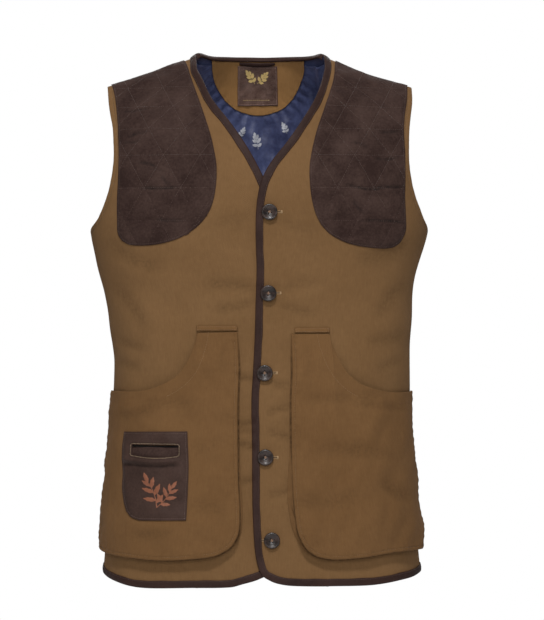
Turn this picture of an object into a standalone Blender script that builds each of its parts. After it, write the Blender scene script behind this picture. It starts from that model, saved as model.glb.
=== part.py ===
"""Men's shooting vest, size L: brushed cotton cloth with leather patches and bindings.

Frame: metres, +Z up. The fronts face -Y and +X is the viewer's right, the wearer's left.
The origin lies midway between the two shoulder seams, where the shoulders carry the vest.

Every cloth piece lies on one shared form, the vest's own shape when it is filled out.
A place on that form is a Spot: the angle round the body and the reach from the shoulder
ridge, positive down the front and negative down the back. A piece is a grid of spots,
given its wall by moving the spots out along the form's normal.
"""

import math
from typing import Callable, NamedTuple, Sequence

import bmesh
import bpy
from mathutils import Quaternion, Vector
from mathutils.bvhtree import BVHTree


# Walls and clearances

CLOTH = 0.0013          # brushed cotton, one layer with its interlining
LEATHER = 0.0009        # binding leather
PATCH = 0.0011          # patch leather at its sewn rim
LINING = 0.0010
FACING = 0.0010
LABEL = 0.0012
CLEAR = 0.0005          # between layers, which leaves 0.3 mm between their facets
SEAM = 0.0002           # half of the space between two panels at a seam
OUT = CLOTH / 2         # the outer face of a panel, from its middle


# The form

class Ring(NamedTuple):
    """One level section of the body of the vest."""

    height: float
    centre: float
    half: float
    front: float
    back: float


RINGS = (
    Ring(-0.700, 0.0020, 0.2090, 0.128, 0.119),
    Ring(-0.650, 0.0013, 0.2078, 0.127, 0.119),
    Ring(-0.566, 0.0000, 0.2010, 0.124, 0.116),
    Ring(-0.500, 0.0000, 0.1975, 0.121, 0.110),
    Ring(-0.434, 0.0000, 0.1945, 0.118, 0.102),
    Ring(-0.395, 0.0014, 0.1946, 0.117, 0.099),
    Ring(-0.355, 0.0004, 0.1956, 0.118, 0.101),
    Ring(-0.302, -0.0030, 0.2018, 0.122, 0.108),
    Ring(-0.250, -0.0038, 0.2122, 0.126, 0.117),
    Ring(-0.210, -0.0026, 0.2222, 0.129, 0.123),
    Ring(-0.150, -0.0020, 0.2232, 0.130, 0.127),
    Ring(0.100, -0.0020, 0.2232, 0.130, 0.127),
)
SQUARENESS = 0.04       # how far a section is from an ellipse towards a rounded box
RIDGE_TOP = 0.0480      # where the two shoulder lines would meet
RIDGE_SLOPE = 0.348
RIDGE_BLEND = 0.020     # rounds the meeting of the two slopes
RIDGE_SAG_LEFT = 0.0016     # of the shoulder lines, between the neck and the arm
RIDGE_SAG_RIGHT = 0.0040
NECK_RISE = 0.055       # the form goes on up inside the neck, so that the necklines lie on it
NECK_HALF = 0.091
NECK_POINT = 0.0855     # from the centre to the neck end of the shoulder seam
SHOULDER_TIP = 0.2005   # and to its arm end
SHOULDER_EASE = 0.020   # radius with which the cloth turns over the shoulder ridge
SHOULDER_ROUND = 0.015
FRONT_FALL = -0.170     # below these heights the front and back hang plumb
BACK_FALL = -0.140
QUARTER = math.pi / 2
SMALL_TURN = 0.002      # with which the form's slopes are measured, in radians
SMALL_STEP = 0.0005     # and in metres


class Spot(NamedTuple):
    """A place on the form."""

    angle: float
    reach: float


def ring_at(height: float) -> Ring:
    """Return the section at a height, on a smooth curve through the rows of RINGS."""
    height = min(max(height, RINGS[0].height), RINGS[-1].height)
    row = 0
    while row < len(RINGS) - 2 and height > RINGS[row + 1].height:
        row += 1
    low, high = RINGS[row], RINGS[row + 1]
    before = RINGS[max(row - 1, 0)]
    after = RINGS[min(row + 2, len(RINGS) - 1)]
    span = high.height - low.height
    t = (height - low.height) / span
    values = [height]
    for column in range(1, len(low)):
        leaving = (high[column] - before[column]) / (high.height - before.height) * span
        arriving = (after[column] - low[column]) / (after.height - low.height) * span
        values.append(
            (2 * t ** 3 - 3 * t ** 2 + 1) * low[column]
            + (t ** 3 - 2 * t ** 2 + t) * leaving
            + (3 * t ** 2 - 2 * t ** 3) * high[column]
            + (t ** 3 - t ** 2) * arriving
        )
    return Ring(*values)


TOP_RING = RINGS[-1]


def ring_across(angle: float) -> float:
    """Return the share of a ring's half width at an angle, 0 at the centre front or back."""
    return (math.sin(angle) + SQUARENESS * math.sin(3 * angle)) / (1 - SQUARENESS)


def ring_deep(angle: float) -> float:
    """Return the share of a ring's depth at an angle."""
    return (math.cos(angle) - SQUARENESS * math.cos(3 * angle)) / (1 - SQUARENESS)


def ridge_height(across: float) -> float:
    """Return the height of the shoulder ridge, at a distance from the centre."""
    neck = max(0.0, 1 - (across / NECK_HALF) ** 2) ** 1.5
    along = min(1.0, max(0.0, (abs(across) - NECK_POINT) / (SHOULDER_TIP - NECK_POINT)))
    sag = (RIDGE_SAG_LEFT if across < 0 else RIDGE_SAG_RIGHT) * math.sin(math.pi * along) ** 2
    return RIDGE_TOP - RIDGE_SLOPE * math.hypot(across, RIDGE_BLEND) + NECK_RISE * neck - sag


def ridge_at(angle: float) -> float:
    """Return the height of the shoulder ridge at an angle."""
    return ridge_height(TOP_RING.half * ring_across(angle))


def form_point(spot: Spot) -> Vector:
    """Return the point of the form at a spot."""
    top = ridge_at(spot.angle)
    height = top - (math.hypot(spot.reach, SHOULDER_EASE) - SHOULDER_EASE)
    ring = ring_at(height)
    in_front = spot.reach >= 0
    depth = (ring.front if in_front else ring.back) * ring_deep(spot.angle)
    plumb = FRONT_FALL if in_front else BACK_FALL
    rise = min(1.0, max(0.0, (height - plumb) / (top - plumb)))
    left = 1 - rise ** 2
    round_off = 2 * SHOULDER_ROUND
    share = math.sqrt(max(0.0, left * (left * depth + round_off) / (depth + round_off)))
    side = -1 if in_front else 1
    return Vector((ring.centre + ring.half * ring_across(spot.angle), side * depth * share, height))


def angle_for(share: float) -> float:
    """Return the angle whose share of the half width is given."""
    low, high = 0.0, QUARTER
    for _ in range(40):
        middle = (low + high) / 2
        if ring_across(middle) < abs(share):
            low = middle
        else:
            high = middle
    return math.copysign(low, share)


def front_spot(across: float, height: float) -> Spot:
    """Return the spot on the front that the front view shows at a place."""
    ring = ring_at(height)
    angle = angle_for((across - ring.centre) / ring.half)
    fall = max(0.0, ridge_at(angle) - height)
    return Spot(angle, math.sqrt((fall + SHOULDER_EASE) ** 2 - SHOULDER_EASE ** 2))


def back_spot(across: float, height: float) -> Spot:
    """Return the spot on the back that the front view would show at a place."""
    spot = front_spot(across, height)
    return Spot(spot.angle, -spot.reach)


def form_ways(spot: Spot) -> tuple[Vector, Vector]:
    """Return how a point of the form moves with a spot's angle and with its reach."""
    angle, reach = spot
    round_way = form_point(Spot(angle + SMALL_TURN, reach)) - form_point(Spot(angle - SMALL_TURN, reach))
    down_way = form_point(Spot(angle, reach + SMALL_STEP)) - form_point(Spot(angle, reach - SMALL_STEP))
    return round_way / (2 * SMALL_TURN), down_way / (2 * SMALL_STEP)


def form_normal(spot: Spot) -> Vector:
    """Return the form's outward normal."""
    round_way, down_way = form_ways(spot)
    return down_way.cross(round_way).normalized()


# The largest folds, broad enough for every layer to follow them

class Fold(NamedTuple):
    """A soft trough (depth below 0) or ridge, from one place in the front view to another."""

    on_front: bool
    x_from: float
    z_from: float
    x_to: float
    z_to: float
    width: float
    depth: float


FOLDS = (
    Fold(True, -0.185, -0.262, -0.095, -0.330, 0.055, -0.0020),
    Fold(True, -0.190, -0.305, -0.115, -0.380, 0.055, 0.0016),
    Fold(True, 0.190, -0.258, 0.100, -0.315, 0.055, -0.0022),
    Fold(True, 0.186, -0.315, 0.120, -0.395, 0.055, 0.0016),
    Fold(False, -0.190, -0.240, -0.060, -0.330, 0.070, -0.0034),
    Fold(False, 0.185, -0.250, 0.050, -0.350, 0.074, -0.0032),
    Fold(False, -0.175, -0.395, -0.030, -0.375, 0.066, -0.0026),
    Fold(False, 0.020, -0.400, 0.170, -0.415, 0.066, -0.0028),
    Fold(False, -0.075, -0.460, -0.088, -0.640, 0.080, 0.0040),
    Fold(False, 0.060, -0.470, 0.082, -0.640, 0.084, 0.0044),
    Fold(False, -0.010, -0.080, -0.020, -0.260, 0.080, 0.0020),
)


def ease(value: float) -> float:
    """Return a smooth step from 0 to 1."""
    value = min(1.0, max(0.0, value))
    return value * value * (3 - 2 * value)


def fold_height(point: Vector, on_front: bool) -> float:
    """Return how far the folds lift the cloth at a point of the form."""
    height = 0.0
    for fold in FOLDS:
        if fold.on_front != on_front:
            continue
        way_x, way_z = fold.x_to - fold.x_from, fold.z_to - fold.z_from
        length = math.hypot(way_x, way_z)
        along = ((point.x - fold.x_from) * way_x + (point.z - fold.z_from) * way_z) / length ** 2
        aside = ((point.x - fold.x_from) * way_z - (point.z - fold.z_from) * way_x) / length
        ends = ease((along + 0.25) / 0.5) * ease((1.25 - along) / 0.5)
        height += fold.depth * ends * math.exp(-(aside / (0.5 * fold.width)) ** 2)
    return height


# How the two fronts pass over each other at the buttons

OVERLAP_LIFT = 0.0024
OVERLAP_REACH = 0.034   # the lift is full this far from the centre front
OVERLAP_FADE = 0.060

Lift = Callable[[Vector], float]


def lift_over(point: Vector) -> float:
    """Return the lift of the front that lies on top, on the viewer's right."""
    return OVERLAP_LIFT * (1 - ease((point.x - OVERLAP_REACH) / OVERLAP_FADE))


def lift_under(point: Vector) -> float:
    """Return the sinking of the front that lies beneath, on the viewer's left."""
    return -OVERLAP_LIFT * (1 - ease((-0.004 - point.x) / OVERLAP_FADE))


def lift_none(point: Vector) -> float:
    """Return no lift, for the back."""
    return 0.0


def cloth_point(spot: Spot, lift: Lift, out: float) -> Vector:
    """Return the point at a distance out from the middle of a panel's wall."""
    point = form_point(spot)
    raised = out + lift(point) + fold_height(point, spot.reach >= 0)
    return point + form_normal(spot) * raised


# Outlines, as the front view gives them

class Knot(NamedTuple):
    """A point that an outline passes through, in the front view."""

    across: float
    height: float


SIDE_HEM = -0.6560      # where the hem crosses the side seams
UNDERARM = -0.2130

# The top front, from the shoulder down its neckline and edge to the rounded corner.
OVER_EDGE = (
    Knot(0.0852, 0.0010),
    Knot(0.0772, -0.0285),
    Knot(0.0650, -0.0550),
    Knot(0.0365, -0.0995),
    Knot(0.0136, -0.1290),
    Knot(0.0022, -0.1520),
    Knot(-0.0033, -0.1800),
    Knot(-0.0046, -0.2130),
    Knot(-0.0034, -0.2600),
    Knot(-0.0046, -0.3030),
    Knot(-0.0082, -0.3980),
    Knot(-0.0092, -0.4880),
    Knot(-0.0082, -0.5790),
    Knot(-0.0052, -0.6250),
    Knot(-0.0002, -0.6470),
)
OVER_HEM = (
    Knot(0.0054, -0.6560),
    Knot(0.0200, -0.6630),
    Knot(0.0420, -0.6665),
    Knot(0.1016, -0.6675),
    Knot(0.1450, -0.6672),
    Knot(0.1830, -0.6628),
)

# The front beneath, whose edge is hidden below the V.
UNDER_EDGE = (
    Knot(-0.0848, 0.0000),
    Knot(-0.0780, -0.0145),
    Knot(-0.0648, -0.0428),
    Knot(-0.0396, -0.0764),
    Knot(-0.0162, -0.1110),
    Knot(0.0012, -0.1440),
    Knot(0.0160, -0.1790),
    Knot(0.0240, -0.2130),
    Knot(0.0262, -0.3030),
    Knot(0.0255, -0.3980),
    Knot(0.0245, -0.4880),
    Knot(0.0250, -0.5790),
    Knot(0.0235, -0.6200),
    Knot(0.0180, -0.6420),
)
UNDER_HEM = (
    Knot(0.0090, -0.6530),
    Knot(-0.0070, -0.6600),
    Knot(-0.0230, -0.6645),
    Knot(-0.0390, -0.6685),
    Knot(-0.0880, -0.6697),
    Knot(-0.1540, -0.6712),
    Knot(-0.1925, -0.6645),
)


class ArmKnot(NamedTuple):
    """A height on both armholes: half the width between them, and the middle between them."""

    half: float
    middle: float
    height: float


# From the shoulder tips down to the side seams.
FRONT_ARMHOLE = (
    ArmKnot(0.1988, -0.0006, -0.0440),
    ArmKnot(0.1930, 0.0002, -0.0810),
    ArmKnot(0.1908, 0.0002, -0.1150),
    ArmKnot(0.1939, 0.0010, -0.1470),
    ArmKnot(0.2015, 0.0011, -0.1730),
    ArmKnot(0.2132, -0.0002, -0.1980),
)
BACK_ARMHOLE = (
    ArmKnot(0.1972, -0.0006, -0.0500),
    ArmKnot(0.1935, 0.0002, -0.0900),
    ArmKnot(0.1925, 0.0004, -0.1250),
    ArmKnot(0.1955, 0.0010, -0.1560),
    ArmKnot(0.2030, 0.0010, -0.1800),
    ArmKnot(0.2137, -0.0002, -0.2010),
)

BACK_NECK = (
    Knot(-0.0700, 0.0212),
    Knot(-0.0450, 0.0217),
    Knot(0.0000, 0.0222),
    Knot(0.0450, 0.0217),
    Knot(0.0700, 0.0212),
)
BACK_HEM_DROP = 0.0150  # how far the back hem hangs below the side seams
BACK_HEM_FULL = 0.8     # below 1 the hem's curve is fuller than a sine's


# Curves through spots

Spots = list[Spot]
METRES_PER_TURN = 0.17  # about the radius of the form, to weigh an angle against a reach
FINE_CELLS = 200        # of a curve that spots are picked from


def span(first: Spot, second: Spot) -> float:
    """Return about how far apart two spots lie on the cloth."""
    return math.hypot((second.angle - first.angle) * METRES_PER_TURN, second.reach - first.reach)


def smooth_through(spots: Sequence[Spot], cells: int) -> Spots:
    """Return cells + 1 spots, evenly spaced on a smooth curve through the given ones.

    Between two spots of one height the curve stays level.
    """
    side = math.copysign(1.0, spots[len(spots) // 2].reach)
    levels = [Spot(spot.angle, side * spot.reach - ridge_at(spot.angle)) for spot in spots]
    fine = [Spot(level.angle, side * (level.reach + ridge_at(level.angle))) for level in smoothed(levels)]
    return evenly(fine, cells)


def smoothed(spots: Sequence[Spot], steps: int = 12) -> Spots:
    """Return a smooth curve through the given spots, with a number of steps between each two."""
    fine: Spots = []
    for row in range(len(spots) - 1):
        near, far = spots[row], spots[row + 1]
        before = spots[row - 1] if row else near
        after = spots[row + 2] if row + 2 < len(spots) else far
        inner = span(near, far)
        into = inner / (inner + span(before, near)) if row else 0.5
        away = inner / (inner + span(far, after)) if row + 2 < len(spots) else 0.5
        for step in range(steps):
            t = step / steps
            blended = []
            for axis in range(2):
                leaving = (far[axis] - before[axis]) * (into if row else 1.0)
                arriving = (after[axis] - near[axis]) * (away if row + 2 < len(spots) else 1.0)
                blended.append(
                    (2 * t ** 3 - 3 * t ** 2 + 1) * near[axis]
                    + (t ** 3 - 2 * t ** 2 + t) * leaving
                    + (3 * t ** 2 - 2 * t ** 3) * far[axis]
                    + (t ** 3 - t ** 2) * arriving
                )
            fine.append(Spot(*blended))
    fine.append(spots[-1])
    return fine


def evenly(spots: Sequence[Spot], cells: int) -> Spots:
    """Return cells + 1 spots, evenly spaced along the straight runs between the given ones."""
    lengths = [0.0]
    for first, second in zip(spots, spots[1:]):
        lengths.append(lengths[-1] + span(first, second))
    result: Spots = []
    row = 0
    for cell in range(cells + 1):
        goal = lengths[-1] * cell / cells
        while row < len(spots) - 2 and lengths[row + 1] < goal:
            row += 1
        run = lengths[row + 1] - lengths[row]
        t = (goal - lengths[row]) / run if run else 0.0
        near, far = spots[row], spots[row + 1]
        angle = near.angle + t * (far.angle - near.angle)
        result.append(Spot(angle, near.reach + t * (far.reach - near.reach)))
    return result


def resample(spots: Spots, shares: Sequence[float]) -> Spots:
    """Return the spots at the given shares of a curve's length."""
    fine = evenly(spots, FINE_CELLS)
    return [fine[round(FINE_CELLS * share)] for share in shares]


def patch_grid(lower: Spots, upper: Spots, left: Spots, right: Spots) -> list[Spots]:
    """Fill the space between four edges with rows of spots, from the lower edge up.

    Args:
        lower, upper: The edges from left to right, with the same number of spots.
        left, right: The edges from bottom to top, with the same number of spots.
    """
    rows = []
    last_u, last_v = len(lower) - 1, len(left) - 1
    for j in range(last_v + 1):
        v = j / last_v
        row = []
        for i in range(last_u + 1):
            u = i / last_u
            place = []
            for axis in range(2):
                ruled = (1 - u) * left[j][axis] + u * right[j][axis]
                ruled += (1 - v) * lower[i][axis] + v * upper[i][axis]
                corners = (1 - u) * (1 - v) * lower[0][axis] + u * (1 - v) * lower[-1][axis]
                corners += (1 - u) * v * upper[0][axis] + u * v * upper[-1][axis]
                place.append(ruled - corners)
            row.append(Spot(*place))
        rows.append(row)
    return rows


# Solids

Points = list[list[Vector]]


class Look(NamedTuple):
    """A plain colour and how rough it is."""

    colour: tuple[float, float, float]
    roughness: float


TAN = Look((0.185, 0.102, 0.045), 0.9)
POCKET_TAN = Look((0.168, 0.092, 0.040), 0.9)
DARK_LEATHER = Look((0.042, 0.024, 0.019), 0.8)
BINDING_LEATHER = Look((0.034, 0.017, 0.015), 0.6)
POCKET_LEATHER = Look((0.062, 0.032, 0.023), 0.7)
NAVY = Look((0.042, 0.048, 0.085), 0.45)
HORN = Look((0.020, 0.016, 0.014), 0.25)
SHARP = math.radians(50)    # faces that meet at more are shaded apart


def finish(name: str, mesh_maker: bmesh.types.BMesh, look: Look) -> bpy.types.Object:
    """Turn a bmesh into a named, coloured object of the scene."""
    bmesh.ops.recalc_face_normals(mesh_maker, faces=mesh_maker.faces)
    mesh = bpy.data.meshes.new(name)
    mesh_maker.to_mesh(mesh)
    mesh_maker.free()
    mesh.shade_smooth()
    mesh.set_sharp_from_angle(angle=SHARP)
    material = bpy.data.materials.new(name)
    material.use_nodes = True
    shader = material.node_tree.nodes["Principled BSDF"]
    shader.inputs["Base Color"].default_value = (*look.colour, 1.0)
    shader.inputs["Roughness"].default_value = look.roughness
    shader.inputs["Metallic"].default_value = 0.0
    mesh.materials.append(material)
    piece = bpy.data.objects.new(name, mesh)
    bpy.context.scene.collection.objects.link(piece)
    return piece


IsOpen = Callable[[int, int], bool]


def closed_wall(outer: Points, inner: Points, is_open: IsOpen | None = None) -> bmesh.types.BMesh:
    """Close two grids of points into one solid wall.

    Args:
        outer, inner: Rows of points, of the same size, on the two faces of the wall.
        is_open: Says which cells, by row and column, are cut through.
    """
    maker = bmesh.new()
    faces = [[[maker.verts.new(point) for point in row] for row in grid] for grid in (outer, inner)]
    rows, columns = len(outer) - 1, len(outer[0]) - 1

    def solid(j: int, i: int) -> bool:
        inside = 0 <= j < rows and 0 <= i < columns
        return inside and not (is_open and is_open(j, i))

    for j in range(rows):
        for i in range(columns):
            if not solid(j, i):
                continue
            for side, grid in enumerate(faces):
                corners = [grid[j][i], grid[j][i + 1], grid[j + 1][i + 1], grid[j + 1][i]]
                maker.faces.new(corners if side else corners[::-1])
            sides = (
                (j - 1, i, (j, i), (j, i + 1)),
                (j + 1, i, (j + 1, i + 1), (j + 1, i)),
                (j, i - 1, (j + 1, i), (j, i)),
                (j, i + 1, (j, i + 1), (j + 1, i + 1)),
            )
            for beside_j, beside_i, first, second in sides:
                if not solid(beside_j, beside_i):
                    ends = [faces[0][first[0]][first[1]], faces[0][second[0]][second[1]]]
                    ends += [faces[1][second[0]][second[1]], faces[1][first[0]][first[1]]]
                    maker.faces.new(ends)
    unused = [vertex for vertex in maker.verts if not vertex.link_faces]
    bmesh.ops.delete(maker, geom=unused, context="VERTS")
    return maker


Place = Callable[[Spot, float], Vector]


def layer(grid: list[Spots], place: Place, out: float | Callable[[int, int], float]) -> Points:
    """Return the points of a grid of spots, moved out by a distance or by a rule of row and column."""
    rule = out if callable(out) else (lambda j, i: out)
    return [[place(spot, rule(j, i)) for i, spot in enumerate(row)] for j, row in enumerate(grid)]


Height = Callable[[Spot], float]


class Ground:
    """A solid wall on the form, with places on its two faces for the pieces that lie on it."""

    SEARCH = 0.030

    def __init__(self, maker: bmesh.types.BMesh, lift: Lift, outer: Height, inner: Height) -> None:
        """Keep the wall's faces as they are triangulated.

        Args:
            outer, inner: How far the smooth faces lie out from the form.
        """
        bmesh.ops.triangulate(maker, faces=maker.faces)
        self.tree = BVHTree.FromBMesh(maker)
        self.lift = lift
        self.outer = outer
        self.inner = inner

    def middle(self, spot: Spot, out: float) -> Vector:
        """Return a place measured from the form, with the lift and folds of the panel."""
        return cloth_point(spot, self.lift, out)

    def over(self, spot: Spot, out: float) -> Vector:
        """Return a place outside both the wall's outer facets and the smooth face they follow."""
        return self._clear_of(spot, self.outer(spot) + out, out, 1)

    def under(self, spot: Spot, out: float) -> Vector:
        """Return a place inside both the wall's inner facets and the smooth face they follow."""
        return self._clear_of(spot, self.inner(spot) + out, out, -1)

    def _clear_of(self, spot: Spot, smooth_out: float, out: float, side: int) -> Vector:
        normal = form_normal(spot)
        smooth = cloth_point(spot, self.lift, smooth_out)
        hit = self.tree.ray_cast(smooth + side * self.SEARCH * normal, -side * normal, 2 * self.SEARCH)[0]
        if hit is None or side * (hit + normal * out - smooth).dot(normal) < 0:
            return smooth
        return hit + normal * out


# Fronts and back

OVER_COLUMNS = 12
UNDER_COLUMNS = 13
BACK_SHOULDER_CELLS = 4
BACK_NECK_CELLS = 10
BACK_COLUMNS = 2 * BACK_SHOULDER_CELLS + BACK_NECK_CELLS
SIDE_ROWS = 14          # of a front's or back's rows, those beside the side seam
ARMHOLE_ROWS = 16       # and those beside the armhole
SIDE_ANGLE = QUARTER - 0.0016


class Panel(NamedTuple):
    """A panel's grid, the edges that other pieces share with it, and its solid wall."""

    grid: list[Spots]
    edge: Spots
    hem: Spots
    ground: Ground


def side_edge(armhole: Sequence[ArmKnot], side: int, place: Callable[[float, float], Spot]) -> Spots:
    """Return a panel's edge from the hem up the side seam and the armhole to the shoulder."""
    back = -1 if place is back_spot else 1
    hem = place(side, SIDE_HEM)
    hem = Spot(side * SIDE_ANGLE, hem.reach)
    arm = Spot(side * SIDE_ANGLE, place(side, UNDERARM).reach)
    seam = evenly([hem, arm], SIDE_ROWS)
    tip = Spot(side * angle_for(SHOULDER_TIP / TOP_RING.half), back * SEAM)
    curve = [place(knot.middle + side * knot.half, knot.height) for knot in reversed(armhole)]
    return seam[:-1] + smooth_through([arm] + curve + [tip], ARMHOLE_ROWS)


def wall_panel(name: str, grid: list[Spots], edge: Spots, hem: Spots, lift: Lift) -> Panel:
    """Make a panel's wall and return it with its edges."""
    place = lambda spot, out: cloth_point(spot, lift, out)
    maker = closed_wall(layer(grid, place, OUT), layer(grid, place, -OUT))
    ground = Ground(maker, lift, lambda spot: OUT, lambda spot: -OUT)
    finish(name, maker, TAN)
    return Panel(grid, edge, hem, ground)


def front_panel(name: str, edge: Sequence[Knot], hem: Sequence[Knot], side: int, lift: Lift) -> Panel:
    """Make a front, whose grid runs from its front edge to its side seam."""
    neck = Spot(side * angle_for(NECK_POINT / TOP_RING.half), SEAM)
    down = smooth_through([neck] + [front_spot(*knot) for knot in edge + hem[:1]], FINE_CELLS * 2)
    level = min(down, key=lambda spot: abs(form_point(spot).z - UNDERARM))
    cut = down.index(level)
    inner = (evenly(down[:cut + 1], ARMHOLE_ROWS)[:-1] + evenly(down[cut:], SIDE_ROWS))[::-1]
    outer = side_edge(FRONT_ARMHOLE, side, front_spot)
    columns = OVER_COLUMNS if side > 0 else UNDER_COLUMNS
    lower = smooth_through([front_spot(*knot) for knot in hem] + [outer[0]], columns)
    upper = evenly([inner[-1], outer[-1]], columns)
    return wall_panel(name, patch_grid(lower, upper, inner, outer), inner, lower, lift)


def back_panel() -> Panel:
    """Make the back, whose grid runs from the viewer's left to the right."""
    left = side_edge(BACK_ARMHOLE, -1, back_spot)
    right = side_edge(BACK_ARMHOLE, 1, back_spot)
    neck_left = Spot(-angle_for(NECK_POINT / TOP_RING.half), -SEAM)
    neck_right = Spot(-neck_left.angle, -SEAM)
    knots = [back_spot(*knot) for knot in BACK_NECK]
    neck = smooth_through([neck_left] + knots + [neck_right], BACK_NECK_CELLS)
    upper = evenly([left[-1], neck_left], BACK_SHOULDER_CELLS)[:-1] + neck
    upper += evenly([neck_right, right[-1]], BACK_SHOULDER_CELLS)[1:]
    lower = []
    for column in range(BACK_COLUMNS + 1):
        t = column / BACK_COLUMNS
        angle = left[0].angle + t * (right[0].angle - left[0].angle)
        drop = BACK_HEM_DROP * math.sin(math.pi * t) ** BACK_HEM_FULL
        lower.append(Spot(angle, left[0].reach - drop - ridge_at(angle) + ridge_at(left[0].angle)))
    return wall_panel("back", patch_grid(lower, upper, left, right), neck, lower, lift_none)


# Bindings

BINDING_WIDTH = 0.0085
NECK_BINDING_INSIDE = 0.0050    # its width on the inside of the back neck
BINDING_GAP = 0.0007


class Corner(NamedTuple):
    """A corner of the binding's section: how far in from the edge, and out from the cloth."""

    inward: float
    out: float


def binding_section(inside: float) -> list[Corner]:
    """Return the folded strip's section, closed round the cloth's edge.

    Its height is measured from the nearer face of the cloth, above 0 outside and below 0 inside.

    Args:
        inside: The strip's width on the cloth's inner face.
    """
    outer = BINDING_GAP + LEATHER
    shoulder = -0.2 * outer
    return [
        Corner(BINDING_WIDTH, BINDING_GAP), Corner(BINDING_WIDTH, outer),
        Corner(shoulder, outer), Corner(-outer, 0.0), Corner(shoulder, -outer),
        Corner(inside, -outer), Corner(inside, -BINDING_GAP),
        Corner(-BINDING_GAP, -BINDING_GAP), Corner(-BINDING_GAP, BINDING_GAP),
        Corner(BINDING_WIDTH / 2, BINDING_GAP),
    ]


SECTION_CAP = ((0, 1, 2, 9), (9, 2, 8), (8, 2, 3), (8, 3, 7), (7, 3, 4), (7, 4, 5, 6))


def spot_moved(spot: Spot, way: Vector) -> Spot:
    """Return the spot that lies a short way off on the form."""
    round_way, down_way = form_ways(spot)
    a, b, c = round_way.dot(round_way), round_way.dot(down_way), down_way.dot(down_way)
    p, q = way.dot(round_way), way.dot(down_way)
    flat = a * c - b * b
    return Spot(spot.angle + (c * p - b * q) / flat, spot.reach + (a * q - b * p) / flat)


def binding_solid(name: str, path: Spots, ground: Ground, side: int, ends: str,
                  inside: float = BINDING_WIDTH) -> Ground:
    """Fold a leather strip over a cloth edge.

    Args:
        path: The edge's spots, in order.
        ground: The panel whose edge is bound.
        side: 1 where the cloth lies to the left of the path seen from outside, or -1.
        ends: For the first and the last end, "s" at a side seam or "r" at the shoulder ridge.
        inside: The strip's width on the cloth's inner face.
    """
    section = binding_section(inside)
    rings = []
    for index, spot in enumerate(path):
        round_way, down_way = form_ways(spot)
        along = form_point(path[min(index + 1, len(path) - 1)]) - form_point(path[max(index - 1, 0)])
        into = form_normal(spot).cross(along).normalized() * side
        if index in (0, len(path) - 1):
            seam_way = down_way if ends[0 if index == 0 else 1] == "s" else round_way
            seam_way.normalize()
            into = math.copysign(1.0, into.dot(seam_way)) * seam_way
        ring = []
        for corner in section:
            if corner.inward < -BINDING_GAP / 2:
                edge = spot_moved(spot, into * corner.inward)
                face = math.copysign(OUT, corner.out) if corner.out else 0.0
                ring.append(ground.middle(edge, face + corner.out))
            else:
                place = spot_moved(spot, into * corner.inward)
                lay = ground.over if corner.out > 0 else ground.under
                ring.append(lay(place, corner.out))
        rings.append(ring)
    maker = bmesh.new()
    loops = [[maker.verts.new(point) for point in ring] for ring in rings]
    count = len(section)
    for near, far in zip(loops, loops[1:]):
        for k in range(count):
            maker.faces.new([near[k], near[(k + 1) % count], far[(k + 1) % count], far[k]])
    for loop in (loops[0], loops[-1]):
        for corners in SECTION_CAP:
            maker.faces.new([loop[k] for k in corners])
    bmesh.ops.recalc_face_normals(maker, faces=maker.faces)
    bound = Ground(maker, ground.lift, lambda spot: OUT + BINDING_GAP + LEATHER, lambda spot: -OUT)
    finish(name, maker, BINDING_LEATHER)
    return bound


# Quilted shoulder patches

QUILT_ROW = 0.042
QUILT_SIDE = 0.048
QUILT_FIRST_ROW = 0.001     # down the cloth from the shoulder ridge
QUILT_COLUMN = 0.139        # a crossing of the lines, from the centre
QUILT_PUFF = 0.0022
PATCH_COLUMNS = 15
PATCH_ROWS = 29
PATCH_TURN = 0.22           # the share of the columns and rows in which the rim sinks to the cloth

VIEWER_LEFT_PATCH_NECK = (
    Knot(-0.0894, -0.0156), Knot(-0.0762, -0.0532), Knot(-0.0644, -0.0892), Knot(-0.0569, -0.1242),
    Knot(-0.0560, -0.1415), Knot(-0.0573, -0.1587), Knot(-0.0606, -0.1758), Knot(-0.0666, -0.1913),
)
VIEWER_LEFT_PATCH_BOTTOM = (
    Knot(-0.0752, -0.2031), Knot(-0.0856, -0.2125), Knot(-0.1028, -0.2227), Knot(-0.1201, -0.2286),
    Knot(-0.1374, -0.2319), Knot(-0.1552, -0.2327), Knot(-0.1690, -0.2311), Knot(-0.1779, -0.2264),
)
VIEWER_LEFT_PATCH_ARM = (
    Knot(-0.1833, -0.2174), Knot(-0.1843, -0.2000), Knot(-0.1840, -0.1736), Knot(-0.1827, -0.1400),
    Knot(-0.1833, -0.1045), Knot(-0.1863, -0.0681), Knot(-0.1900, -0.0420),
)
VIEWER_RIGHT_PATCH_NECK = (
    Knot(0.0942, -0.0155), Knot(0.0821, -0.0530), Knot(0.0705, -0.0891), Knot(0.0630, -0.1242),
    Knot(0.0621, -0.1415), Knot(0.0631, -0.1587), Knot(0.0656, -0.1758), Knot(0.0703, -0.1929),
)
VIEWER_RIGHT_PATCH_BOTTOM = (
    Knot(0.0772, -0.2066), Knot(0.0892, -0.2185), Knot(0.1063, -0.2279), Knot(0.1236, -0.2329),
    Knot(0.1410, -0.2354), Knot(0.1585, -0.2366), Knot(0.1726, -0.2342), Knot(0.1800, -0.2285),
)
VIEWER_RIGHT_PATCH_ARM = (
    Knot(0.1849, -0.2160), Knot(0.1860, -0.1917), Knot(0.1858, -0.1571), Knot(0.1852, -0.1222),
    Knot(0.1845, -0.0957), Knot(0.1864, -0.0686), Knot(0.1905, -0.0420),
)
PATCH_TOP_NECK = 0.1000
PATCH_TOP_ARM = 0.1950


def cloth_drop(spot: Spot) -> float:
    """Return how far down the cloth a spot lies from the shoulder ridge."""
    steps = 16
    points = [form_point(Spot(spot.angle, spot.reach * step / steps)) for step in range(steps + 1)]
    return sum((far - near).length for near, far in zip(points, points[1:]))


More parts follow.
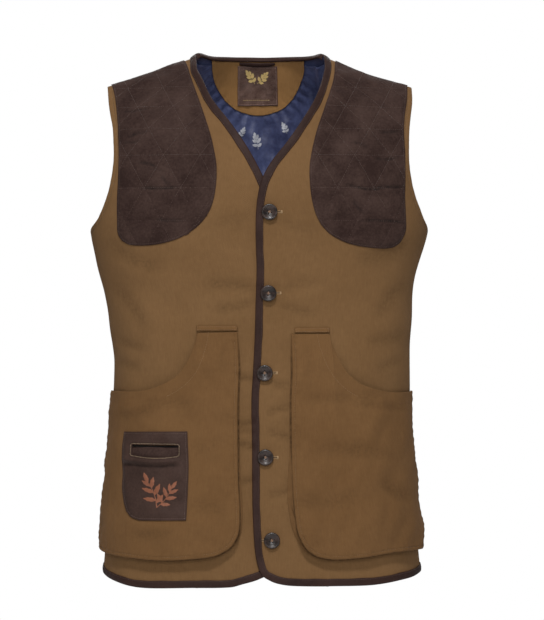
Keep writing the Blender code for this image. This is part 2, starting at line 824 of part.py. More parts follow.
def quilt_height(spot: Spot) -> float:
    """Return the share of the full puff between the quilting's three sets of lines."""
    drop = (cloth_drop(spot) - QUILT_FIRST_ROW) / QUILT_ROW
    beside = (abs(form_point(spot).x - TOP_RING.centre) - QUILT_COLUMN) / QUILT_SIDE
    nearest = 1.0
    for place in (drop, beside + drop / 2, beside - drop / 2):
        nearest = min(nearest, abs(place - round(place)))
    deep = min(1.0, 3 * nearest)
    return 1 - (1 - deep) ** 2


def shoulder_patch(name: str, neck: Sequence[Knot], bottom: Sequence[Knot], arm: Sequence[Knot],
                   side: int, ground: Ground) -> bpy.types.Object:
    """Make one shoulder patch, quilted on its outer face and plain inside."""
    top_neck = Spot(side * angle_for(PATCH_TOP_NECK / TOP_RING.half), 2 * SEAM)
    top_arm = Spot(side * angle_for(PATCH_TOP_ARM / TOP_RING.half), 2 * SEAM)
    corner_neck = front_spot(*bottom[0])
    corner_arm = front_spot(*bottom[-1])
    knots = [front_spot(*knot) for knot in neck]
    inner = smooth_through([top_neck] + knots + [corner_neck], PATCH_ROWS)[::-1]
    outer = smooth_through([corner_arm] + [front_spot(*knot) for knot in arm] + [top_arm], PATCH_ROWS)
    lower = smooth_through([front_spot(*knot) for knot in bottom], PATCH_COLUMNS)
    upper = evenly([top_neck, top_arm], PATCH_COLUMNS)
    grid = patch_grid(lower, upper, inner, outer)

    def puffed(j: int, i: int) -> float:
        aside = min(i, PATCH_COLUMNS - i) / (PATCH_TURN * PATCH_COLUMNS)
        below = j / (PATCH_TURN * PATCH_COLUMNS)
        above = 0.35 + (PATCH_ROWS - j) / (PATCH_TURN * PATCH_COLUMNS)
        rim = ease(aside) * ease(below) * ease(above)
        fading = 0.6 + 0.4 * ease(2 * j / PATCH_ROWS)
        return CLEAR + PATCH + QUILT_PUFF * rim * fading * quilt_height(grid[j][i])

    maker = closed_wall(layer(grid, ground.over, puffed), layer(grid, ground.over, CLEAR))
    return finish(name, maker, DARK_LEATHER)


# Bellows pockets

class Depth(NamedTuple):
    """How far a pocket's front wall stands off at a height, and its share of that at the side seam."""

    height: float
    stand: float
    at_side: float


POCKET_DEPTHS = (
    Depth(-0.640, 0.0130, 0.56),
    Depth(-0.605, 0.0158, 0.57),
    Depth(-0.560, 0.0140, 0.55),
    Depth(-0.500, 0.0115, 0.37),
    Depth(-0.450, 0.0100, 0.28),
    Depth(-0.420, 0.0092, 0.12),
    Depth(-0.380, 0.0078, 0.12),
    Depth(-0.343, 0.0019, 0.12),
)
POCKET_EDGE_SHARE = 0.80    # of the stand, at the edge beside the buttons
POCKET_SIDE_FROM = 0.120    # from the centre, where the wall begins to sink to the side
POCKET_SIDE_FADE = 0.075
POCKET_EDGE_FROM = 0.070    # and to the edge beside the buttons
POCKET_EDGE_FADE = 0.050
POCKET_COLUMNS = 14
POCKET_ROWS = 12
POCKET_SIDE_TURN = 0.060    # of the angle, between the front wall and the side seam

VIEWER_LEFT_POCKET_EDGE = (
    Knot(-0.0299, -0.3436), Knot(-0.0290, -0.4687), Knot(-0.0281, -0.5361), Knot(-0.0262, -0.5720),
    Knot(-0.0275, -0.5994), Knot(-0.0345, -0.6150),
)
VIEWER_LEFT_POCKET_BOTTOM = (
    Knot(-0.0418, -0.6221), Knot(-0.0549, -0.6290), Knot(-0.0740, -0.6328), Knot(-0.1204, -0.6365),
    Knot(-0.1704, -0.6341),
)
VIEWER_LEFT_POCKET_MOUTH = (
    Knot(-0.0812, -0.3446), Knot(-0.0852, -0.3625), Knot(-0.0961, -0.3873), Knot(-0.1118, -0.4046),
    Knot(-0.1354, -0.4165), Knot(-0.1578, -0.4207), Knot(-0.1800, -0.4211),
)
VIEWER_RIGHT_POCKET_EDGE = (
    Knot(0.0387, -0.3460), Knot(0.0387, -0.4305), Knot(0.0395, -0.5324), Knot(0.0423, -0.5700),
    Knot(0.0460, -0.5980), Knot(0.0530, -0.6150),
)
VIEWER_RIGHT_POCKET_BOTTOM = (
    Knot(0.0600, -0.6240), Knot(0.0720, -0.6310), Knot(0.0933, -0.6347), Knot(0.1278, -0.6329),
    Knot(0.1700, -0.6280),
)
VIEWER_RIGHT_POCKET_MOUTH = (
    Knot(0.0881, -0.3460), Knot(0.0917, -0.3615), Knot(0.1044, -0.3896), Knot(0.1200, -0.4063),
    Knot(0.1372, -0.4152), Knot(0.1620, -0.4212), Knot(0.1816, -0.4224),
)
POCKET_BOTTOM_AT_SIDE = -0.6290
POCKET_MOUTH_AT_SIDE = -0.4215
POCKET_BAR_CELLS = 4


class Bellow(NamedTuple):
    """A line of the pocket's gusset: how far outside the front wall, and its share of the depth."""

    outset: float
    share: float


BELLOWS = (Bellow(0.0060, 0.0), Bellow(0.0015, 0.48), Bellow(0.0, 0.90))


def pocket_stand(point: Vector) -> float:
    """Return how far the middle of a pocket's front wall stands off the form at a point."""
    row = 0
    while row < len(POCKET_DEPTHS) - 2 and point.z > POCKET_DEPTHS[row + 1].height:
        row += 1
    low, high = POCKET_DEPTHS[row], POCKET_DEPTHS[row + 1]
    t = min(1.0, max(0.0, (point.z - low.height) / (high.height - low.height)))
    stand = low.stand + t * (high.stand - low.stand)
    at_side = low.at_side + t * (high.at_side - low.at_side)
    to_side = ease((abs(point.x) - POCKET_SIDE_FROM) / POCKET_SIDE_FADE)
    to_edge = ease((POCKET_EDGE_FROM - abs(point.x)) / POCKET_EDGE_FADE)
    least = POCKET_DEPTHS[-1].stand
    share = 1 - (1 - at_side) * to_side - (1 - POCKET_EDGE_SHARE) * to_edge
    return least + (stand - least) * share


def thick_sheet(middle: Points, thickness: float) -> tuple[Points, Points]:
    """Give a sheet of points its wall, half to each side along its own normals."""
    rows, columns = len(middle), len(middle[0])
    outer: Points = []
    inner: Points = []
    for j in range(rows):
        out_row, in_row = [], []
        for i in range(columns):
            beside = middle[j][min(i + 1, columns - 1)] - middle[j][max(i - 1, 0)]
            above = middle[min(j + 1, rows - 1)][i] - middle[max(j - 1, 0)][i]
            normal = above.cross(beside).normalized()
            out_row.append(middle[j][i] + normal * thickness / 2)
            in_row.append(middle[j][i] - normal * thickness / 2)
        outer.append(out_row)
        inner.append(in_row)
    return outer, inner


def pocket_grid(
    edge: Sequence[Knot], bottom: Sequence[Knot], mouth: Sequence[Knot], side: int,
) -> list[Spots]:
    """Return the front wall's spots, from its edge beside the buttons to the side seam."""
    side_angle = side * (SIDE_ANGLE - POCKET_SIDE_TURN)
    low = Spot(side_angle, front_spot(side, POCKET_BOTTOM_AT_SIDE).reach)
    high = Spot(side_angle, front_spot(side, POCKET_MOUTH_AT_SIDE).reach)
    corner = front_spot(*bottom[0])
    inner = smooth_through([front_spot(*knot) for knot in edge] + [corner], POCKET_ROWS)[::-1]
    outer = evenly([low, high], POCKET_ROWS)
    lower = smooth_through([front_spot(*knot) for knot in bottom] + [low], POCKET_COLUMNS)
    bar_end = front_spot(*mouth[0])
    upper = smooth_through([inner[-1], bar_end], POCKET_BAR_CELLS)[:-1]
    upper += smooth_through([front_spot(*knot) for knot in mouth] + [high], POCKET_COLUMNS - POCKET_BAR_CELLS)
    return patch_grid(lower, upper, inner, outer)


def pocket_sheet(grid: list[Spots], ground: Ground) -> Points:
    """Return the middle of a pocket's wall: its front, and the bellows on its three closed sides."""
    base = CLEAR + CLOTH / 2
    turn = len(BELLOWS) - 1
    columns = len(grid[0]) - 1
    rows = []
    for j in range(-turn, len(grid)):
        row = []
        for i in range(-turn, columns + turn + 1):
            at_j, at_i = max(j, 0), min(max(i, 0), columns)
            below, beside = max(-j, 0), max(-i, i - columns, 0)
            spot = grid[at_j][at_i]
            line = BELLOWS[turn - max(below, beside)]
            down = form_point(grid[0][at_i]) - form_point(grid[1][at_i])
            aside = form_point(grid[at_j][at_i]) - form_point(grid[at_j][1 if i < 0 else columns - 1])
            way = Vector((0.0, 0.0, 0.0))
            if below:
                way += down.normalized() * below
            if beside:
                way += aside.normalized() * beside
            if below or beside:
                way = way.normalized() * line.outset
            on_front = at_j > 0 and 0 < at_i < columns
            share = 1.0 if on_front and not beside else line.share
            place = spot_moved(spot, way)
            if share == 0.0:
                row.append(ground.over(place, base))
            else:
                depth = pocket_stand(form_point(spot)) - OUT - base
                row.append(ground.middle(place, OUT + base + depth * share))
        rows.append(row)
    return rows


def pocket_solid(name: str, grid: list[Spots], ground: Ground, side: int) -> Ground:
    """Make a bellows pocket, open at its mouth."""
    sheet = pocket_sheet(grid, ground)
    if side < 0:
        sheet = [row[::-1] for row in sheet]
    maker = closed_wall(*thick_sheet(sheet, CLOTH))
    wall = Ground(maker, ground.lift, lambda spot: pocket_stand(form_point(spot)) + OUT, lambda spot: -OUT)
    finish(name, maker, POCKET_TAN)
    return wall


# Flat strips and patches on the cloth

BAR_THICK = 0.0014


class Strip(NamedTuple):
    """A four-sided strip in the front view."""

    left: float
    right: float
    top: float
    bottom: float


BAR_CELLS = (6, 1)
VIEWER_LEFT_BAR = Strip(-0.0820, -0.0296, -0.3354, -0.3420)
VIEWER_RIGHT_BAR = Strip(0.0432, 0.0884, -0.3378, -0.3442)


def strip_grid(strip: Strip, cells: tuple[int, int], place: Callable[[float, float], Spot]) -> list[Spots]:
    """Return the spots of a strip, from its bottom left."""
    columns, rows = cells
    grid = []
    for j in range(rows + 1):
        height = strip.bottom + (strip.top - strip.bottom) * j / rows
        grid.append([
            place(strip.left + (strip.right - strip.left) * i / columns, height) for i in range(columns + 1)
        ])
    return grid


def pocket_bar(name: str, strip: Strip, ground: Ground) -> bpy.types.Object:
    """Make the sewn-down bar above a pocket's tongue."""
    grid = strip_grid(strip, BAR_CELLS, front_spot)
    maker = closed_wall(layer(grid, ground.over, CLEAR + BAR_THICK), layer(grid, ground.over, CLEAR))
    return finish(name, maker, POCKET_TAN)


# The small leather pocket on the viewer's left pocket

TICKET_LEFT = (Knot(-0.1720, -0.4732), Knot(-0.1714, -0.5221), Knot(-0.1700, -0.5600))
TICKET_RIGHT = (Knot(-0.0917, -0.4714), Knot(-0.0896, -0.5223), Knot(-0.0918, -0.5847))
TICKET_BOTTOM = (Knot(-0.1652, -0.5745), Knot(-0.1582, -0.5825), Knot(-0.1478, -0.5862))
TICKET_SLOT = Strip(-0.1578, -0.1022, -0.4893, -0.5043)
TICKET_ACROSS = (0.0, 0.03, 0.175, 0.29, 0.405, 0.52, 0.635, 0.75, 0.865, 0.97, 1.0)
TICKET_UP = (0.0, 0.02, 0.15, 0.30, 0.45, 0.60, 0.72, 0.85, 0.98, 1.0)
TICKET_SLOT_COLUMNS = range(2, 8)
TICKET_SLOT_ROW = 6
TICKET_BULGE = 0.0018
TICKET_TURN = 0.1       # the share of the width and height in which the bulge rises
WELT_THICK = 0.0008
WELT_CLEAR = 0.0004
WELT_MARGIN = 0.0040    # how far it reaches behind the leather, beside and below the slot
WELT_SHORT = 0.0030     # the dark slit between the welt and the slot's top
WELT_CELLS = (8, 2)


def ticket_grid() -> list[Spots]:
    """Return the leather patch's spots, with lines along the slot's sides."""
    cells = FINE_CELLS // 10
    left = smooth_through([front_spot(*knot) for knot in TICKET_LEFT + TICKET_BOTTOM[:1]], 2 * cells)[::-1]
    right = smooth_through([front_spot(*knot) for knot in TICKET_RIGHT], 2 * cells)[::-1]
    lower = smooth_through([front_spot(*knot) for knot in TICKET_BOTTOM], cells)
    lower += smooth_through([lower[-1], right[0]], cells)[1:]
    upper = smooth_through([left[-1], right[-1]], cells)
    return patch_grid(resample(lower, TICKET_ACROSS), resample(upper, TICKET_ACROSS),
                      resample(left, TICKET_UP), resample(right, TICKET_UP))


def ticket_pocket(wall: Ground) -> None:
    """Make the leather patch, cut through at its slot, and the welt behind the slot.

    Args:
        wall: The bellows pocket that the patch is sewn to.
    """
    grid = ticket_grid()

    def bulge(j: int, i: int) -> float:
        u, v = TICKET_ACROSS[i], TICKET_UP[j]
        return CLEAR + TICKET_BULGE * ease(min(u, 1 - u) / TICKET_TURN) * ease(min(v, 1 - v) / TICKET_TURN)

    outer = layer(grid, wall.over, lambda j, i: bulge(j, i) + PATCH)
    inner = layer(grid, wall.over, bulge)
    is_slot = lambda j, i: j == TICKET_SLOT_ROW and i in TICKET_SLOT_COLUMNS
    finish("ticket_pocket", closed_wall(outer, inner, is_slot), POCKET_LEATHER)
    strip = Strip(TICKET_SLOT.left - WELT_MARGIN, TICKET_SLOT.right + WELT_MARGIN,
                  TICKET_SLOT.top - WELT_SHORT, TICKET_SLOT.bottom - WELT_MARGIN)
    grid = strip_grid(strip, WELT_CELLS, front_spot)
    welt = closed_wall(layer(grid, wall.over, WELT_CLEAR + WELT_THICK), layer(grid, wall.over, WELT_CLEAR))
    finish("ticket_pocket_welt", welt, DARK_LEATHER)


# Lining, facing, label and hanger loop, inside the back

LINING_IN = -(OUT + CLEAR + LINING)     # the lining's inner face, from the middle of the back
LINING_INSET = 0.35     # from the armholes and side seams, of a column
LINING_TOP_INSET = 0.8  # from the shoulders and the neck, of a row
LINING_BELOW = 3        # rows of the lining below the armholes
FACING_CLEAR = 0.0008
FACING_IN = LINING_IN - FACING_CLEAR - FACING
NECK_MARGIN = NECK_BINDING_INSIDE + 0.0018

FACING_LEFT = (Knot(-0.0650, 0.0030), Knot(-0.0625, -0.0100), Knot(-0.0560, -0.0232))
FACING_BOTTOM = (
    Knot(-0.0490, -0.0325), Knot(-0.0350, -0.0432), Knot(-0.0180, -0.0494), Knot(-0.0020, -0.0512),
    Knot(0.0140, -0.0485), Knot(0.0300, -0.0420), Knot(0.0430, -0.0300),
)
FACING_RIGHT = (Knot(0.0505, -0.0180), Knot(0.0560, -0.0040), Knot(0.0574, 0.0030))
FACING_TOP_LEFT = -0.0652
FACING_TOP_RIGHT = 0.0576
FACING_CELLS = (12, 6)
LABEL_STRIP = Strip(-0.0331, 0.0231, 0.0134, -0.0377)
LABEL_CELLS = (6, 4)


def neck_inset(neck: Spots, distance: float) -> Spots:
    """Return the back neckline moved down the back by a distance."""
    moved = []
    for index, spot in enumerate(neck):
        along = form_point(neck[min(index + 1, len(neck) - 1)]) - form_point(neck[max(index - 1, 0)])
        into = form_normal(spot).cross(along.normalized())
        moved.append(spot_moved(spot, into * distance))
    return moved


def grid_spot(grid: list[Spots], row: float, column: float) -> Spot:
    """Return the spot between the lines of a grid."""
    j = min(int(row), len(grid) - 2)
    i = min(int(column), len(grid[0]) - 2)
    v, u = row - j, column - i
    place = []
    for axis in range(2):
        low = (1 - u) * grid[j][i][axis] + u * grid[j][i + 1][axis]
        high = (1 - u) * grid[j + 1][i][axis] + u * grid[j + 1][i + 1][axis]
        place.append((1 - v) * low + v * high)
    return Spot(*place)


def back_lining(panel: Panel) -> Ground:
    """Make the satin lining of the upper back, as far down as the neck and the armholes show it."""
    rows, columns = len(panel.grid) - 1, len(panel.grid[0]) - 1
    across = [LINING_INSET] + list(range(1, columns)) + [columns - LINING_INSET]
    up = list(range(SIDE_ROWS - LINING_BELOW, rows)) + [rows - LINING_TOP_INSET]
    grid = [[grid_spot(panel.grid, row, column) for column in across] for row in up]
    under = panel.ground.under
    maker = closed_wall(layer(grid, under, -CLEAR), layer(grid, under, -CLEAR - LINING))
    ground = Ground(maker, panel.ground.lift, lambda spot: OUT, lambda spot: LINING_IN)
    finish("back_lining", maker, NAVY)
    return ground


def back_facing(panel: Panel, lining: Ground) -> Ground:
    """Make the half-moon facing under the back neckline."""
    columns, rows = FACING_CELLS
    line = neck_inset(smooth_through(panel.edge, FINE_CELLS // 2), NECK_MARGIN)
    between = [spot for spot in line if FACING_TOP_LEFT < form_point(spot).x < FACING_TOP_RIGHT]
    upper = evenly(between, columns)
    corner_left = back_spot(*FACING_BOTTOM[0])
    corner_right = back_spot(*FACING_BOTTOM[-1])
    left = smooth_through([upper[0]] + [back_spot(*knot) for knot in FACING_LEFT] + [corner_left], rows)[::-1]
    right = smooth_through([corner_right] + [back_spot(*knot) for knot in FACING_RIGHT] + [upper[-1]], rows)
    lower = smooth_through([back_spot(*knot) for knot in FACING_BOTTOM], columns)
    grid = patch_grid(lower, upper, left, right)
    under = lining.under
    maker = closed_wall(layer(grid, under, -FACING_CLEAR), layer(grid, under, -FACING_CLEAR - FACING))
    ground = Ground(maker, lining.lift, lambda spot: LINING_IN, lambda spot: FACING_IN)
    finish("back_neck_facing", maker, TAN)
    return ground


def neck_label(facing: Ground) -> bpy.types.Object:
    """Make the bare leather label."""
    grid = strip_grid(LABEL_STRIP, LABEL_CELLS, back_spot)
    maker = closed_wall(layer(grid, facing.under, -CLEAR), layer(grid, facing.under, -CLEAR - LABEL))
    return finish("neck_label", maker, POCKET_LEATHER)


LOOP_STRIP = Strip(-0.0310, 0.0198, 0.0182, 0.0152)
LOOP_CELLS = (8, 2)
LOOP_THICK = 0.0018
LOOP_ROUND = 0.25       # of its thickness, by which its edges are thinner on each face


def hanger_loop(facing: Ground) -> bpy.types.Object:
    """Make the rolled hanger loop, lying flat under the neck binding."""
    grid = strip_grid(LOOP_STRIP, LOOP_CELLS, back_spot)

    def near(j: int, i: int) -> float:
        return -CLEAR - (0.0 if j == 1 else LOOP_ROUND * LOOP_THICK)

    def far(j: int, i: int) -> float:
        return -CLEAR - LOOP_THICK + (0.0 if j == 1 else LOOP_ROUND * LOOP_THICK)

    maker = closed_wall(layer(grid, facing.under, near), layer(grid, facing.under, far))
    return finish("hanger_loop", maker, BINDING_LEATHER)


# Buttons

class Button(NamedTuple):
    """A button's centre in the front view."""

    across: float
    height: float


BUTTONS = (
    Button(0.0112, -0.1901), Button(0.0098, -0.2935), Button(0.0052, -0.3962),
    Button(0.0061, -0.5043), Button(0.0143, -0.6102),
)
BUTTON_RADIUS = 0.0104
BUTTON_DEPTH = 0.0042
BUTTON_SIDES = 16
BUTTON_CLEAR = 0.0004


def button_profile() -> list[tuple[float, float]]:
    """Return the turned button's half section: the radius and the height above its back."""
    r, d = BUTTON_RADIUS, BUTTON_DEPTH
    return [
        (0.0, 0.0), (0.62 * r, 0.0), (0.93 * r, 0.30 * d), (r, 0.62 * d), (0.95 * r, 0.90 * d),
        (0.84 * r, d), (0.66 * r, 0.80 * d), (0.42 * r, 0.58 * d), (0.0, 0.54 * d),
    ]


def button_seat(centre: Vector, normal: Vector, grounds: Sequence[Ground]) -> float:
    """Return how far above a centre a button's back lies, once it is let down on what is under it."""
    side = normal.orthogonal().normalized()
    start = 0.020
    seats = []
    for (near, low), (far, high) in zip(button_profile()[:3], button_profile()[1:4]):
        for share in (0.25, 0.5, 0.75, 1.0):
            radius, rise = near + share * (far - near), low + share * (high - low)
            for step in range(3 * BUTTON_SIDES):
                turned = Quaternion(normal, 2 * math.pi * step / (3 * BUTTON_SIDES)) @ side
                above = centre + turned * radius + normal * start
                for ground in grounds:
                    hit = ground.tree.ray_cast(above, -normal, 2 * start)[0]
                    if hit is not None:
                        seats.append((hit - centre).dot(normal) + BUTTON_CLEAR - rise)
    return max(seats)


def button_solid(name: str, button: Button, grounds: Sequence[Ground]) -> bpy.types.Object:
    """Turn one button and seat it on the binding and the top front."""
    spot = front_spot(button.across, button.height)
    normal = form_normal(spot)
    centre = grounds[0].middle(spot, 0.0)
    centre += normal * button_seat(centre, normal, grounds)
    maker = bmesh.new()
    points = [maker.verts.new((radius, 0.0, height)) for radius, height in button_profile()]
    edges = [maker.edges.new(pair) for pair in zip(points, points[1:])]
    bmesh.ops.spin(maker, geom=points + edges, cent=(0, 0, 0), axis=(0, 0, 1), angle=2 * math.pi,
                   steps=BUTTON_SIDES, use_merge=True)
    bmesh.ops.remove_doubles(maker, verts=maker.verts, dist=1e-6)
    turn = normal.to_track_quat("Z", "Y").to_matrix().to_4x4()
    turn.translation = centre
    bmesh.ops.transform(maker, matrix=turn, verts=maker.verts)
    return finish(name, maker, HORN)


def clear_scene() -> None:
    """Remove the objects that a new file starts with."""
    for item in list(bpy.data.objects):
        bpy.data.objects.remove(item)


def build_front(side: int) -> tuple[Ground, Ground]:
    """Make one front with its binding, shoulder patch, pocket and bar.

    Args:
        side: 1 for the front that lies on top, on the viewer's right, or -1.

    Returns:
        The front's wall and its binding's, or the pocket's wall, for what lies on them.
    """
    on_top = side > 0
    word = "left" if on_top else "right"
    lift = lift_over if on_top else lift_under
    edge, hem = (OVER_EDGE, OVER_HEM) if on_top else (UNDER_EDGE, UNDER_HEM)
    panel = front_panel(f"front_{word}", edge, hem, side, lift)
    path = panel.hem[::-1] + panel.edge[1:]
    binding = binding_solid(f"binding_front_{word}", path, panel.ground, -side, "sr")
    if on_top:
        patch = (VIEWER_RIGHT_PATCH_NECK, VIEWER_RIGHT_PATCH_BOTTOM, VIEWER_RIGHT_PATCH_ARM)
        pocket = (VIEWER_RIGHT_POCKET_EDGE, VIEWER_RIGHT_POCKET_BOTTOM, VIEWER_RIGHT_POCKET_MOUTH)
    else:
        patch = (VIEWER_LEFT_PATCH_NECK, VIEWER_LEFT_PATCH_BOTTOM, VIEWER_LEFT_PATCH_ARM)
        pocket = (VIEWER_LEFT_POCKET_EDGE, VIEWER_LEFT_POCKET_BOTTOM, VIEWER_LEFT_POCKET_MOUTH)
    shoulder_patch(f"shoulder_patch_{word}", *patch, side, panel.ground)
    wall = pocket_solid(f"pocket_{word}", pocket_grid(*pocket, side), panel.ground, side)
    pocket_bar(f"pocket_bar_{word}", VIEWER_RIGHT_BAR if on_top else VIEWER_LEFT_BAR, panel.ground)
    return panel.ground, binding if on_top else wall


def build_back() -> None:
    """Make the back with its bindings and what is sewn inside it."""
    back = back_panel()
    binding_solid("binding_back_neck", back.edge, back.ground, 1, "rr", NECK_BINDING_INSIDE)
    binding_solid("binding_back_hem", back.hem, back.ground, -1, "ss")
    facing = back_facing(back, back_lining(back))
    neck_label(facing)
    hanger_loop(facing)


clear_scene()
top_front, top_binding = build_front(1)
_, right_pocket = build_front(-1)
ticket_pocket(right_pocket)
build_back()
for number, button in enumerate(BUTTONS, start=1):
    button_solid(f"button_{number}", button, (top_front, top_binding))
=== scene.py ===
"""The looks of a men's shooting vest: its cloth, leather, stitching, buttons, light and camera.

Frame: metres, +Z up. The fronts face -Y and +X is the viewer's right, the wearer's left.
A place on the vest's form is a spot: the angle round the body, and the reach from the
shoulder ridge, positive down the front and negative down the back. An array of spots ends
in an axis of two, an array of points in an axis of three.
"""

import logging
import math
from dataclasses import dataclass, field
from enum import Enum
from typing import Callable, NamedTuple, Sequence

import bmesh
import bpy
import numpy as np
from mathutils import Matrix, Vector


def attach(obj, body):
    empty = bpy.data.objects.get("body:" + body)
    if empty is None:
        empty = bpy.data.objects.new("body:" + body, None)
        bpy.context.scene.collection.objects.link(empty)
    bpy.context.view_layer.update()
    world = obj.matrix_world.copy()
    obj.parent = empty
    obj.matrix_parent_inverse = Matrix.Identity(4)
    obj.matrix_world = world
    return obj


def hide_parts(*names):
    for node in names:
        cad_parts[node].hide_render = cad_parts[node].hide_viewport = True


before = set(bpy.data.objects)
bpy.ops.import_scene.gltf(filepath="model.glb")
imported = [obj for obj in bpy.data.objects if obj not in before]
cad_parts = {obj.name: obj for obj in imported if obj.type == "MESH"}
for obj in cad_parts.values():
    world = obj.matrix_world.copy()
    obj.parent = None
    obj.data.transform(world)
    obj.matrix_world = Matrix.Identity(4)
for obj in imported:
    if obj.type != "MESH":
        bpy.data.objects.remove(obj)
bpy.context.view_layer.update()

LOG = logging.getLogger("vest")
Array = np.ndarray
Place = Callable[[Array, "Array | float"], Array]
Value = "float | Sequence[float] | Output"
Colour = tuple[float, float, float]
Material = bpy.types.Material
Mesh = bpy.types.Mesh
Node = bpy.types.Node
Output = bpy.types.NodeSocket
Piece = bpy.types.Object
Sockets = bpy.types.bpy_prop_collection
Tree = bpy.types.NodeTree

# The thickness of each layer, in metres
CLOTH = 0.0013
LEATHER = 0.0009
PATCH = 0.0011
LINING = 0.0008
FACING = 0.0010
LABEL = 0.0012

TOUCH = 0.00025             # between one layer and the next
SEAM = 0.00002              # from the shoulder seam to each panel's edge
OUT = CLOTH / 2             # the outer face of a panel, from its middle
QUARTER = math.pi / 2
METRES_PER_RADIAN = 0.17    # weighs an angle against a reach
CREASE_RIDGE = 0.45         # a crease's ridge, as a share of its depth
CREASE_RIDGE_OFF = 1.6      # and how far beside it, in half widths
BLOCK = 8192                # how many points are measured against a path at a time
TURN_STEP = 0.002           # the angle and the reach over which the form's slope is measured
REACH_STEP = 0.0005
KNOT_STEPS = 12             # a smooth line's spots from knot to knot
TINY = 1e-7                 # the distance within which vertices are one


# The form

class Ring(NamedTuple):
    """One level section of the body of the vest."""

    height: float
    centre: float
    half: float
    front: float
    back: float


RINGS = (
    Ring(-0.700, 0.0020, 0.2090, 0.128, 0.119),
    Ring(-0.650, 0.0013, 0.2078, 0.127, 0.119),
    Ring(-0.566, 0.0000, 0.2010, 0.124, 0.116),
    Ring(-0.500, 0.0000, 0.1975, 0.121, 0.110),
    Ring(-0.434, 0.0000, 0.1945, 0.118, 0.102),
    Ring(-0.395, 0.0014, 0.1946, 0.117, 0.099),
    Ring(-0.355, 0.0004, 0.1956, 0.118, 0.101),
    Ring(-0.302, -0.0030, 0.2018, 0.122, 0.108),
    Ring(-0.250, -0.0038, 0.2122, 0.126, 0.117),
    Ring(-0.210, -0.0026, 0.2222, 0.129, 0.123),
    Ring(-0.150, -0.0020, 0.2232, 0.130, 0.127),
    Ring(0.100, -0.0020, 0.2232, 0.130, 0.127),
)


def ease(value: Array) -> Array:
    """Return a smooth step from 0 to 1."""
    value = np.clip(value, 0.0, 1.0)
    return value * value * (3 - 2 * value)


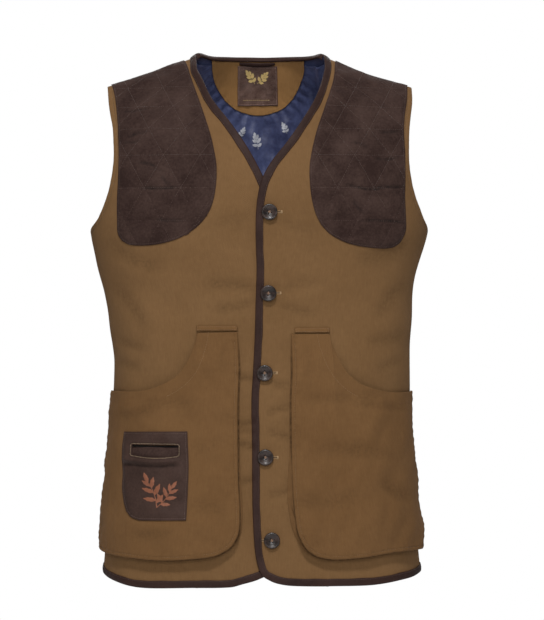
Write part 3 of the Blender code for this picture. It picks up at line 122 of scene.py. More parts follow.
@dataclass(frozen=True)
class Form:
    """The vest's own shape when it is filled out, on which every piece of cloth lies."""

    squareness: float = 0.04
    ridge_top: float = 0.0480
    ridge_slope: float = 0.348
    ridge_blend: float = 0.020
    sag_left: float = 0.0016
    sag_right: float = 0.0040
    neck_rise: float = 0.055
    neck_half: float = 0.091
    neck_point: float = 0.0855
    shoulder_tip: float = 0.2005
    shoulder_ease: float = 0.020
    shoulder_round: float = 0.015
    front_fall: float = -0.170
    back_fall: float = -0.140

    def section(self, height: Array) -> Array:
        """Return the centre, half width, front depth and back depth of the body at each height.

        Args:
            height: Heights of the body.

        Returns:
            Four arrays, in metres.
        """
        table = np.array(RINGS)
        heights, values = table[:, 0], table[:, 1:]
        count = len(heights)
        above = np.minimum(np.arange(count) + 1, count - 1)
        below = np.maximum(np.arange(count) - 1, 0)
        slopes = (values[above] - values[below]) / (heights[above] - heights[below])[:, None]
        height = np.clip(height, heights[0], heights[-1])
        row = np.clip(np.searchsorted(heights, height) - 1, 0, count - 2)
        gap = heights[row + 1] - heights[row]
        t = ((height - heights[row]) / gap)[..., None]
        gap = gap[..., None]
        result = (2 * t ** 3 - 3 * t ** 2 + 1) * values[row] + (t ** 3 - 2 * t ** 2 + t) * slopes[row] * gap
        result += (3 * t ** 2 - 2 * t ** 3) * values[row + 1] + (t ** 3 - t ** 2) * slopes[row + 1] * gap
        return np.moveaxis(result, -1, 0)

    def across(self, angle: Array) -> Array:
        """Return the share of the half width at an angle."""
        return (np.sin(angle) + self.squareness * np.sin(3 * angle)) / (1 - self.squareness)

    def deep(self, angle: Array) -> Array:
        """Return the share of the depth at an angle."""
        return (np.cos(angle) - self.squareness * np.cos(3 * angle)) / (1 - self.squareness)

    def angle_for(self, share: Array) -> Array:
        """Return the angle whose share of the half width is given."""
        angles = np.linspace(0.0, QUARTER, 6001)
        return np.copysign(np.interp(np.abs(share), self.across(angles), angles), share)

    def ridge(self, angle: Array) -> Array:
        """Return the height of the shoulder ridge at an angle.

        Args:
            angle: Angles round the body.

        Returns:
            The heights.
        """
        across = RINGS[-1].half * self.across(angle)
        neck = np.maximum(0.0, 1 - (across / self.neck_half) ** 2) ** 1.5
        along = np.clip((np.abs(across) - self.neck_point) / (self.shoulder_tip - self.neck_point), 0.0, 1.0)
        sag = np.where(across < 0, self.sag_left, self.sag_right) * np.sin(math.pi * along) ** 2
        fall = self.ridge_slope * np.hypot(across, self.ridge_blend)
        return self.ridge_top - fall + self.neck_rise * neck - sag

    def point(self, spots: Array) -> Array:
        """Return the form's points at spots.

        Args:
            spots: Spots of the vest's form.

        Returns:
            The points, one for each spot.
        """
        angle, reach = spots[..., 0], spots[..., 1]
        top = self.ridge(angle)
        height = top - (np.hypot(reach, self.shoulder_ease) - self.shoulder_ease)
        centre, half, front, back = self.section(height)
        in_front = reach >= 0
        depth = np.where(in_front, front, back) * self.deep(angle)
        plumb = np.where(in_front, self.front_fall, self.back_fall)
        rise = np.clip((height - plumb) / (top - plumb), 0.0, 1.0)
        left = 1 - rise ** 2
        round_off = 2 * self.shoulder_round
        share = np.sqrt(np.maximum(0.0, left * (left * depth + round_off) / (depth + round_off)))
        side = np.where(in_front, -1.0, 1.0)
        return np.stack([centre + half * self.across(angle), side * depth * share, height], axis=-1)

    def ways(self, spots: Array) -> tuple[Array, Array]:
        """Return how the points move with the angle and with the reach.

        Args:
            spots: Spots of the vest's form.

        Returns:
            The two ways, by radian and by metre.
        """
        turn, step = np.array([TURN_STEP, 0.0]), np.array([0.0, REACH_STEP])
        round_way = (self.point(spots + turn) - self.point(spots - turn)) / (2 * TURN_STEP)
        down_way = (self.point(spots + step) - self.point(spots - step)) / (2 * REACH_STEP)
        return round_way, down_way

    def normal(self, spots: Array) -> Array:
        """Return the outward normals at spots."""
        round_way, down_way = self.ways(spots)
        return unit(np.cross(down_way, round_way))

    def spot(self, places: Array, in_front: bool = True) -> Array:
        """Return the spots that the front view shows at places across and up.

        Args:
            places: Places across and up.
            in_front: Whether they lie on the front.

        Returns:
            The spots.
        """
        across, height = places[..., 0], places[..., 1]
        centre, half, _, _ = self.section(height)
        angle = self.angle_for(np.clip((across - centre) / half, -1.0, 1.0))
        fall = np.maximum(0.0, self.ridge(angle) - height)
        reach = np.sqrt((fall + self.shoulder_ease) ** 2 - self.shoulder_ease ** 2)
        return np.stack([angle, reach if in_front else -reach], axis=-1)

    def moved(self, spots: Array, way: Array) -> Array:
        """Return the spots that lie a short way off.

        Args:
            spots: Spots of the vest's form.
            way: The way to go from each, in metres.

        Returns:
            The new spots.
        """
        round_way, down_way = self.ways(spots)
        a, b, c = dot(round_way, round_way), dot(round_way, down_way), dot(down_way, down_way)
        p, q = dot(way, round_way), dot(way, down_way)
        flat = a * c - b * b
        return spots + np.stack([(c * p - b * q) / flat, (a * q - b * p) / flat], axis=-1)


def dot(first: Array, second: Array) -> Array:
    """Return the dot products of two arrays of vectors."""
    return (first * second).sum(axis=-1)


def unit(vectors: Array) -> Array:
    """Return vectors with the length of 1."""
    return vectors / np.maximum(np.linalg.norm(vectors, axis=-1, keepdims=True), 1e-12)


def bell(value: Array, centre: float, width: float) -> Array:
    """Return a soft rise, of 1 at the centre and 0.37 at the width from it."""
    return np.exp(-((value - centre) / width) ** 2)


FORM = Form()


# Folds, creases and the soft unevenness of cloth

class Fold(NamedTuple):
    """A soft trough (depth below 0) or ridge, from one place in the front view to another."""

    on_front: bool
    x_from: float
    z_from: float
    x_to: float
    z_to: float
    width: float
    depth: float
    bow: float = 0.0


FOLDS = (
    Fold(True, -0.185, -0.262, -0.095, -0.330, 0.055, -0.0020),
    Fold(True, -0.190, -0.305, -0.115, -0.380, 0.055, 0.0016),
    Fold(True, 0.190, -0.258, 0.100, -0.315, 0.055, -0.0022),
    Fold(True, 0.186, -0.315, 0.120, -0.395, 0.055, 0.0016),
    Fold(False, -0.190, -0.240, -0.060, -0.330, 0.070, -0.0034),
    Fold(False, 0.185, -0.250, 0.050, -0.350, 0.074, -0.0032),
    Fold(False, -0.175, -0.395, -0.030, -0.375, 0.066, -0.0026),
    Fold(False, 0.020, -0.400, 0.170, -0.415, 0.066, -0.0028),
    Fold(False, -0.075, -0.460, -0.088, -0.640, 0.080, 0.0040),
    Fold(False, 0.060, -0.470, 0.082, -0.640, 0.084, 0.0044),
    Fold(False, -0.010, -0.080, -0.020, -0.260, 0.080, 0.0020),
)

# Narrower creases, each a trough with a low ridge beside it.
CREASES = (
    # Beside the buttons, on the viewer's left and right.
    Fold(True, -0.006, -0.290, -0.066, -0.281, 0.0160, -0.0018, 0.002),
    Fold(True, -0.008, -0.304, -0.058, -0.314, 0.0130, -0.0015, -0.002),
    Fold(True, -0.010, -0.196, -0.060, -0.206, 0.0180, -0.0008, 0.002),
    Fold(True, 0.022, -0.199, 0.074, -0.214, 0.0180, -0.0008, 0.003),
    Fold(True, 0.024, -0.291, 0.080, -0.279, 0.0160, -0.0010, -0.003),
    Fold(True, 0.022, -0.306, 0.066, -0.320, 0.0140, -0.0013, 0.002),
    # In the strips between the bindings and the pockets.
    Fold(True, -0.009, -0.405, -0.030, -0.401, 0.0100, -0.0021, 0.001),
    Fold(True, -0.009, -0.458, -0.029, -0.463, 0.0090, -0.0024, -0.001),
    Fold(True, -0.010, -0.473, -0.026, -0.470, 0.0075, -0.0017, 0.001),
    Fold(True, -0.009, -0.492, -0.028, -0.487, 0.0100, -0.0025, 0.001),
    Fold(True, -0.010, -0.531, -0.027, -0.536, 0.0090, -0.0018, -0.001),
    Fold(True, 0.012, -0.408, 0.036, -0.413, 0.0110, -0.0018, 0.001),
    Fold(True, 0.010, -0.447, 0.035, -0.441, 0.0100, -0.0021, -0.001),
    Fold(True, 0.012, -0.472, 0.036, -0.479, 0.0110, -0.0019, 0.001),
    Fold(True, 0.010, -0.552, 0.037, -0.547, 0.0100, -0.0018, 0.001),
    # Drawn from the armholes and at the waist.
    Fold(True, -0.192, -0.232, -0.130, -0.262, 0.0220, -0.0015, 0.004),
    Fold(True, -0.190, -0.286, -0.150, -0.336, 0.0200, -0.0014, -0.003),
    Fold(True, -0.186, -0.352, -0.146, -0.366, 0.0150, -0.0014, 0.002),
    Fold(True, -0.184, -0.384, -0.158, -0.392, 0.0120, -0.0012, -0.001),
    Fold(True, 0.194, -0.226, 0.126, -0.252, 0.0240, -0.0015, -0.004),
    Fold(True, 0.188, -0.280, 0.152, -0.322, 0.0180, -0.0014, 0.003),
    Fold(True, 0.184, -0.348, 0.140, -0.354, 0.0160, -0.0014, -0.002),
    Fold(True, 0.183, -0.380, 0.150, -0.390, 0.0120, -0.0012, 0.001),
    # On the back.
    Fold(False, -0.180, -0.222, -0.096, -0.276, 0.0260, -0.0019, 0.005),
    Fold(False, -0.150, -0.310, -0.060, -0.352, 0.0200, -0.0015, -0.004),
    Fold(False, -0.176, -0.352, -0.118, -0.366, 0.0170, -0.0017, 0.003),
    Fold(False, 0.178, -0.232, 0.084, -0.290, 0.0280, -0.0019, -0.005),
    Fold(False, 0.140, -0.330, 0.064, -0.362, 0.0190, -0.0015, 0.003),
    Fold(False, 0.182, -0.372, 0.104, -0.382, 0.0180, -0.0017, -0.003),
    Fold(False, -0.120, -0.420, -0.128, -0.560, 0.0300, -0.0017, 0.006),
    Fold(False, 0.014, -0.470, 0.004, -0.640, 0.0340, -0.0020, -0.005),
    Fold(False, 0.132, -0.450, 0.142, -0.600, 0.0280, -0.0017, 0.005),
    Fold(False, -0.050, -0.060, -0.062, -0.180, 0.0260, -0.0014, 0.004),
    Fold(False, 0.048, -0.070, 0.058, -0.200, 0.0280, -0.0014, -0.004),
)


def lift_of(folds: Sequence[Fold], points: Array, in_front: Array, crease: bool) -> Array:
    """Return how far folds lift the cloth.

    Args:
        folds: The folds to add up.
        points: Points of the form.
        in_front: True for the points of the front.
        crease: Whether each fold has a low ridge beside its trough.

    Returns:
        The lift at each point, in metres.
    """
    height = np.zeros(points.shape[:-1])
    x, z = points[..., 0], points[..., 2]
    for fold in folds:
        way_x, way_z = fold.x_to - fold.x_from, fold.z_to - fold.z_from
        length = math.hypot(way_x, way_z)
        along = ((x - fold.x_from) * way_x + (z - fold.z_from) * way_z) / length ** 2
        aside = ((x - fold.x_from) * way_z - (z - fold.z_from) * way_x) / length
        aside = aside - fold.bow * np.clip(1 - (2 * along - 1) ** 2, 0.0, 1.0)
        ends = ease((along + 0.25) / 0.5) * ease((1.25 - along) / 0.5)
        away = aside / (0.5 * fold.width)
        shape = bell(away, 0.0, 1.0)
        if crease:
            shape = shape - CREASE_RIDGE * bell(away, CREASE_RIDGE_OFF, 1.0)
        height += np.where(in_front == fold.on_front, fold.depth * ends * shape, 0.0)
    return height


def creased(folds: Sequence[Fold], spots: Array) -> Array:
    """Return how far creases lift the cloth at spots."""
    return lift_of(folds, FORM.point(spots), spots[..., 1] >= 0, crease=True)


class Wave(NamedTuple):
    """A wave along a line: its height, how fast it turns a metre, and where it starts."""

    height: float
    rate: float
    start: float = 0.0


def waves(run: Array, *terms: Wave) -> Array:
    """Return the sum of waves at distances run."""
    return sum(term.height * np.sin(run * term.rate + term.start) for term in terms)


class Rumple:
    """The soft unevenness of a cloth: a sum of long, low waves in all directions."""

    def __init__(self, seed: int, longest: float, shortest: float, height: float, count: int = 16) -> None:
        """Draw the waves.

        Args:
            seed: Picks one set of waves.
            longest, shortest: The range of their lengths.
            height: Of the longest wave; shorter ones are lower in proportion.
            count: How many waves.
        """
        rng = np.random.default_rng(seed)
        lengths = np.geomspace(longest, shortest, count)
        self.waves = unit(rng.normal(size=(count, 3))) * (2 * math.pi / lengths)[:, None]
        self.phases = rng.uniform(0.0, 2 * math.pi, count)
        self.heights = height * lengths / longest

    def lift(self, points: Array) -> Array:
        """Return the lift at each point."""
        return (np.sin(points @ self.waves.T + self.phases) * self.heights).sum(axis=-1)


class Face(Enum):
    """The three panels of the vest."""

    OVER = "left"
    UNDER = "right"
    BACK = "back"

    @property
    def side(self) -> int:
        """1 for the front on the viewer's right, -1 on the left, 0 for the back."""
        return {"left": 1, "right": -1, "back": 0}[self.value]


@dataclass(frozen=True)
class Panel:
    """The smooth middle of one panel's cloth, and places above and below it."""

    face: Face
    overlap_lift: float = 0.0024
    overlap_reach: float = 0.034
    overlap_fade: float = 0.060
    under_reach: float = -0.004
    deepest: float = 0.0022
    rumple: Rumple = field(default_factory=lambda: Rumple(4, 0.110, 0.032, 0.00030))

    def lift(self, points: Array) -> Array:
        """Return how far the fronts rise over each other at the buttons.

        Args:
            points: Points of the form.

        Returns:
            The lift at each point, in metres.
        """
        if self.face is Face.OVER:
            return self.overlap_lift * (1 - ease((points[..., 0] - self.overlap_reach) / self.overlap_fade))
        if self.face is Face.UNDER:
            return -self.overlap_lift * (1 - ease((self.under_reach - points[..., 0]) / self.overlap_fade))
        return np.zeros(points.shape[:-1])

    def place(self, spots: Array, out: Array | float) -> Array:
        """Return points at a distance out from the middle of the cloth.

        Args:
            spots: Spots of the vest's form.
            out: The distance, in metres.

        Returns:
            The points, one for each spot.
        """
        points = FORM.point(spots)
        in_front = spots[..., 1] >= 0
        raised = out + self.lift(points) + self.rumple.lift(points)
        raised = raised + lift_of(FOLDS, points, in_front, crease=False)
        raised = raised + lift_of(CREASES, points, in_front, crease=True)
        return points + FORM.normal(spots) * raised[..., None]

    def hollows(self, spots: Array) -> Array:
        """Return how deep the creases are at spots, from 0 to 1: the strength of their painted shade."""
        return np.clip(-creased(CREASES, spots) / self.deepest, 0.0, 1.0)

    def above(self, spots: Array, out: Array | float) -> Array:
        """Return points at a distance above the outer face."""
        return self.place(spots, OUT + out)


# Lines and grids of spots

class Knot(NamedTuple):
    """A point that an outline passes through, in the front view."""

    across: float
    height: float


def span(first: Array, second: Array) -> Array:
    """Return about how far apart spots lie on the cloth."""
    return np.hypot((second[..., 0] - first[..., 0]) * METRES_PER_RADIAN, second[..., 1] - first[..., 1])


class Line:
    """A line of spots, each with its share of the way along."""

    def __init__(self, spots: Array, shares: Array | None = None) -> None:
        """Keep the spots, shared out by their distance unless shares are given.

        Args:
            spots: The spots, in order.
            shares: The share of the way along at each.
        """
        self.spots = np.asarray(spots, dtype=float)
        if shares is None:
            lengths = np.concatenate([[0.0], np.cumsum(span(self.spots[:-1], self.spots[1:]))])
            shares = lengths / lengths[-1]
        self.shares = shares

    def at(self, shares: Array) -> Array:
        """Return the spots at the given shares."""
        return np.stack([np.interp(shares, self.shares, self.spots[:, axis]) for axis in (0, 1)], axis=-1)

    def turned(self) -> "Line":
        """Return the line run the other way."""
        return Line(self.spots[::-1], 1 - self.shares[::-1])

    def fine(self, cells: int) -> Array:
        """Return cells + 1 evenly spaced spots."""
        return self.at(np.linspace(0.0, 1.0, cells + 1))

    @staticmethod
    def joined(first: "Line", second: "Line", share: float | None = None) -> "Line":
        """Return two lines as one, the first taking a share of it, or as much as its length.

        Args:
            first, second: The lines, where one ends and the next starts at the same spot.
            share: The first line's share, if not by length.

        Returns:
            The joined line.
        """
        spots = np.vstack([first.spots, second.spots[1:]])
        if share is None:
            return Line(spots)
        return Line(spots, np.concatenate([first.shares * share, share + second.shares[1:] * (1 - share)]))


def smooth(knots: Array) -> Line:
    """Return a smooth line through spots, level between two spots of one height.

    Args:
        knots: The spots that the line passes through, all on the front or all on the back.

    Returns:
        The line.
    """
    knots = np.array(knots, dtype=float)
    side = math.copysign(1.0, knots[len(knots) // 2, 1])
    knots[:, 1] = side * knots[:, 1] - FORM.ridge(knots[:, 0])
    t = np.arange(KNOT_STEPS)[:, None] / KNOT_STEPS
    pieces = []
    for row in range(len(knots) - 1):
        near, far = knots[row], knots[row + 1]
        inner = span(near, far)
        leaving = arriving = far - near
        if row:
            leaving = (far - knots[row - 1]) * inner / (inner + span(knots[row - 1], near))
        if row + 2 < len(knots):
            arriving = (knots[row + 2] - near) * inner / (inner + span(far, knots[row + 2]))
        curve = (2 * t ** 3 - 3 * t ** 2 + 1) * near + (t ** 3 - 2 * t ** 2 + t) * leaving
        pieces.append(curve + (3 * t ** 2 - 2 * t ** 3) * far + (t ** 3 - t ** 2) * arriving)
    fine = np.vstack(pieces + [knots[-1:]])
    fine[:, 1] = side * (fine[:, 1] + FORM.ridge(fine[:, 0]))
    return Line(fine)


def front(*knots: Knot) -> Array:
    """Return the spots of knots on the front."""
    return FORM.spot(np.array(knots))


def back(*knots: Knot) -> Array:
    """Return the spots of knots on the back."""
    return FORM.spot(np.array(knots), in_front=False)


def fill(lower: Line, upper: Line, left: Line, right: Line, across: Array, up: Array) -> Array:
    """Fill the space between four lines with a grid of spots.

    Args:
        lower, upper: The lines from left to right.
        left, right: The lines from bottom to top.
        across, up: The shares of the grid's columns and rows.

    Returns:
        The spots, by row and column.
    """
    low, high = lower.at(across)[None], upper.at(across)[None]
    first, last = left.at(up)[:, None], right.at(up)[:, None]
    u, v = across[None, :, None], up[:, None, None]
    ruled = (1 - u) * first + u * last + (1 - v) * low + v * high
    corners = (1 - u) * (1 - v) * low[:, :1] + u * (1 - v) * low[:, -1:]
    corners = corners + (1 - u) * v * high[:, :1] + u * v * high[:, -1:]
    return ruled - corners


def graded(cells: int, closeness: float = 0.55) -> Array:
    """Return shares from 0 to 1 that lie closer together at both ends."""
    t = np.linspace(0.0, 1.0, cells + 1)
    return (1 - closeness) * t + closeness * 0.5 * (1 - np.cos(math.pi * t))


def along_path(points: Array) -> Array:
    """Return the distance run at each point of a path."""
    return np.concatenate([[0.0], np.cumsum(np.linalg.norm(np.diff(points, axis=0), axis=-1))])


def nearest(points: Array, path: Array) -> tuple[Array, Array]:
    """Return each point's distance from a path, and the distance run to the place beside it.

    Args:
        points: The points to measure.
        path: The points of the path.

    Returns:
        The distances and the runs, in metres.
    """
    flat = points.reshape(-1, 3)
    runs = along_path(path)
    distances, alongs = np.empty(len(flat)), np.empty(len(flat))
    for start in range(0, len(flat), BLOCK):
        rows = slice(start, start + BLOCK)
        part = flat[rows]
        squares = (part ** 2).sum(1)[:, None] - 2 * part @ path.T + (path ** 2).sum(1)[None]
        best = squares.argmin(axis=1)
        distances[rows] = np.sqrt(np.maximum(squares[np.arange(len(part)), best], 0.0))
        alongs[rows] = runs[best]
    return distances.reshape(points.shape[:-1]), alongs.reshape(points.shape[:-1])


def inside(spots: Array, outline: Array) -> Array:
    """Return which spots lie inside a closed outline of spots.

    Args:
        spots: The spots to test.
        outline: The outline, not closed by its first spot again.

    Returns:
        True for each spot inside.
    """
    x, y = spots[..., 0][..., None], spots[..., 1][..., None]
    ax, ay = outline[:, 0], outline[:, 1]
    bx, by = np.roll(ax, -1), np.roll(ay, -1)
    rise = np.where(by == ay, 1e-12, by - ay)
    crossed = ((ay > y) != (by > y)) & (x < (bx - ax) * (y - ay) / rise + ax)
    return crossed.sum(axis=-1) % 2 == 1


SEAM_WAVES = (Wave(1.7, 61.0), Wave(0.9, 143.0))    # how unevenly the puckers follow each other


@dataclass(frozen=True)
class Seam:
    """How a line of sewing presses the cloth in and puckers it on both sides."""

    inset: float
    depth: float
    width: float
    pucker: float
    pitch: float
    reach: float = 0.006

    def lift(self, distance: Array, along: Array) -> Array:
        """Return the lift at a distance from the edge and along it.

        Args:
            distance, along: Metres from the edge, and along it.

        Returns:
            The lift, in metres.
        """
        off = distance - self.inset
        phase = 2 * math.pi * along / self.pitch
        for wave in SEAM_WAVES:
            phase = phase + waves(along, wave)
        puckered = self.pucker * np.sin(phase) * bell(off, 0.0, self.reach)
        return puckered - self.depth * bell(off, 0.0, self.width)


# Node trees

class Nodes:
    """A node tree that is being built."""

    def __init__(self, tree: Tree) -> None:
        """Keep the tree."""
        self.tree = tree

    def add(self, kind: str, inputs: dict[str, Value] | None = None, **settings: object) -> Node:
        """Add a node.

        Args:
            kind: The node's type, without its ShaderNode prefix.
            inputs: Its inputs' values, or the sockets that feed them.
            **settings: Its own settings.

        Returns:
            The new node.
        """
        node = self.tree.nodes.new(f"ShaderNode{kind}")
        for name, value in settings.items():
            setattr(node, name, value)
        for name, value in (inputs or {}).items():
            self.feed(node.inputs[name], value)
        return node

    def feed(self, socket: Output, value: Value) -> None:
        """Give a socket a value, or link it to another socket.

        Args:
            socket: The input to feed.
            value: Its value, or the socket to link.
        """
        if isinstance(value, Output):
            self.tree.links.new(value, socket)
        else:
            socket.default_value = value

    def math(self, operation: str, first: Value, second: Value, third: Value = 0.0) -> Output:
        """Return the result of a calculation.

        Args:
            operation: What is worked out.
            first, second, third: The values it is worked out from.

        Returns:
            The result's socket.
        """
        node = self.add("Math", operation=operation)
        for socket, value in zip(node.inputs, (first, second, third)):
            self.feed(socket, value)
        return node.outputs[0]

    def mixed(self, share: Value, first: Value, second: Value, blend: str = "MIX") -> Output:
        """Return two colours mixed.

        Args:
            share: How much of the second colour.
            first, second: The colours.
            blend: How they mix.

        Returns:
            The mixed colour's socket.
        """
        node = self.add("Mix", data_type="RGBA", blend_type=blend)
        for index, value in ((0, share), (6, first), (7, second)):
            self.feed(node.inputs[index], value)
        return node.outputs[2]

    def spread(self, value: Value, low: float, high: float, to_low: float, to_high: float) -> Output:
        """Return a value moved from one range to another."""
        names = ("Value", "From Min", "From Max", "To Min", "To Max")
        return self.add("MapRange", dict(zip(names, (value, low, high, to_low, to_high)))).outputs[0]

    def noise(self, place: Value, size: Value, detail: float = 3.0, roughness: float = 0.5) -> Output:
        """Return a noise of a number of blotches a metre."""
        values = {"Vector": place, "Scale": size, "Detail": detail, "Roughness": roughness}
        return self.add("TexNoise", values).outputs[0]

    def grey(self, tone: Output) -> Output:
        """Return the grey of a tone."""
        return self.add("CombineColor", {"Red": tone, "Green": tone, "Blue": tone}).outputs[0]

    def group(self, tree: Tree, **inputs: Value) -> Node:
        """Place a node group, with its inputs given by name.

        Args:
            tree: The group.
            **inputs: Values or sockets, by the group's input.

        Returns:
            The group's node.
        """
        node = self.add("Group", node_tree=tree)
        for name, value in inputs.items():
            self.feed(node.inputs[name], value)
        return node


class Socket(NamedTuple):
    """An input or output of a node group."""

    name: str
    kind: str
    value: float | tuple[float, ...] | None = None


WHITE = (1.0, 1.0, 1.0, 1.0)


def node_group(
    name: str, inputs: Sequence[Socket], outputs: Sequence[Socket],
) -> tuple[Nodes, Sockets, Sockets]:
    """Start a node group.

    Args:
        name: The group's name.
        inputs, outputs: Its sockets, of kind Float, Color or Vector.

    Returns:
        The nodes, what the group is given and what it gives back, both by name.
    """
    tree = bpy.data.node_groups.new(name, "ShaderNodeTree")
    for way, sockets in (("INPUT", inputs), ("OUTPUT", outputs)):
        for entry in sockets:
            kind = f"NodeSocket{entry.kind}"
            socket = tree.interface.new_socket(name=entry.name, in_out=way, socket_type=kind)
            if entry.value is not None:
                socket.default_value = entry.value
    given, result = tree.nodes.new("NodeGroupInput"), tree.nodes.new("NodeGroupOutput")
    return Nodes(tree), given.outputs, result.inputs


class Effects:
    """The effects that several finishes share, each a node group."""

    def __init__(self) -> None:
        """Build the groups."""
        self.mottle = self._mottle()
        self.weave = self._weave()
        self.grain = self._grain()
        self.marked = self._marked()

    def _mottle(self) -> Tree:
        """Two colours in soft blotches, with finer ones inside them.

        Returns:
            The group.
        """
        sockets = (
            Socket("Place", "Vector"), Socket("Size", "Float", 12.0), Socket("Contrast", "Float", 1.0),
            Socket("Dark", "Color", WHITE), Socket("Light", "Color", WHITE),
        )
        results = (Socket("Colour", "Color"), Socket("Mask", "Float"))
        nodes, given, result = node_group("mottled_colour", sockets, results)
        broad = nodes.noise(given["Place"], given["Size"], 4.0, 0.55)
        fine = nodes.noise(given["Place"], nodes.math("MULTIPLY", given["Size"], 14.0), 2.0, 0.6)
        both = nodes.math("MULTIPLY_ADD", fine, 0.35, nodes.math("MULTIPLY", broad, 0.65))
        steep = nodes.math("MULTIPLY", given["Contrast"], 3.2)
        centred = nodes.math("MULTIPLY", nodes.math("SUBTRACT", both, 0.5), steep)
        mask = nodes.add("Clamp", {"Value": nodes.math("ADD", centred, 0.5)}).outputs[0]
        nodes.feed(result["Mask"], mask)
        nodes.feed(result["Colour"], nodes.mixed(mask, given["Dark"], given["Light"]))
        return nodes.tree

    def _weave(self) -> Tree:
        """The height of a twill's ribs and brushed nap, and faint streaks along the warp.

        Returns:
            The group.
        """
        sockets = (Socket("Cloth", "Vector"), Socket("Ribs", "Float", 900.0), Socket("Nap", "Float", 0.5))
        results = (Socket("Height", "Float"), Socket("Streaks", "Float"))
        nodes, given, result = node_group("woven_cloth", sockets, results)
        values = {"Vector": given["Cloth"], "Scale": given["Ribs"], "Distortion": 0.6, "Detail": 1.0}
        ribs = nodes.add("TexWave", values, wave_type="BANDS", bands_direction="DIAGONAL").outputs[1]
        nap = nodes.noise(given["Cloth"], nodes.math("MULTIPLY", given["Ribs"], 1.6), 3.0, 0.7)
        napped = nodes.math("MULTIPLY", nap, given["Nap"])
        nodes.feed(result["Height"], nodes.math("MULTIPLY_ADD", ribs, 0.5, napped))
        drawn = nodes.add("Mapping", {"Vector": given["Cloth"], "Scale": (9.0, 0.7, 1.0)}).outputs[0]
        nodes.feed(result["Streaks"], nodes.noise(drawn, 90.0, 3.0, 0.65))
        return nodes.tree

    def _grain(self) -> Tree:
        """The height of leather's pebbles and pores.

        Returns:
            The group.
        """
        sockets = (
            Socket("Place", "Vector"), Socket("Pebbles", "Float", 900.0), Socket("Pores", "Float", 0.3),
        )
        nodes, given, result = node_group("leather_grain", sockets, (Socket("Height", "Float"),))
        values = {"Vector": given["Place"], "Scale": given["Pebbles"], "Smoothness": 0.6}
        pebbles = nodes.add("TexVoronoi", values, feature="SMOOTH_F1").outputs["Distance"]
        fine = nodes.noise(given["Place"], nodes.math("MULTIPLY", given["Pebbles"], 2.4), 3.0, 0.6)
        pores = nodes.math("MULTIPLY", fine, given["Pores"])
        nodes.feed(result["Height"], nodes.math("SUBTRACT", pores, pebbles))
        return nodes.tree

    def _marked(self) -> Tree:
        """A colour that turns to another where the piece's own Mark says so, unevenly.

        Returns:
            The group.
        """
        sockets = (
            Socket("Place", "Vector"), Socket("Mark", "Float"), Socket("Amount", "Float", 0.5),
            Socket("Colour", "Color", WHITE), Socket("Marked", "Color", WHITE),
        )
        nodes, given, result = node_group("marked_colour", sockets, (Socket("Colour", "Color"),))
        broken = nodes.spread(nodes.noise(given["Place"], 240.0, 4.0, 0.65), 0.35, 0.65, 0.25, 1.0)
        uneven = nodes.math("MULTIPLY", given["Mark"], broken)
        share = nodes.math("MULTIPLY", uneven, given["Amount"])
        nodes.feed(result["Colour"], nodes.mixed(share, given["Colour"], given["Marked"]))
        return nodes.tree


def screen(red: int, green: int, blue: int) -> Colour:
    """Return the linear colour of one given as a screen shows it."""
    values = (red, green, blue)
    return tuple(((value / 255 + 0.055) / 1.055) ** 2.4 if value > 10 else value / 3295 for value in values)


def rgba(colour: Colour, share: float = 1.0) -> tuple[float, ...]:
    """Return a colour as a socket takes it, brightened or darkened by a share."""
    return (*(min(1.0, share * value) for value in colour), 1.0)


class Wet(NamedTuple):
    """A material's nodes while its shader is fed, and the places that its patterns read."""

    nodes: Nodes
    shader: Node
    place: Output
    cloth: Output
    mark: Output
    effects: Effects

    def mottled(self, dark: Sequence[float], light: Sequence[float], size: float, contrast: float,
                place: Output | None = None) -> tuple[Output, Output]:
        """Lay two colours in soft blotches.

        Args:
            dark, light: The colours, as sockets take them.
            size: How many blotches a metre.
            contrast: How sharply the colours part.
            place: Where the pattern is read, if not on the object.

        Returns:
            The colour, and the share of the light one in it.
        """
        where = self.place if place is None else place
        blotches = self.nodes.group(self.effects.mottle, Place=where, Size=size, Contrast=contrast, Dark=dark,
                                    Light=light)
        return blotches.outputs["Colour"], blotches.outputs["Mask"]

    def marked(self, colour: Output, marked: Sequence[float], amount: float) -> Output:
        """Return a colour that turns to another where the piece is marked."""
        return self.nodes.group(self.effects.marked, Place=self.place, Mark=self.mark, Amount=amount,
                                Colour=colour, Marked=marked).outputs[0]

    def feed(self, colour: Output, roughness: Output, height: Output, depth: float) -> None:
        """Feed the shader.

        Args:
            colour, roughness: What its sockets of those names get.
            height: What its normal is made from.
            depth: From the lowest height to the highest, in metres.
        """
        bump = self.nodes.add("Bump", {"Height": height, "Distance": depth})
        for name, value in (("Base Color", colour), ("Roughness", roughness), ("Normal", bump.outputs[0])):
            self.nodes.feed(self.shader.inputs[name], value)


def start_material(name: str, effects: Effects | None,
                   **sockets: float | tuple[float, ...]) -> tuple[Material, Wet]:
    """Start a material with constants on its shader's own sockets.

    Args:
        name: The material's name.
        effects: The effects that it shares with others.
        **sockets: Values by socket, with _ for a space.

    Returns:
        The material and its nodes.
    """
    material = bpy.data.materials.new(name)
    material.use_nodes = True
    nodes = Nodes(material.node_tree)
    shader = material.node_tree.nodes["Principled BSDF"]
    for socket, value in sockets.items():
        shader.inputs[socket.replace("_", " ")].default_value = value
    where = nodes.add("TexCoord")
    mark = nodes.add("Attribute", attribute_name="Mark").outputs["Fac"]
    return material, Wet(nodes, shader, where.outputs["Object"], where.outputs["UV"], mark, effects)


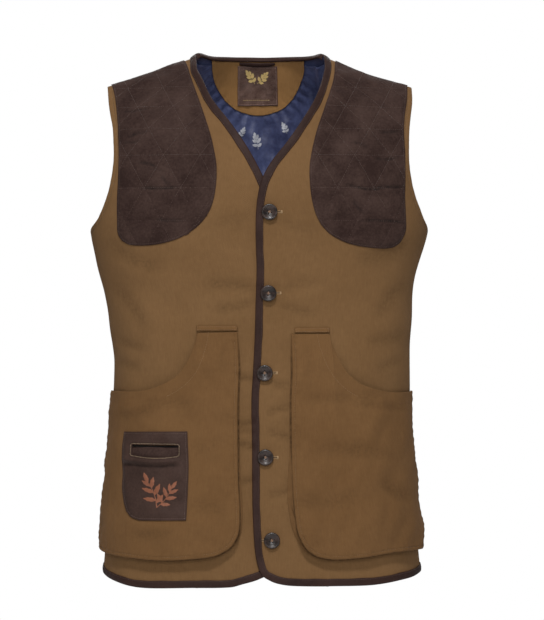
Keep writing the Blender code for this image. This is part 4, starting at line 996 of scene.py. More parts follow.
@dataclass(frozen=True)
class ClothFinish:
    """Brushed cotton twill, matt and slightly napped."""

    name: str
    dark: Colour
    light: Colour
    ribs: float = 420.0
    depth: float = 0.00022
    roughness: float = 0.93
    sheen: float = 0.08
    # Share of the dark tone where the piece is marked: painted shade in its creases, stitch grooves and
    # bellows
    wear_and_shade: float = 0.62

    def build(self, effects: Effects) -> Material:
        """Return the material.

        Args:
            effects: The effects that finishes share.

        Returns:
            The material.
        """
        material, wet = start_material(
            self.name, effects, Specular_IOR_Level=0.22, Sheen_Weight=self.sheen, Sheen_Roughness=0.5,
            Sheen_Tint=rgba(self.light, 2.6),
        )
        nodes = wet.nodes
        colour, mask = wet.mottled(rgba(self.dark), rgba(self.light), 11.0, 0.8)
        weave = nodes.group(effects.weave, Cloth=wet.cloth, Ribs=self.ribs, Nap=0.9).outputs
        tone = nodes.grey(nodes.spread(weave["Streaks"], 0.25, 0.75, 0.90, 1.10))
        # Marked places turn darker: painted shade
        colour = wet.marked(nodes.mixed(1.0, colour, tone, "MULTIPLY"), rgba(self.dark, self.wear_and_shade), 0.9)
        rough = nodes.spread(mask, 0.0, 1.0, self.roughness - 0.05, self.roughness + 0.03)
        wet.feed(colour, rough, weave["Height"], self.depth)
        return material


@dataclass(frozen=True)
class LeatherFinish:
    """Grained or sueded leather, with its marked places in another tone: darker as painted shade in creases
    and grooves, paler as wear at rubbed edges.
    """

    name: str
    dark: Colour
    light: Colour
    marked: Colour
    roughness: float
    pebbles: float
    depth: float
    blotches: float = 26.0
    contrast: float = 1.0
    sheen: float = 0.0
    shine: float = 0.22
    amount: float = 0.7

    def build(self, effects: Effects) -> Material:
        """Return the material.

        Args:
            effects: The effects that finishes share.

        Returns:
            The material.
        """
        material, wet = start_material(
            self.name, effects, Specular_IOR_Level=self.shine, Sheen_Weight=self.sheen, Sheen_Roughness=0.4,
            Sheen_Tint=rgba(self.light, 3.0),
        )
        colour, mask = wet.mottled(rgba(self.dark), rgba(self.light), self.blotches, self.contrast)
        colour = wet.marked(colour, rgba(self.marked), self.amount)
        rough = wet.nodes.spread(mask, 0.0, 1.0, self.roughness + 0.06, self.roughness - 0.08)
        grain = wet.nodes.group(effects.grain, Place=wet.place, Pebbles=self.pebbles, Pores=0.5)
        wet.feed(colour, rough, grain.outputs["Height"], self.depth)
        return material


@dataclass(frozen=True)
class SatinFinish:
    """Lining satin: smooth, with a soft shine and very fine ribs across."""

    name: str
    dark: Colour
    light: Colour
    roughness: float = 0.40

    def build(self, effects: Effects) -> Material:
        """Return the material.

        Args:
            effects: The effects that finishes share.

        Returns:
            The material.
        """
        material, wet = start_material(
            self.name, effects, Specular_IOR_Level=0.5, Sheen_Weight=0.35, Sheen_Roughness=0.35,
            Sheen_Tint=rgba(self.light, 3.0),
        )
        colour, mask = wet.mottled(rgba(self.dark), rgba(self.light), 16.0, 1.1)
        rough = wet.nodes.spread(mask, 0.0, 1.0, self.roughness + 0.06, self.roughness - 0.05)
        weave = wet.nodes.group(effects.weave, Cloth=wet.cloth, Ribs=1500.0, Nap=0.2)
        wet.feed(colour, rough, weave.outputs["Height"], 0.00004)
        return material


@dataclass(frozen=True)
class HornFinish:
    """Polished dark horn with faint paler streaks."""

    name: str
    dark: Colour
    light: Colour
    marked: Colour

    def build(self, effects: Effects) -> Material:
        """Return the material.

        Args:
            effects: The effects that finishes share.

        Returns:
            The material.
        """
        material, wet = start_material(
            self.name, effects, Specular_IOR_Level=0.42, Coat_Weight=0.20, Coat_Roughness=0.14)
        drawn = {"Vector": wet.place, "Scale": (0.35, 1.0, 1.0), "Rotation": (0.0, 0.5, 0.0)}
        place = wet.nodes.add("Mapping", drawn).outputs[0]
        colour, mask = wet.mottled(rgba(self.dark), rgba(self.light), 240.0, 1.3, place)
        colour = wet.marked(colour, rgba(self.marked), 0.6)
        wet.feed(colour, wet.nodes.spread(mask, 0.0, 1.0, 0.30, 0.42), mask, 0.00003)
        return material


@dataclass(frozen=True)
class ThreadFinish:
    """Twisted sewing thread, also used for dark strokes that paint the shadow in slits."""

    name: str
    colour: Colour
    roughness: float = 0.6

    def build(self, effects: Effects) -> Material:
        """Return the material.

        Args:
            effects: The effects that finishes share.

        Returns:
            The material.
        """
        material, wet = start_material(
            self.name, effects, Specular_IOR_Level=0.4, Sheen_Weight=0.3, Sheen_Roughness=0.4)
        colour, mask = wet.mottled(rgba(self.colour, 0.72), rgba(self.colour), 320.0, 1.0)
        rough = wet.nodes.spread(mask, 0.0, 1.0, self.roughness + 0.1, self.roughness - 0.05)
        values = {"Vector": wet.place, "Scale": 900.0, "Distortion": 1.5}
        twist = wet.nodes.add("TexWave", values, bands_direction="DIAGONAL")
        wet.feed(colour, rough, twist.outputs[1], 0.00006)
        return material


class Finish(Enum):
    """The finishes of the vest."""

    MOLESKIN = ClothFinish("moleskin_cloth", screen(113, 83, 51), screen(125, 94, 61))
    # Painted shade: the moleskin again, a little darker, as the pockets face slightly down
    POCKET = ClothFinish("pocket_cloth_painted_shade", screen(107, 76, 44), screen(119, 87, 54))
    # Painted shade: the pocket cloth a shade darker, and far darker where marked, so the bellows' gap looks
    # dark
    BELLOWS = ClothFinish("bellows_cloth", screen(105, 75, 44), screen(117, 86, 54), wear_and_shade=0.30)
    # Painted light: the fronts' moleskin made much paler, so that the facing in the shade inside the neck
    # shows as light as the fronts
    INSIDE = ClothFinish("facing_cloth_painted_light", screen(163, 120, 72), screen(176, 132, 83))
    # Painted shade: marked darker in the patch's creases
    SUEDE = LeatherFinish(
        "patch_suede_leather", screen(45, 29, 25), screen(67, 49, 43), screen(22, 14, 12), roughness=0.86,
        pebbles=1500.0, depth=0.00010, contrast=1.3, sheen=0.06, amount=0.85)
    BINDING = LeatherFinish(
        "binding_soft_leather", screen(42, 26, 22), screen(57, 37, 31), screen(76, 50, 40), roughness=0.66,
        pebbles=800.0, depth=0.00016, shine=0.20, amount=0.4)
    # Painted shade: marked darker where the ticket pocket's leather hollows
    TICKET = LeatherFinish(
        "ticket_pocket_leather", screen(53, 37, 31), screen(70, 51, 44), screen(30, 20, 17), roughness=0.76,
        pebbles=1100.0, depth=0.00010, sheen=0.04)
    # Partly painted light: the label's own paler leather, made paler still against the shade inside the neck
    LABEL = LeatherFinish(
        "label_leather", screen(86, 62, 53), screen(126, 101, 91), screen(54, 38, 32), roughness=0.50,
        pebbles=900.0, depth=0.00012, blotches=42.0, contrast=1.4, shine=0.30)
    SATIN = SatinFinish("navy_lining_satin", screen(56, 61, 94), screen(86, 95, 134))
    HORN = HornFinish("dark_horn", screen(17, 12, 11), screen(60, 44, 38), screen(96, 70, 52))
    TAN_THREAD = ThreadFinish("tan_thread", screen(150, 118, 83))
    BEIGE_THREAD = ThreadFinish("beige_thread", screen(184, 152, 112))
    DARK_TAN_THREAD = ThreadFinish("brown_thread", screen(98, 72, 48))
    PALE_BROWN_THREAD = ThreadFinish("pale_brown_thread", screen(122, 96, 84))
    DARK_THREAD = ThreadFinish("dark_brown_thread", screen(88, 68, 60))
    # Painted light: paler than the pinkish-brown thread is, against the shade inside the neck
    ROSE_THREAD = ThreadFinish("rose_brown_thread", screen(176, 140, 126))
    BUTTON_THREAD = ThreadFinish("button_thread", screen(148, 116, 94))
    COPPER_THREAD = ThreadFinish("copper_thread", screen(146, 88, 60), 0.5)
    CREAM_THREAD = ThreadFinish("cream_thread", screen(226, 198, 156))
    GOLD_FOIL = ThreadFinish("gold_print", screen(250, 216, 142), 0.35)
    WHITE_PRINT = ThreadFinish("white_print", screen(206, 208, 216), 0.55)
    # Painted shadow: near-black strokes and a strip laid in the slits
    SHADOW_THREAD = ThreadFinish("slit_painted_shadow", screen(24, 17, 14), 0.9)


class Slot(Enum):
    """The record's material slots."""

    MOLESKIN = "moleskin"
    SUEDE = "patch_suede"
    BINDING = "binding_leather"
    LEATHER = "brown_leather"
    SATIN = "navy_satin"
    HORN = "horn"


# Making pieces

class Hold(Enum):
    """How a sheet of cloth is held."""

    HUNG = "hung"
    LAID = "laid"
    FOLDED = "folded"
    GATHERED = "gathered"


class Cut(NamedTuple):
    """The flat piece that a sheet was cut to."""

    width: float
    length: float
    area: float
    hold: Hold
    rests_on: tuple[str, ...]


class Bench:
    """Makes pieces from grids of points, and enters each one in the frame."""

    def __init__(self) -> None:
        """Build the finishes."""
        effects = Effects()
        self.materials = {finish: finish.value.build(effects) for finish in Finish}

    def enter(self, piece: Piece, slot: Slot, *nodes: str) -> None:
        """Ride a piece on the vest and hide the nodes that it stands for.

        Args:
            piece: The piece.
            slot: Its material slot, which is not used.
            *nodes: The nodes, if any.
        """
        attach(piece, "root")
        if nodes:
            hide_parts(*nodes)
        LOG.info("%s: %d faces", piece.name, len(piece.data.polygons))

    def object_of(self, name: str, mesh: Mesh, *finishes: Finish) -> Piece:
        """Return a smooth object of a mesh, with its finishes.

        Args:
            name: The object's name.
            mesh: Its mesh.
            *finishes: Its materials, in order.

        Returns:
            The object.
        """
        mesh.shade_smooth()
        for finish in finishes:
            mesh.materials.append(self.materials[finish])
        piece = bpy.data.objects.new(name, mesh)
        bpy.context.scene.collection.objects.link(piece)
        return piece

    def cloth(self, name: str, points: Array, outward: Array, wall: float, *finishes: Finish,
              mark: Array | None = None) -> Piece:
        """Make a sheet with its wall behind it.

        Args:
            name: The piece's name.
            points: Rows of points on its shown face.
            outward: Vectors on the side that is shown.
            wall: Its thickness.
            *finishes: Of the shown face, and of the other face where that differs.
            mark: How strongly each point is marked, from 0 to 1.

        Returns:
            The piece.
        """
        mesh = grid_mesh(name, points, outward, mark)
        piece = self.object_of(name, mesh, *finishes)
        solidify = piece.modifiers.new("wall", "SOLIDIFY")
        solidify.thickness = wall
        solidify.offset = -1.0
        if len(finishes) > 1:
            solidify.material_offset = 1
        return piece

    def sheet(self, cut: Cut) -> None:
        """Make a list of what a sheet's cut rests on, and drop it."""
        list(cut.rests_on)

    def lay(self, name: str, points: Array, outward: Array, wall: float, *finishes: Finish, slot: Slot,
            nodes: Sequence[str] = (), cut: Cut | None = None, mark: Array | None = None) -> None:
        """Make a sheet with its wall behind it, and enter it.

        Args:
            name, points, outward, wall, *finishes, mark: As in cloth.
            slot: Its material slot.
            nodes: The nodes that it stands for.
            cut: The flat piece that it was cut to, if any.
        """
        piece = self.cloth(name, points, outward, wall, *finishes, mark=mark)
        self.enter(piece, slot, *nodes)
        if cut is not None:
            self.sheet(cut)


def mesh_of(maker: bmesh.types.BMesh, name: str) -> Mesh:
    """Return a bmesh as a new mesh, and free it.

    Args:
        maker: The bmesh.
        name: The mesh's name.

    Returns:
        The mesh.
    """
    mesh = bpy.data.meshes.new(name)
    maker.to_mesh(mesh)
    maker.free()
    return mesh


def grid_mesh(name: str, points: Array, outward: Array, mark: Array | None = None) -> Mesh:
    """Lay a grid on rows of points, with its faces towards outward and its UV map in metres.

    Args:
        name: The mesh's name.
        points: Rows of points.
        outward: Vectors on the shown side.
        mark: How strongly each point is marked, from 0 to 1.

    Returns:
        The mesh.
    """
    rows, columns = points.shape[0] - 1, points.shape[1] - 1
    middle = (rows // 2, columns // 2)
    right = points[middle[0], middle[1] + 1] - points[middle]
    up = points[middle[0] + 1, middle[1]] - points[middle]
    if np.dot(np.cross(right, up), outward[middle]) < 0:
        points = points[:, ::-1]
        mark = None if mark is None else mark[:, ::-1]
    maker = bmesh.new()
    bmesh.ops.create_grid(maker, x_segments=columns, y_segments=rows, size=1.0)
    mesh = mesh_of(maker, name)
    square = np.empty(3 * len(mesh.vertices))
    mesh.vertices.foreach_get("co", square)
    square = square.reshape(-1, 3)
    low, high = square.min(axis=0), square.max(axis=0)
    i = np.rint((square[:, 0] - low[0]) / (high[0] - low[0]) * columns).astype(int)
    j = np.rint((square[:, 1] - low[1]) / (high[1] - low[1]) * rows).astype(int)
    mesh.vertices.foreach_set("co", points[j, i].ravel())
    flat = np.zeros((rows + 1, columns + 1, 2))
    flat[:, 1:, 0] = np.linalg.norm(np.diff(points, axis=1), axis=-1).cumsum(axis=1)
    flat[1:, :, 1] = np.linalg.norm(np.diff(points, axis=0), axis=-1).cumsum(axis=0)
    flat[..., 0] -= flat[:, columns // 2, 0][:, None]
    corners = np.empty(len(mesh.loops), dtype=int)
    mesh.loops.foreach_get("vertex_index", corners)
    layer = mesh.uv_layers.new(name="Cloth")
    layer.data.foreach_set("uv", flat[j, i][corners].ravel())
    if mark is not None:
        attribute = mesh.attributes.new("Mark", "FLOAT", "POINT")
        attribute.data.foreach_set("value", mark[j, i].astype(np.float32).ravel())
    mesh.update()
    return mesh


class Stitches:
    """Sewing that is gathered into one mesh: each stitch is a small spindle."""

    def __init__(self, name: str, bench: Bench, finish: Finish, slot: Slot) -> None:
        """Start the mesh, and make the stitch that is repeated in it.

        Args:
            name: The piece's name.
            bench: Where it is made.
            finish: The thread.
            slot: Its material slot.
        """
        self.name, self.bench, self.finish, self.slot = name, bench, finish, slot
        self.maker = bmesh.new()
        single = bmesh.new()
        bmesh.ops.create_uvsphere(single, u_segments=6, v_segments=3, radius=1.0)
        self.spindle = mesh_of(single, "spindle")

    def stitch(self, centre: Array, way: Array, normal: Array, radius: float) -> None:
        """Add one stitch, way being half its length.

        Args:
            centre: The stitch's middle.
            way: From there to its end.
            normal: The way out of the cloth.
            radius: Half its thickness.
        """
        aside = unit(np.cross(normal, way)) * radius
        rows = np.column_stack([aside, unit(normal) * radius, way, centre]).tolist()
        matrix = Matrix(rows + [[0.0, 0.0, 0.0, 1.0]])
        copy = self.spindle.copy()
        copy.transform(matrix)
        self.maker.from_mesh(copy)
        bpy.data.meshes.remove(copy)

    def run(self, points: Array, normals: Array, pitch: float = 0.0030, length: float = 0.0021,
            radius: float = 0.00024, keep: Array | None = None) -> None:
        """Sew along a path.

        Args:
            points, normals: The path on the cloth, densely.
            pitch: From stitch to stitch.
            length, radius: Of a stitch.
            keep: Which points of the path are sewn, or all.
        """
        runs = along_path(points)
        count = int(runs[-1] / pitch)
        for k in range(count):
            ends = np.array([k * pitch, k * pitch + length])
            first, last = np.stack([np.interp(ends, runs, points[:, axis]) for axis in range(3)], axis=-1)
            index = min(int(np.searchsorted(runs, ends.mean())), len(points) - 1)
            if keep is not None and not keep[index]:
                continue
            self.stitch((first + last) / 2, (last - first) / 2, normals[index], radius)

    def done(self) -> None:
        """Turn the stitches into a piece."""
        bmesh.ops.recalc_face_normals(self.maker, faces=self.maker.faces)
        mesh = mesh_of(self.maker, self.name)
        bpy.data.meshes.remove(self.spindle)
        self.bench.enter(self.bench.object_of(self.name, mesh, self.finish), self.slot)


def sewn(stitches: Stitches, place: Place, spots: Array, out: float = 0.00008, **sizes: object) -> None:
    """Sew along spots of a surface, just above it."""
    stitches.run(place(spots, out), FORM.normal(spots), **sizes)


def inset(spots: Array, distance: float, towards: Array) -> Array:
    """Return a line of spots moved sideways by a distance, towards a spot of the piece.

    Args:
        spots: The line's spots.
        distance: How far, in metres.
        towards: A spot on the side to move to.

    Returns:
        The moved line's spots.
    """
    points = FORM.point(spots)
    along = unit(np.gradient(points, axis=0))
    way = np.cross(FORM.normal(spots), along)
    middle = len(points) // 2
    if np.dot(way[middle], FORM.point(towards) - points[middle]) < 0:
        way = -way
    return FORM.moved(spots, way * distance)


# Fronts and back

SIDE_HEM = -0.6560              # where the hem crosses the side seams
UNDERARM = -0.2130
SIDE_ANGLE = QUARTER - 0.0001   # where the panels meet at the side seams
SIDE_SHARE = 14 / 30            # of a panel's rows, those beside the side seam
SHOULDER_SHARE = 4 / 18         # of the back's columns, those beside a shoulder seam
SEAM_SINK = 0.0005
SEAM_REACH = 0.0030
SEAM_STITCH_INSET = 0.0030
BACK_HEM_DROP = 0.0150
INSIDE_NECK = 0.0058            # how far the back neck's binding reaches in, over the facing
STITCH_SUNK = -0.00030          # how deep the armholes' stitches lie in their groove
EDGE_FALL = 0.0004              # how far a cut edge of cloth rounds off
EDGE_FALL_REACH = 0.0016
EDGE_SPOTS = 400                # how finely a front's edge is drawn
SIDE_SPOTS = 200                # and the seams and armholes that distances are measured from
FRONT_SHOULDER_SPOTS = 120
BACK_SHOULDER_SPOTS = 80
ARMHOLE_SPOTS = 160
SEWN_SIDE = (0.03, SIDE_SHARE - 0.004)              # from and to, as shares of the edge
SEWN_SHOULDERS = ((0.02, 0.205), (0.795, 0.98))
TOP = RINGS[-1]
ARMHOLE_SEAM = Seam(inset=0.0062, depth=0.00045, width=0.0012, pucker=0.00016, pitch=0.011)


class ArmKnot(NamedTuple):
    """A height on both armholes: half the width between them, and the middle between them."""

    half: float
    middle: float
    height: float


OVER_EDGE = (
    Knot(0.0852, 0.0010), Knot(0.0772, -0.0285), Knot(0.0650, -0.0550), Knot(0.0365, -0.0995),
    Knot(0.0136, -0.1290), Knot(0.0022, -0.1520), Knot(-0.0033, -0.1800), Knot(-0.0046, -0.2130),
    Knot(-0.0034, -0.2600), Knot(-0.0046, -0.3030), Knot(-0.0082, -0.3980), Knot(-0.0092, -0.4880),
    Knot(-0.0082, -0.5790), Knot(-0.0052, -0.6250), Knot(-0.0002, -0.6470),
)
OVER_HEM = (
    Knot(0.0054, -0.6560), Knot(0.0200, -0.6630), Knot(0.0420, -0.6665), Knot(0.1016, -0.6675),
    Knot(0.1450, -0.6672), Knot(0.1830, -0.6628),
)
UNDER_EDGE = (
    Knot(-0.0848, 0.0000), Knot(-0.0780, -0.0145), Knot(-0.0648, -0.0428), Knot(-0.0396, -0.0764),
    Knot(-0.0162, -0.1110), Knot(0.0012, -0.1440), Knot(0.0160, -0.1790), Knot(0.0240, -0.2130),
    Knot(0.0262, -0.3030), Knot(0.0255, -0.3980), Knot(0.0245, -0.4880), Knot(0.0250, -0.5790),
    Knot(0.0235, -0.6200), Knot(0.0180, -0.6420),
)
UNDER_HEM = (
    Knot(0.0090, -0.6530), Knot(-0.0070, -0.6600), Knot(-0.0230, -0.6645), Knot(-0.0390, -0.6685),
    Knot(-0.0880, -0.6697), Knot(-0.1540, -0.6712), Knot(-0.1925, -0.6645),
)
FRONT_ARMHOLE = (
    ArmKnot(0.1988, -0.0006, -0.0440), ArmKnot(0.1930, 0.0002, -0.0810), ArmKnot(0.1908, 0.0002, -0.1150),
    ArmKnot(0.1939, 0.0010, -0.1470), ArmKnot(0.2015, 0.0011, -0.1730), ArmKnot(0.2132, -0.0002, -0.1980),
)
BACK_ARMHOLE = (
    ArmKnot(0.1972, -0.0006, -0.0500), ArmKnot(0.1935, 0.0002, -0.0900), ArmKnot(0.1925, 0.0004, -0.1250),
    ArmKnot(0.1955, 0.0010, -0.1560), ArmKnot(0.2030, 0.0010, -0.1800), ArmKnot(0.2137, -0.0002, -0.2010),
)
BACK_NECK = (
    Knot(-0.0700, 0.0212), Knot(-0.0450, 0.0217), Knot(0.0000, 0.0222), Knot(0.0450, 0.0217),
    Knot(0.0700, 0.0212),
)


class Outline(NamedTuple):
    """The four lines of a piece: lower and upper from left to right, left and right upwards."""

    lower: Line
    upper: Line
    left: Line
    right: Line

    def grid(self, across: Array, up: Array) -> Array:
        """Return the grid of spots at the given shares."""
        return fill(*self, across, up)

    def middle(self, up: float = 0.5) -> Array:
        """Return the spot half the way across, at a share of the way up."""
        return self.grid(np.array([0.5]), np.array([up]))[0, 0]

    def ring(self, cells: int = 90) -> Array:
        """Return the spots once round the outline."""
        sides = (self.lower, self.right, self.upper.turned(), self.left.turned())
        return np.vstack([side.fine(cells)[:-1] for side in sides])

    def rim(self, cells: int = 90) -> Array:
        """Return the ring with its first spot again at its end."""
        ring = self.ring(cells)
        return np.vstack([ring, ring[:1]])


def side_line(armhole: Sequence[ArmKnot], side: int, on_front: bool) -> Line:
    """Return a panel's edge from the hem up the side seam and the armhole to the shoulder.

    Args:
        armhole: The armhole's knots, from the shoulder down.
        side: 1 for the viewer's right, -1 for the left.
        on_front: Whether the panel is a front.

    Returns:
        The edge, from the hem up.
    """
    place = front if on_front else back
    hem = [side * SIDE_ANGLE, place(Knot(side, SIDE_HEM))[0, 1]]
    arm = [side * SIDE_ANGLE, place(Knot(side, UNDERARM))[0, 1]]
    tip = [side * float(FORM.angle_for(np.array(FORM.shoulder_tip / TOP.half))), SEAM if on_front else -SEAM]
    knots = [Knot(knot.middle + side * knot.half, knot.height) for knot in reversed(armhole)]
    curve = smooth(np.vstack([[arm], place(*knots), [tip]]))
    return Line.joined(Line(np.array([hem, arm])), curve, SIDE_SHARE)


def neck_spot(side: int, on_front: bool) -> Array:
    """Return the neck end of a shoulder seam."""
    angle = float(FORM.angle_for(np.array(FORM.neck_point / TOP.half)))
    return np.array([[side * angle, SEAM if on_front else -SEAM]])


def lay_panel(bench: Bench, name: str, node: str, panel: Panel, spots: Array, armholes: Sequence[Array],
              seams: Sequence[Array], cut: Cut) -> None:
    """Lay a panel of the body, puckered at its armholes and sunk at its seams.

    Args:
        bench: Where it is made.
        name, node: The piece's name, and the node that it stands for.
        panel: The cloth that it lies in.
        spots: Its grid.
        armholes: The spots of each sewn edge.
        seams: The spots of each edge that meets another panel.
        cut: The flat piece that it was cut to.
    """
    base = panel.above(spots, 0.0)
    lift = np.zeros(base.shape[:-1])
    for edge in armholes:
        distance, along = nearest(base, panel.above(edge, 0.0))
        lift += ARMHOLE_SEAM.lift(distance, along) - EDGE_FALL * ease(1 - distance / EDGE_FALL_REACH)
    for edge in seams:
        distance, _ = nearest(base, panel.above(edge, 0.0))
        lift -= SEAM_SINK * ease(1 - distance / SEAM_REACH)
    # The panel is marked by its creases' depth: painted shade in the creases
    bench.lay(name, panel.above(spots, lift), FORM.normal(spots), CLOTH, Finish.MOLESKIN, Finish.SATIN,
              slot=Slot.MOLESKIN, nodes=(node,), cut=cut, mark=panel.hollows(spots))


@dataclass
class FrontPanel:
    """One front of brushed cloth with the leather binding round its edge."""

    face: Face
    edge: Sequence[Knot]
    hem: Sequence[Knot]
    cut: Cut
    columns: int = 92
    rows: int = 176

    def __post_init__(self) -> None:
        """Draw the outline."""
        side = self.face.side
        self.panel = Panel(self.face)
        neck = neck_spot(side, on_front=True)
        down = smooth(np.vstack([neck, front(*self.edge), front(self.hem[0])])).fine(EDGE_SPOTS)
        cut = int(np.abs(FORM.point(down)[:, 2] - UNDERARM).argmin())
        inner = Line.joined(Line(down[cut:][::-1]), Line(down[:cut + 1][::-1]), SIDE_SHARE)
        outer = side_line(FRONT_ARMHOLE, side, on_front=True)
        lower = smooth(np.vstack([front(*self.hem), outer.spots[:1]]))
        upper = Line(np.vstack([inner.spots[-1:], outer.spots[-1:]]))
        self.outline = Outline(lower, upper, inner, outer)

    def seams(self) -> Array:
        """Return the spots of the side seam and the shoulder seam."""
        side = self.outline.right.at(np.linspace(0.0, SIDE_SHARE, SIDE_SPOTS))
        return np.vstack([side, self.outline.upper.at(np.linspace(0.0, 1.0, FRONT_SHOULDER_SPOTS))])

    def armhole(self) -> Array:
        """Return the spots of the armhole's edge, from the side seam up."""
        return self.outline.right.at(np.linspace(SIDE_SHARE, 1.0, ARMHOLE_SPOTS))

    def build(self, bench: Bench) -> None:
        """Make the panel.

        Args:
            bench: Where the pieces are made.
        """
        word, spots = self.face.value, self.outline.grid(graded(self.columns), graded(self.rows, 0.25))
        lay_panel(bench, f"front_panel_{word}", f"front_{word}", self.panel, spots, [self.armhole()],
                  [self.seams()], self.cut)

    def bind(self, bench: Bench) -> None:
        """Make the binding round the hem, the front edge and the neckline.

        Args:
            bench: Where the pieces are made.
        """
        word = self.face.value
        path = Line(np.vstack([self.outline.lower.turned().spots, self.outline.left.spots[1:]]))
        cut = Cut(0.0215, 1.030, 0.0211, Hold.FOLDED, (f"front_panel_{word}",))
        Binding(f"binding_front_{word}", self.panel, path, self.outline.middle(), "sr", cut).build(bench)

    def sew(self, bench: Bench) -> None:
        """Sew round the armhole.

        Args:
            bench: Where the pieces are made.
        """
        name = f"armhole_stitches_{self.face.value}"
        stitches = Stitches(name, bench, Finish.DARK_TAN_THREAD, Slot.MOLESKIN)
        line = inset(self.armhole(), ARMHOLE_SEAM.inset, self.outline.middle(0.6))
        sewn(stitches, self.panel.above, line, STITCH_SUNK)
        stitches.done()


@dataclass
class BackPanel:
    """The back, with its bindings at the neck and the hem."""

    cut: Cut
    columns: int = 152
    rows: int = 156

    def __post_init__(self) -> None:
        """Draw the outline."""
        self.panel = Panel(Face.BACK)
        left = side_line(BACK_ARMHOLE, -1, on_front=False)
        right = side_line(BACK_ARMHOLE, 1, on_front=False)
        neck_left, neck_right = neck_spot(-1, on_front=False), neck_spot(1, on_front=False)
        self.neck = smooth(np.vstack([neck_left, back(*BACK_NECK), neck_right]))
        upper = Line.joined(Line(np.vstack([left.spots[-1:], neck_left])), self.neck, 4 / 14)
        upper = Line.joined(upper, Line(np.vstack([neck_right, right.spots[-1:]])), 1 - SHOULDER_SHARE)
        t = np.linspace(0.0, 1.0, 181)
        angle = left.spots[0, 0] + t * (right.spots[0, 0] - left.spots[0, 0])
        drop = BACK_HEM_DROP * np.sin(math.pi * t) ** 0.8
        reach = left.spots[0, 1] - drop - FORM.ridge(angle) + FORM.ridge(left.spots[0, 0])
        self.hem = Line(np.stack([angle, reach], axis=-1), t)
        self.outline = Outline(self.hem, upper, left, right)

    def seams(self) -> list[Array]:
        """Return the spots of the side seams and the shoulder seams.

        Returns:
            Each seam's spots.
        """
        low = np.linspace(0.0, SIDE_SHARE, SIDE_SPOTS)
        first = np.linspace(0.0, SHOULDER_SHARE, BACK_SHOULDER_SPOTS)
        last = np.linspace(1 - SHOULDER_SHARE, 1.0, BACK_SHOULDER_SPOTS)
        shoulders = [self.outline.upper.at(shares) for shares in (first, last)]
        return [self.outline.left.at(low), self.outline.right.at(low), *shoulders]

    def armholes(self) -> list[Array]:
        """Return the spots of both armholes' edges."""
        shares = np.linspace(SIDE_SHARE, 1.0, ARMHOLE_SPOTS)
        return [self.outline.left.at(shares), self.outline.right.at(shares)]

    def build(self, bench: Bench) -> None:
        """Make the panel.

        Args:
            bench: Where the pieces are made.
        """
        spots = self.outline.grid(graded(self.columns, 0.45), graded(self.rows, 0.25))
        lay_panel(bench, "back_panel", "back", self.panel, spots, self.armholes(), self.seams(), self.cut)

    def bind(self, bench: Bench) -> None:
        """Make the bindings at the neck and the hem.

        Args:
            bench: Where the pieces are made.
        """
        middle = self.outline.middle()
        cut = Cut(0.0165, 0.290, 0.0044, Hold.FOLDED, ("back_panel",))
        Binding("binding_back_neck", self.panel, self.neck, middle, "rr", cut, inner_width=0.0016,
                inner_depth=INSIDE_NECK).build(bench)
        cut = Cut(0.0215, 0.550, 0.0111, Hold.FOLDED, ("back_panel",))
        Binding("binding_back_hem", self.panel, self.hem, middle, "ss", cut).build(bench)

    def sew(self, bench: Bench) -> None:
        """Sew round the armholes and beside the seams.

        Args:
            bench: Where the pieces are made.
        """
        stitches = Stitches("back_stitches", bench, Finish.DARK_TAN_THREAD, Slot.MOLESKIN)
        middle = self.outline.middle(0.6)
        for edge in self.armholes():
            sewn(stitches, self.panel.above, inset(edge, ARMHOLE_SEAM.inset, middle), STITCH_SUNK)
        shares = np.linspace(*SEWN_SIDE, ARMHOLE_SPOTS)
        seams = [side.at(shares) for side in (self.outline.left, self.outline.right)]
        seams += [self.outline.upper.at(np.linspace(*ends, 40)) for ends in SEWN_SHOULDERS]
        for seam in seams:
            sewn(stitches, self.panel.above, inset(seam, SEAM_STITCH_INSET, middle), 0.0)
        stitches.done()


WANDER = (Wave(0.00022, 97.0), Wave(0.00016, 213.0, 1.0))   # of a binding's sewn edge, across it
RIPPLE = (Wave(0.00008, 540.0), Wave(0.00006, 1130.0, 2.0)) # of its face, in and out
END_POINTS = 6.0    # of its path, over which its ends turn into the seams that they meet


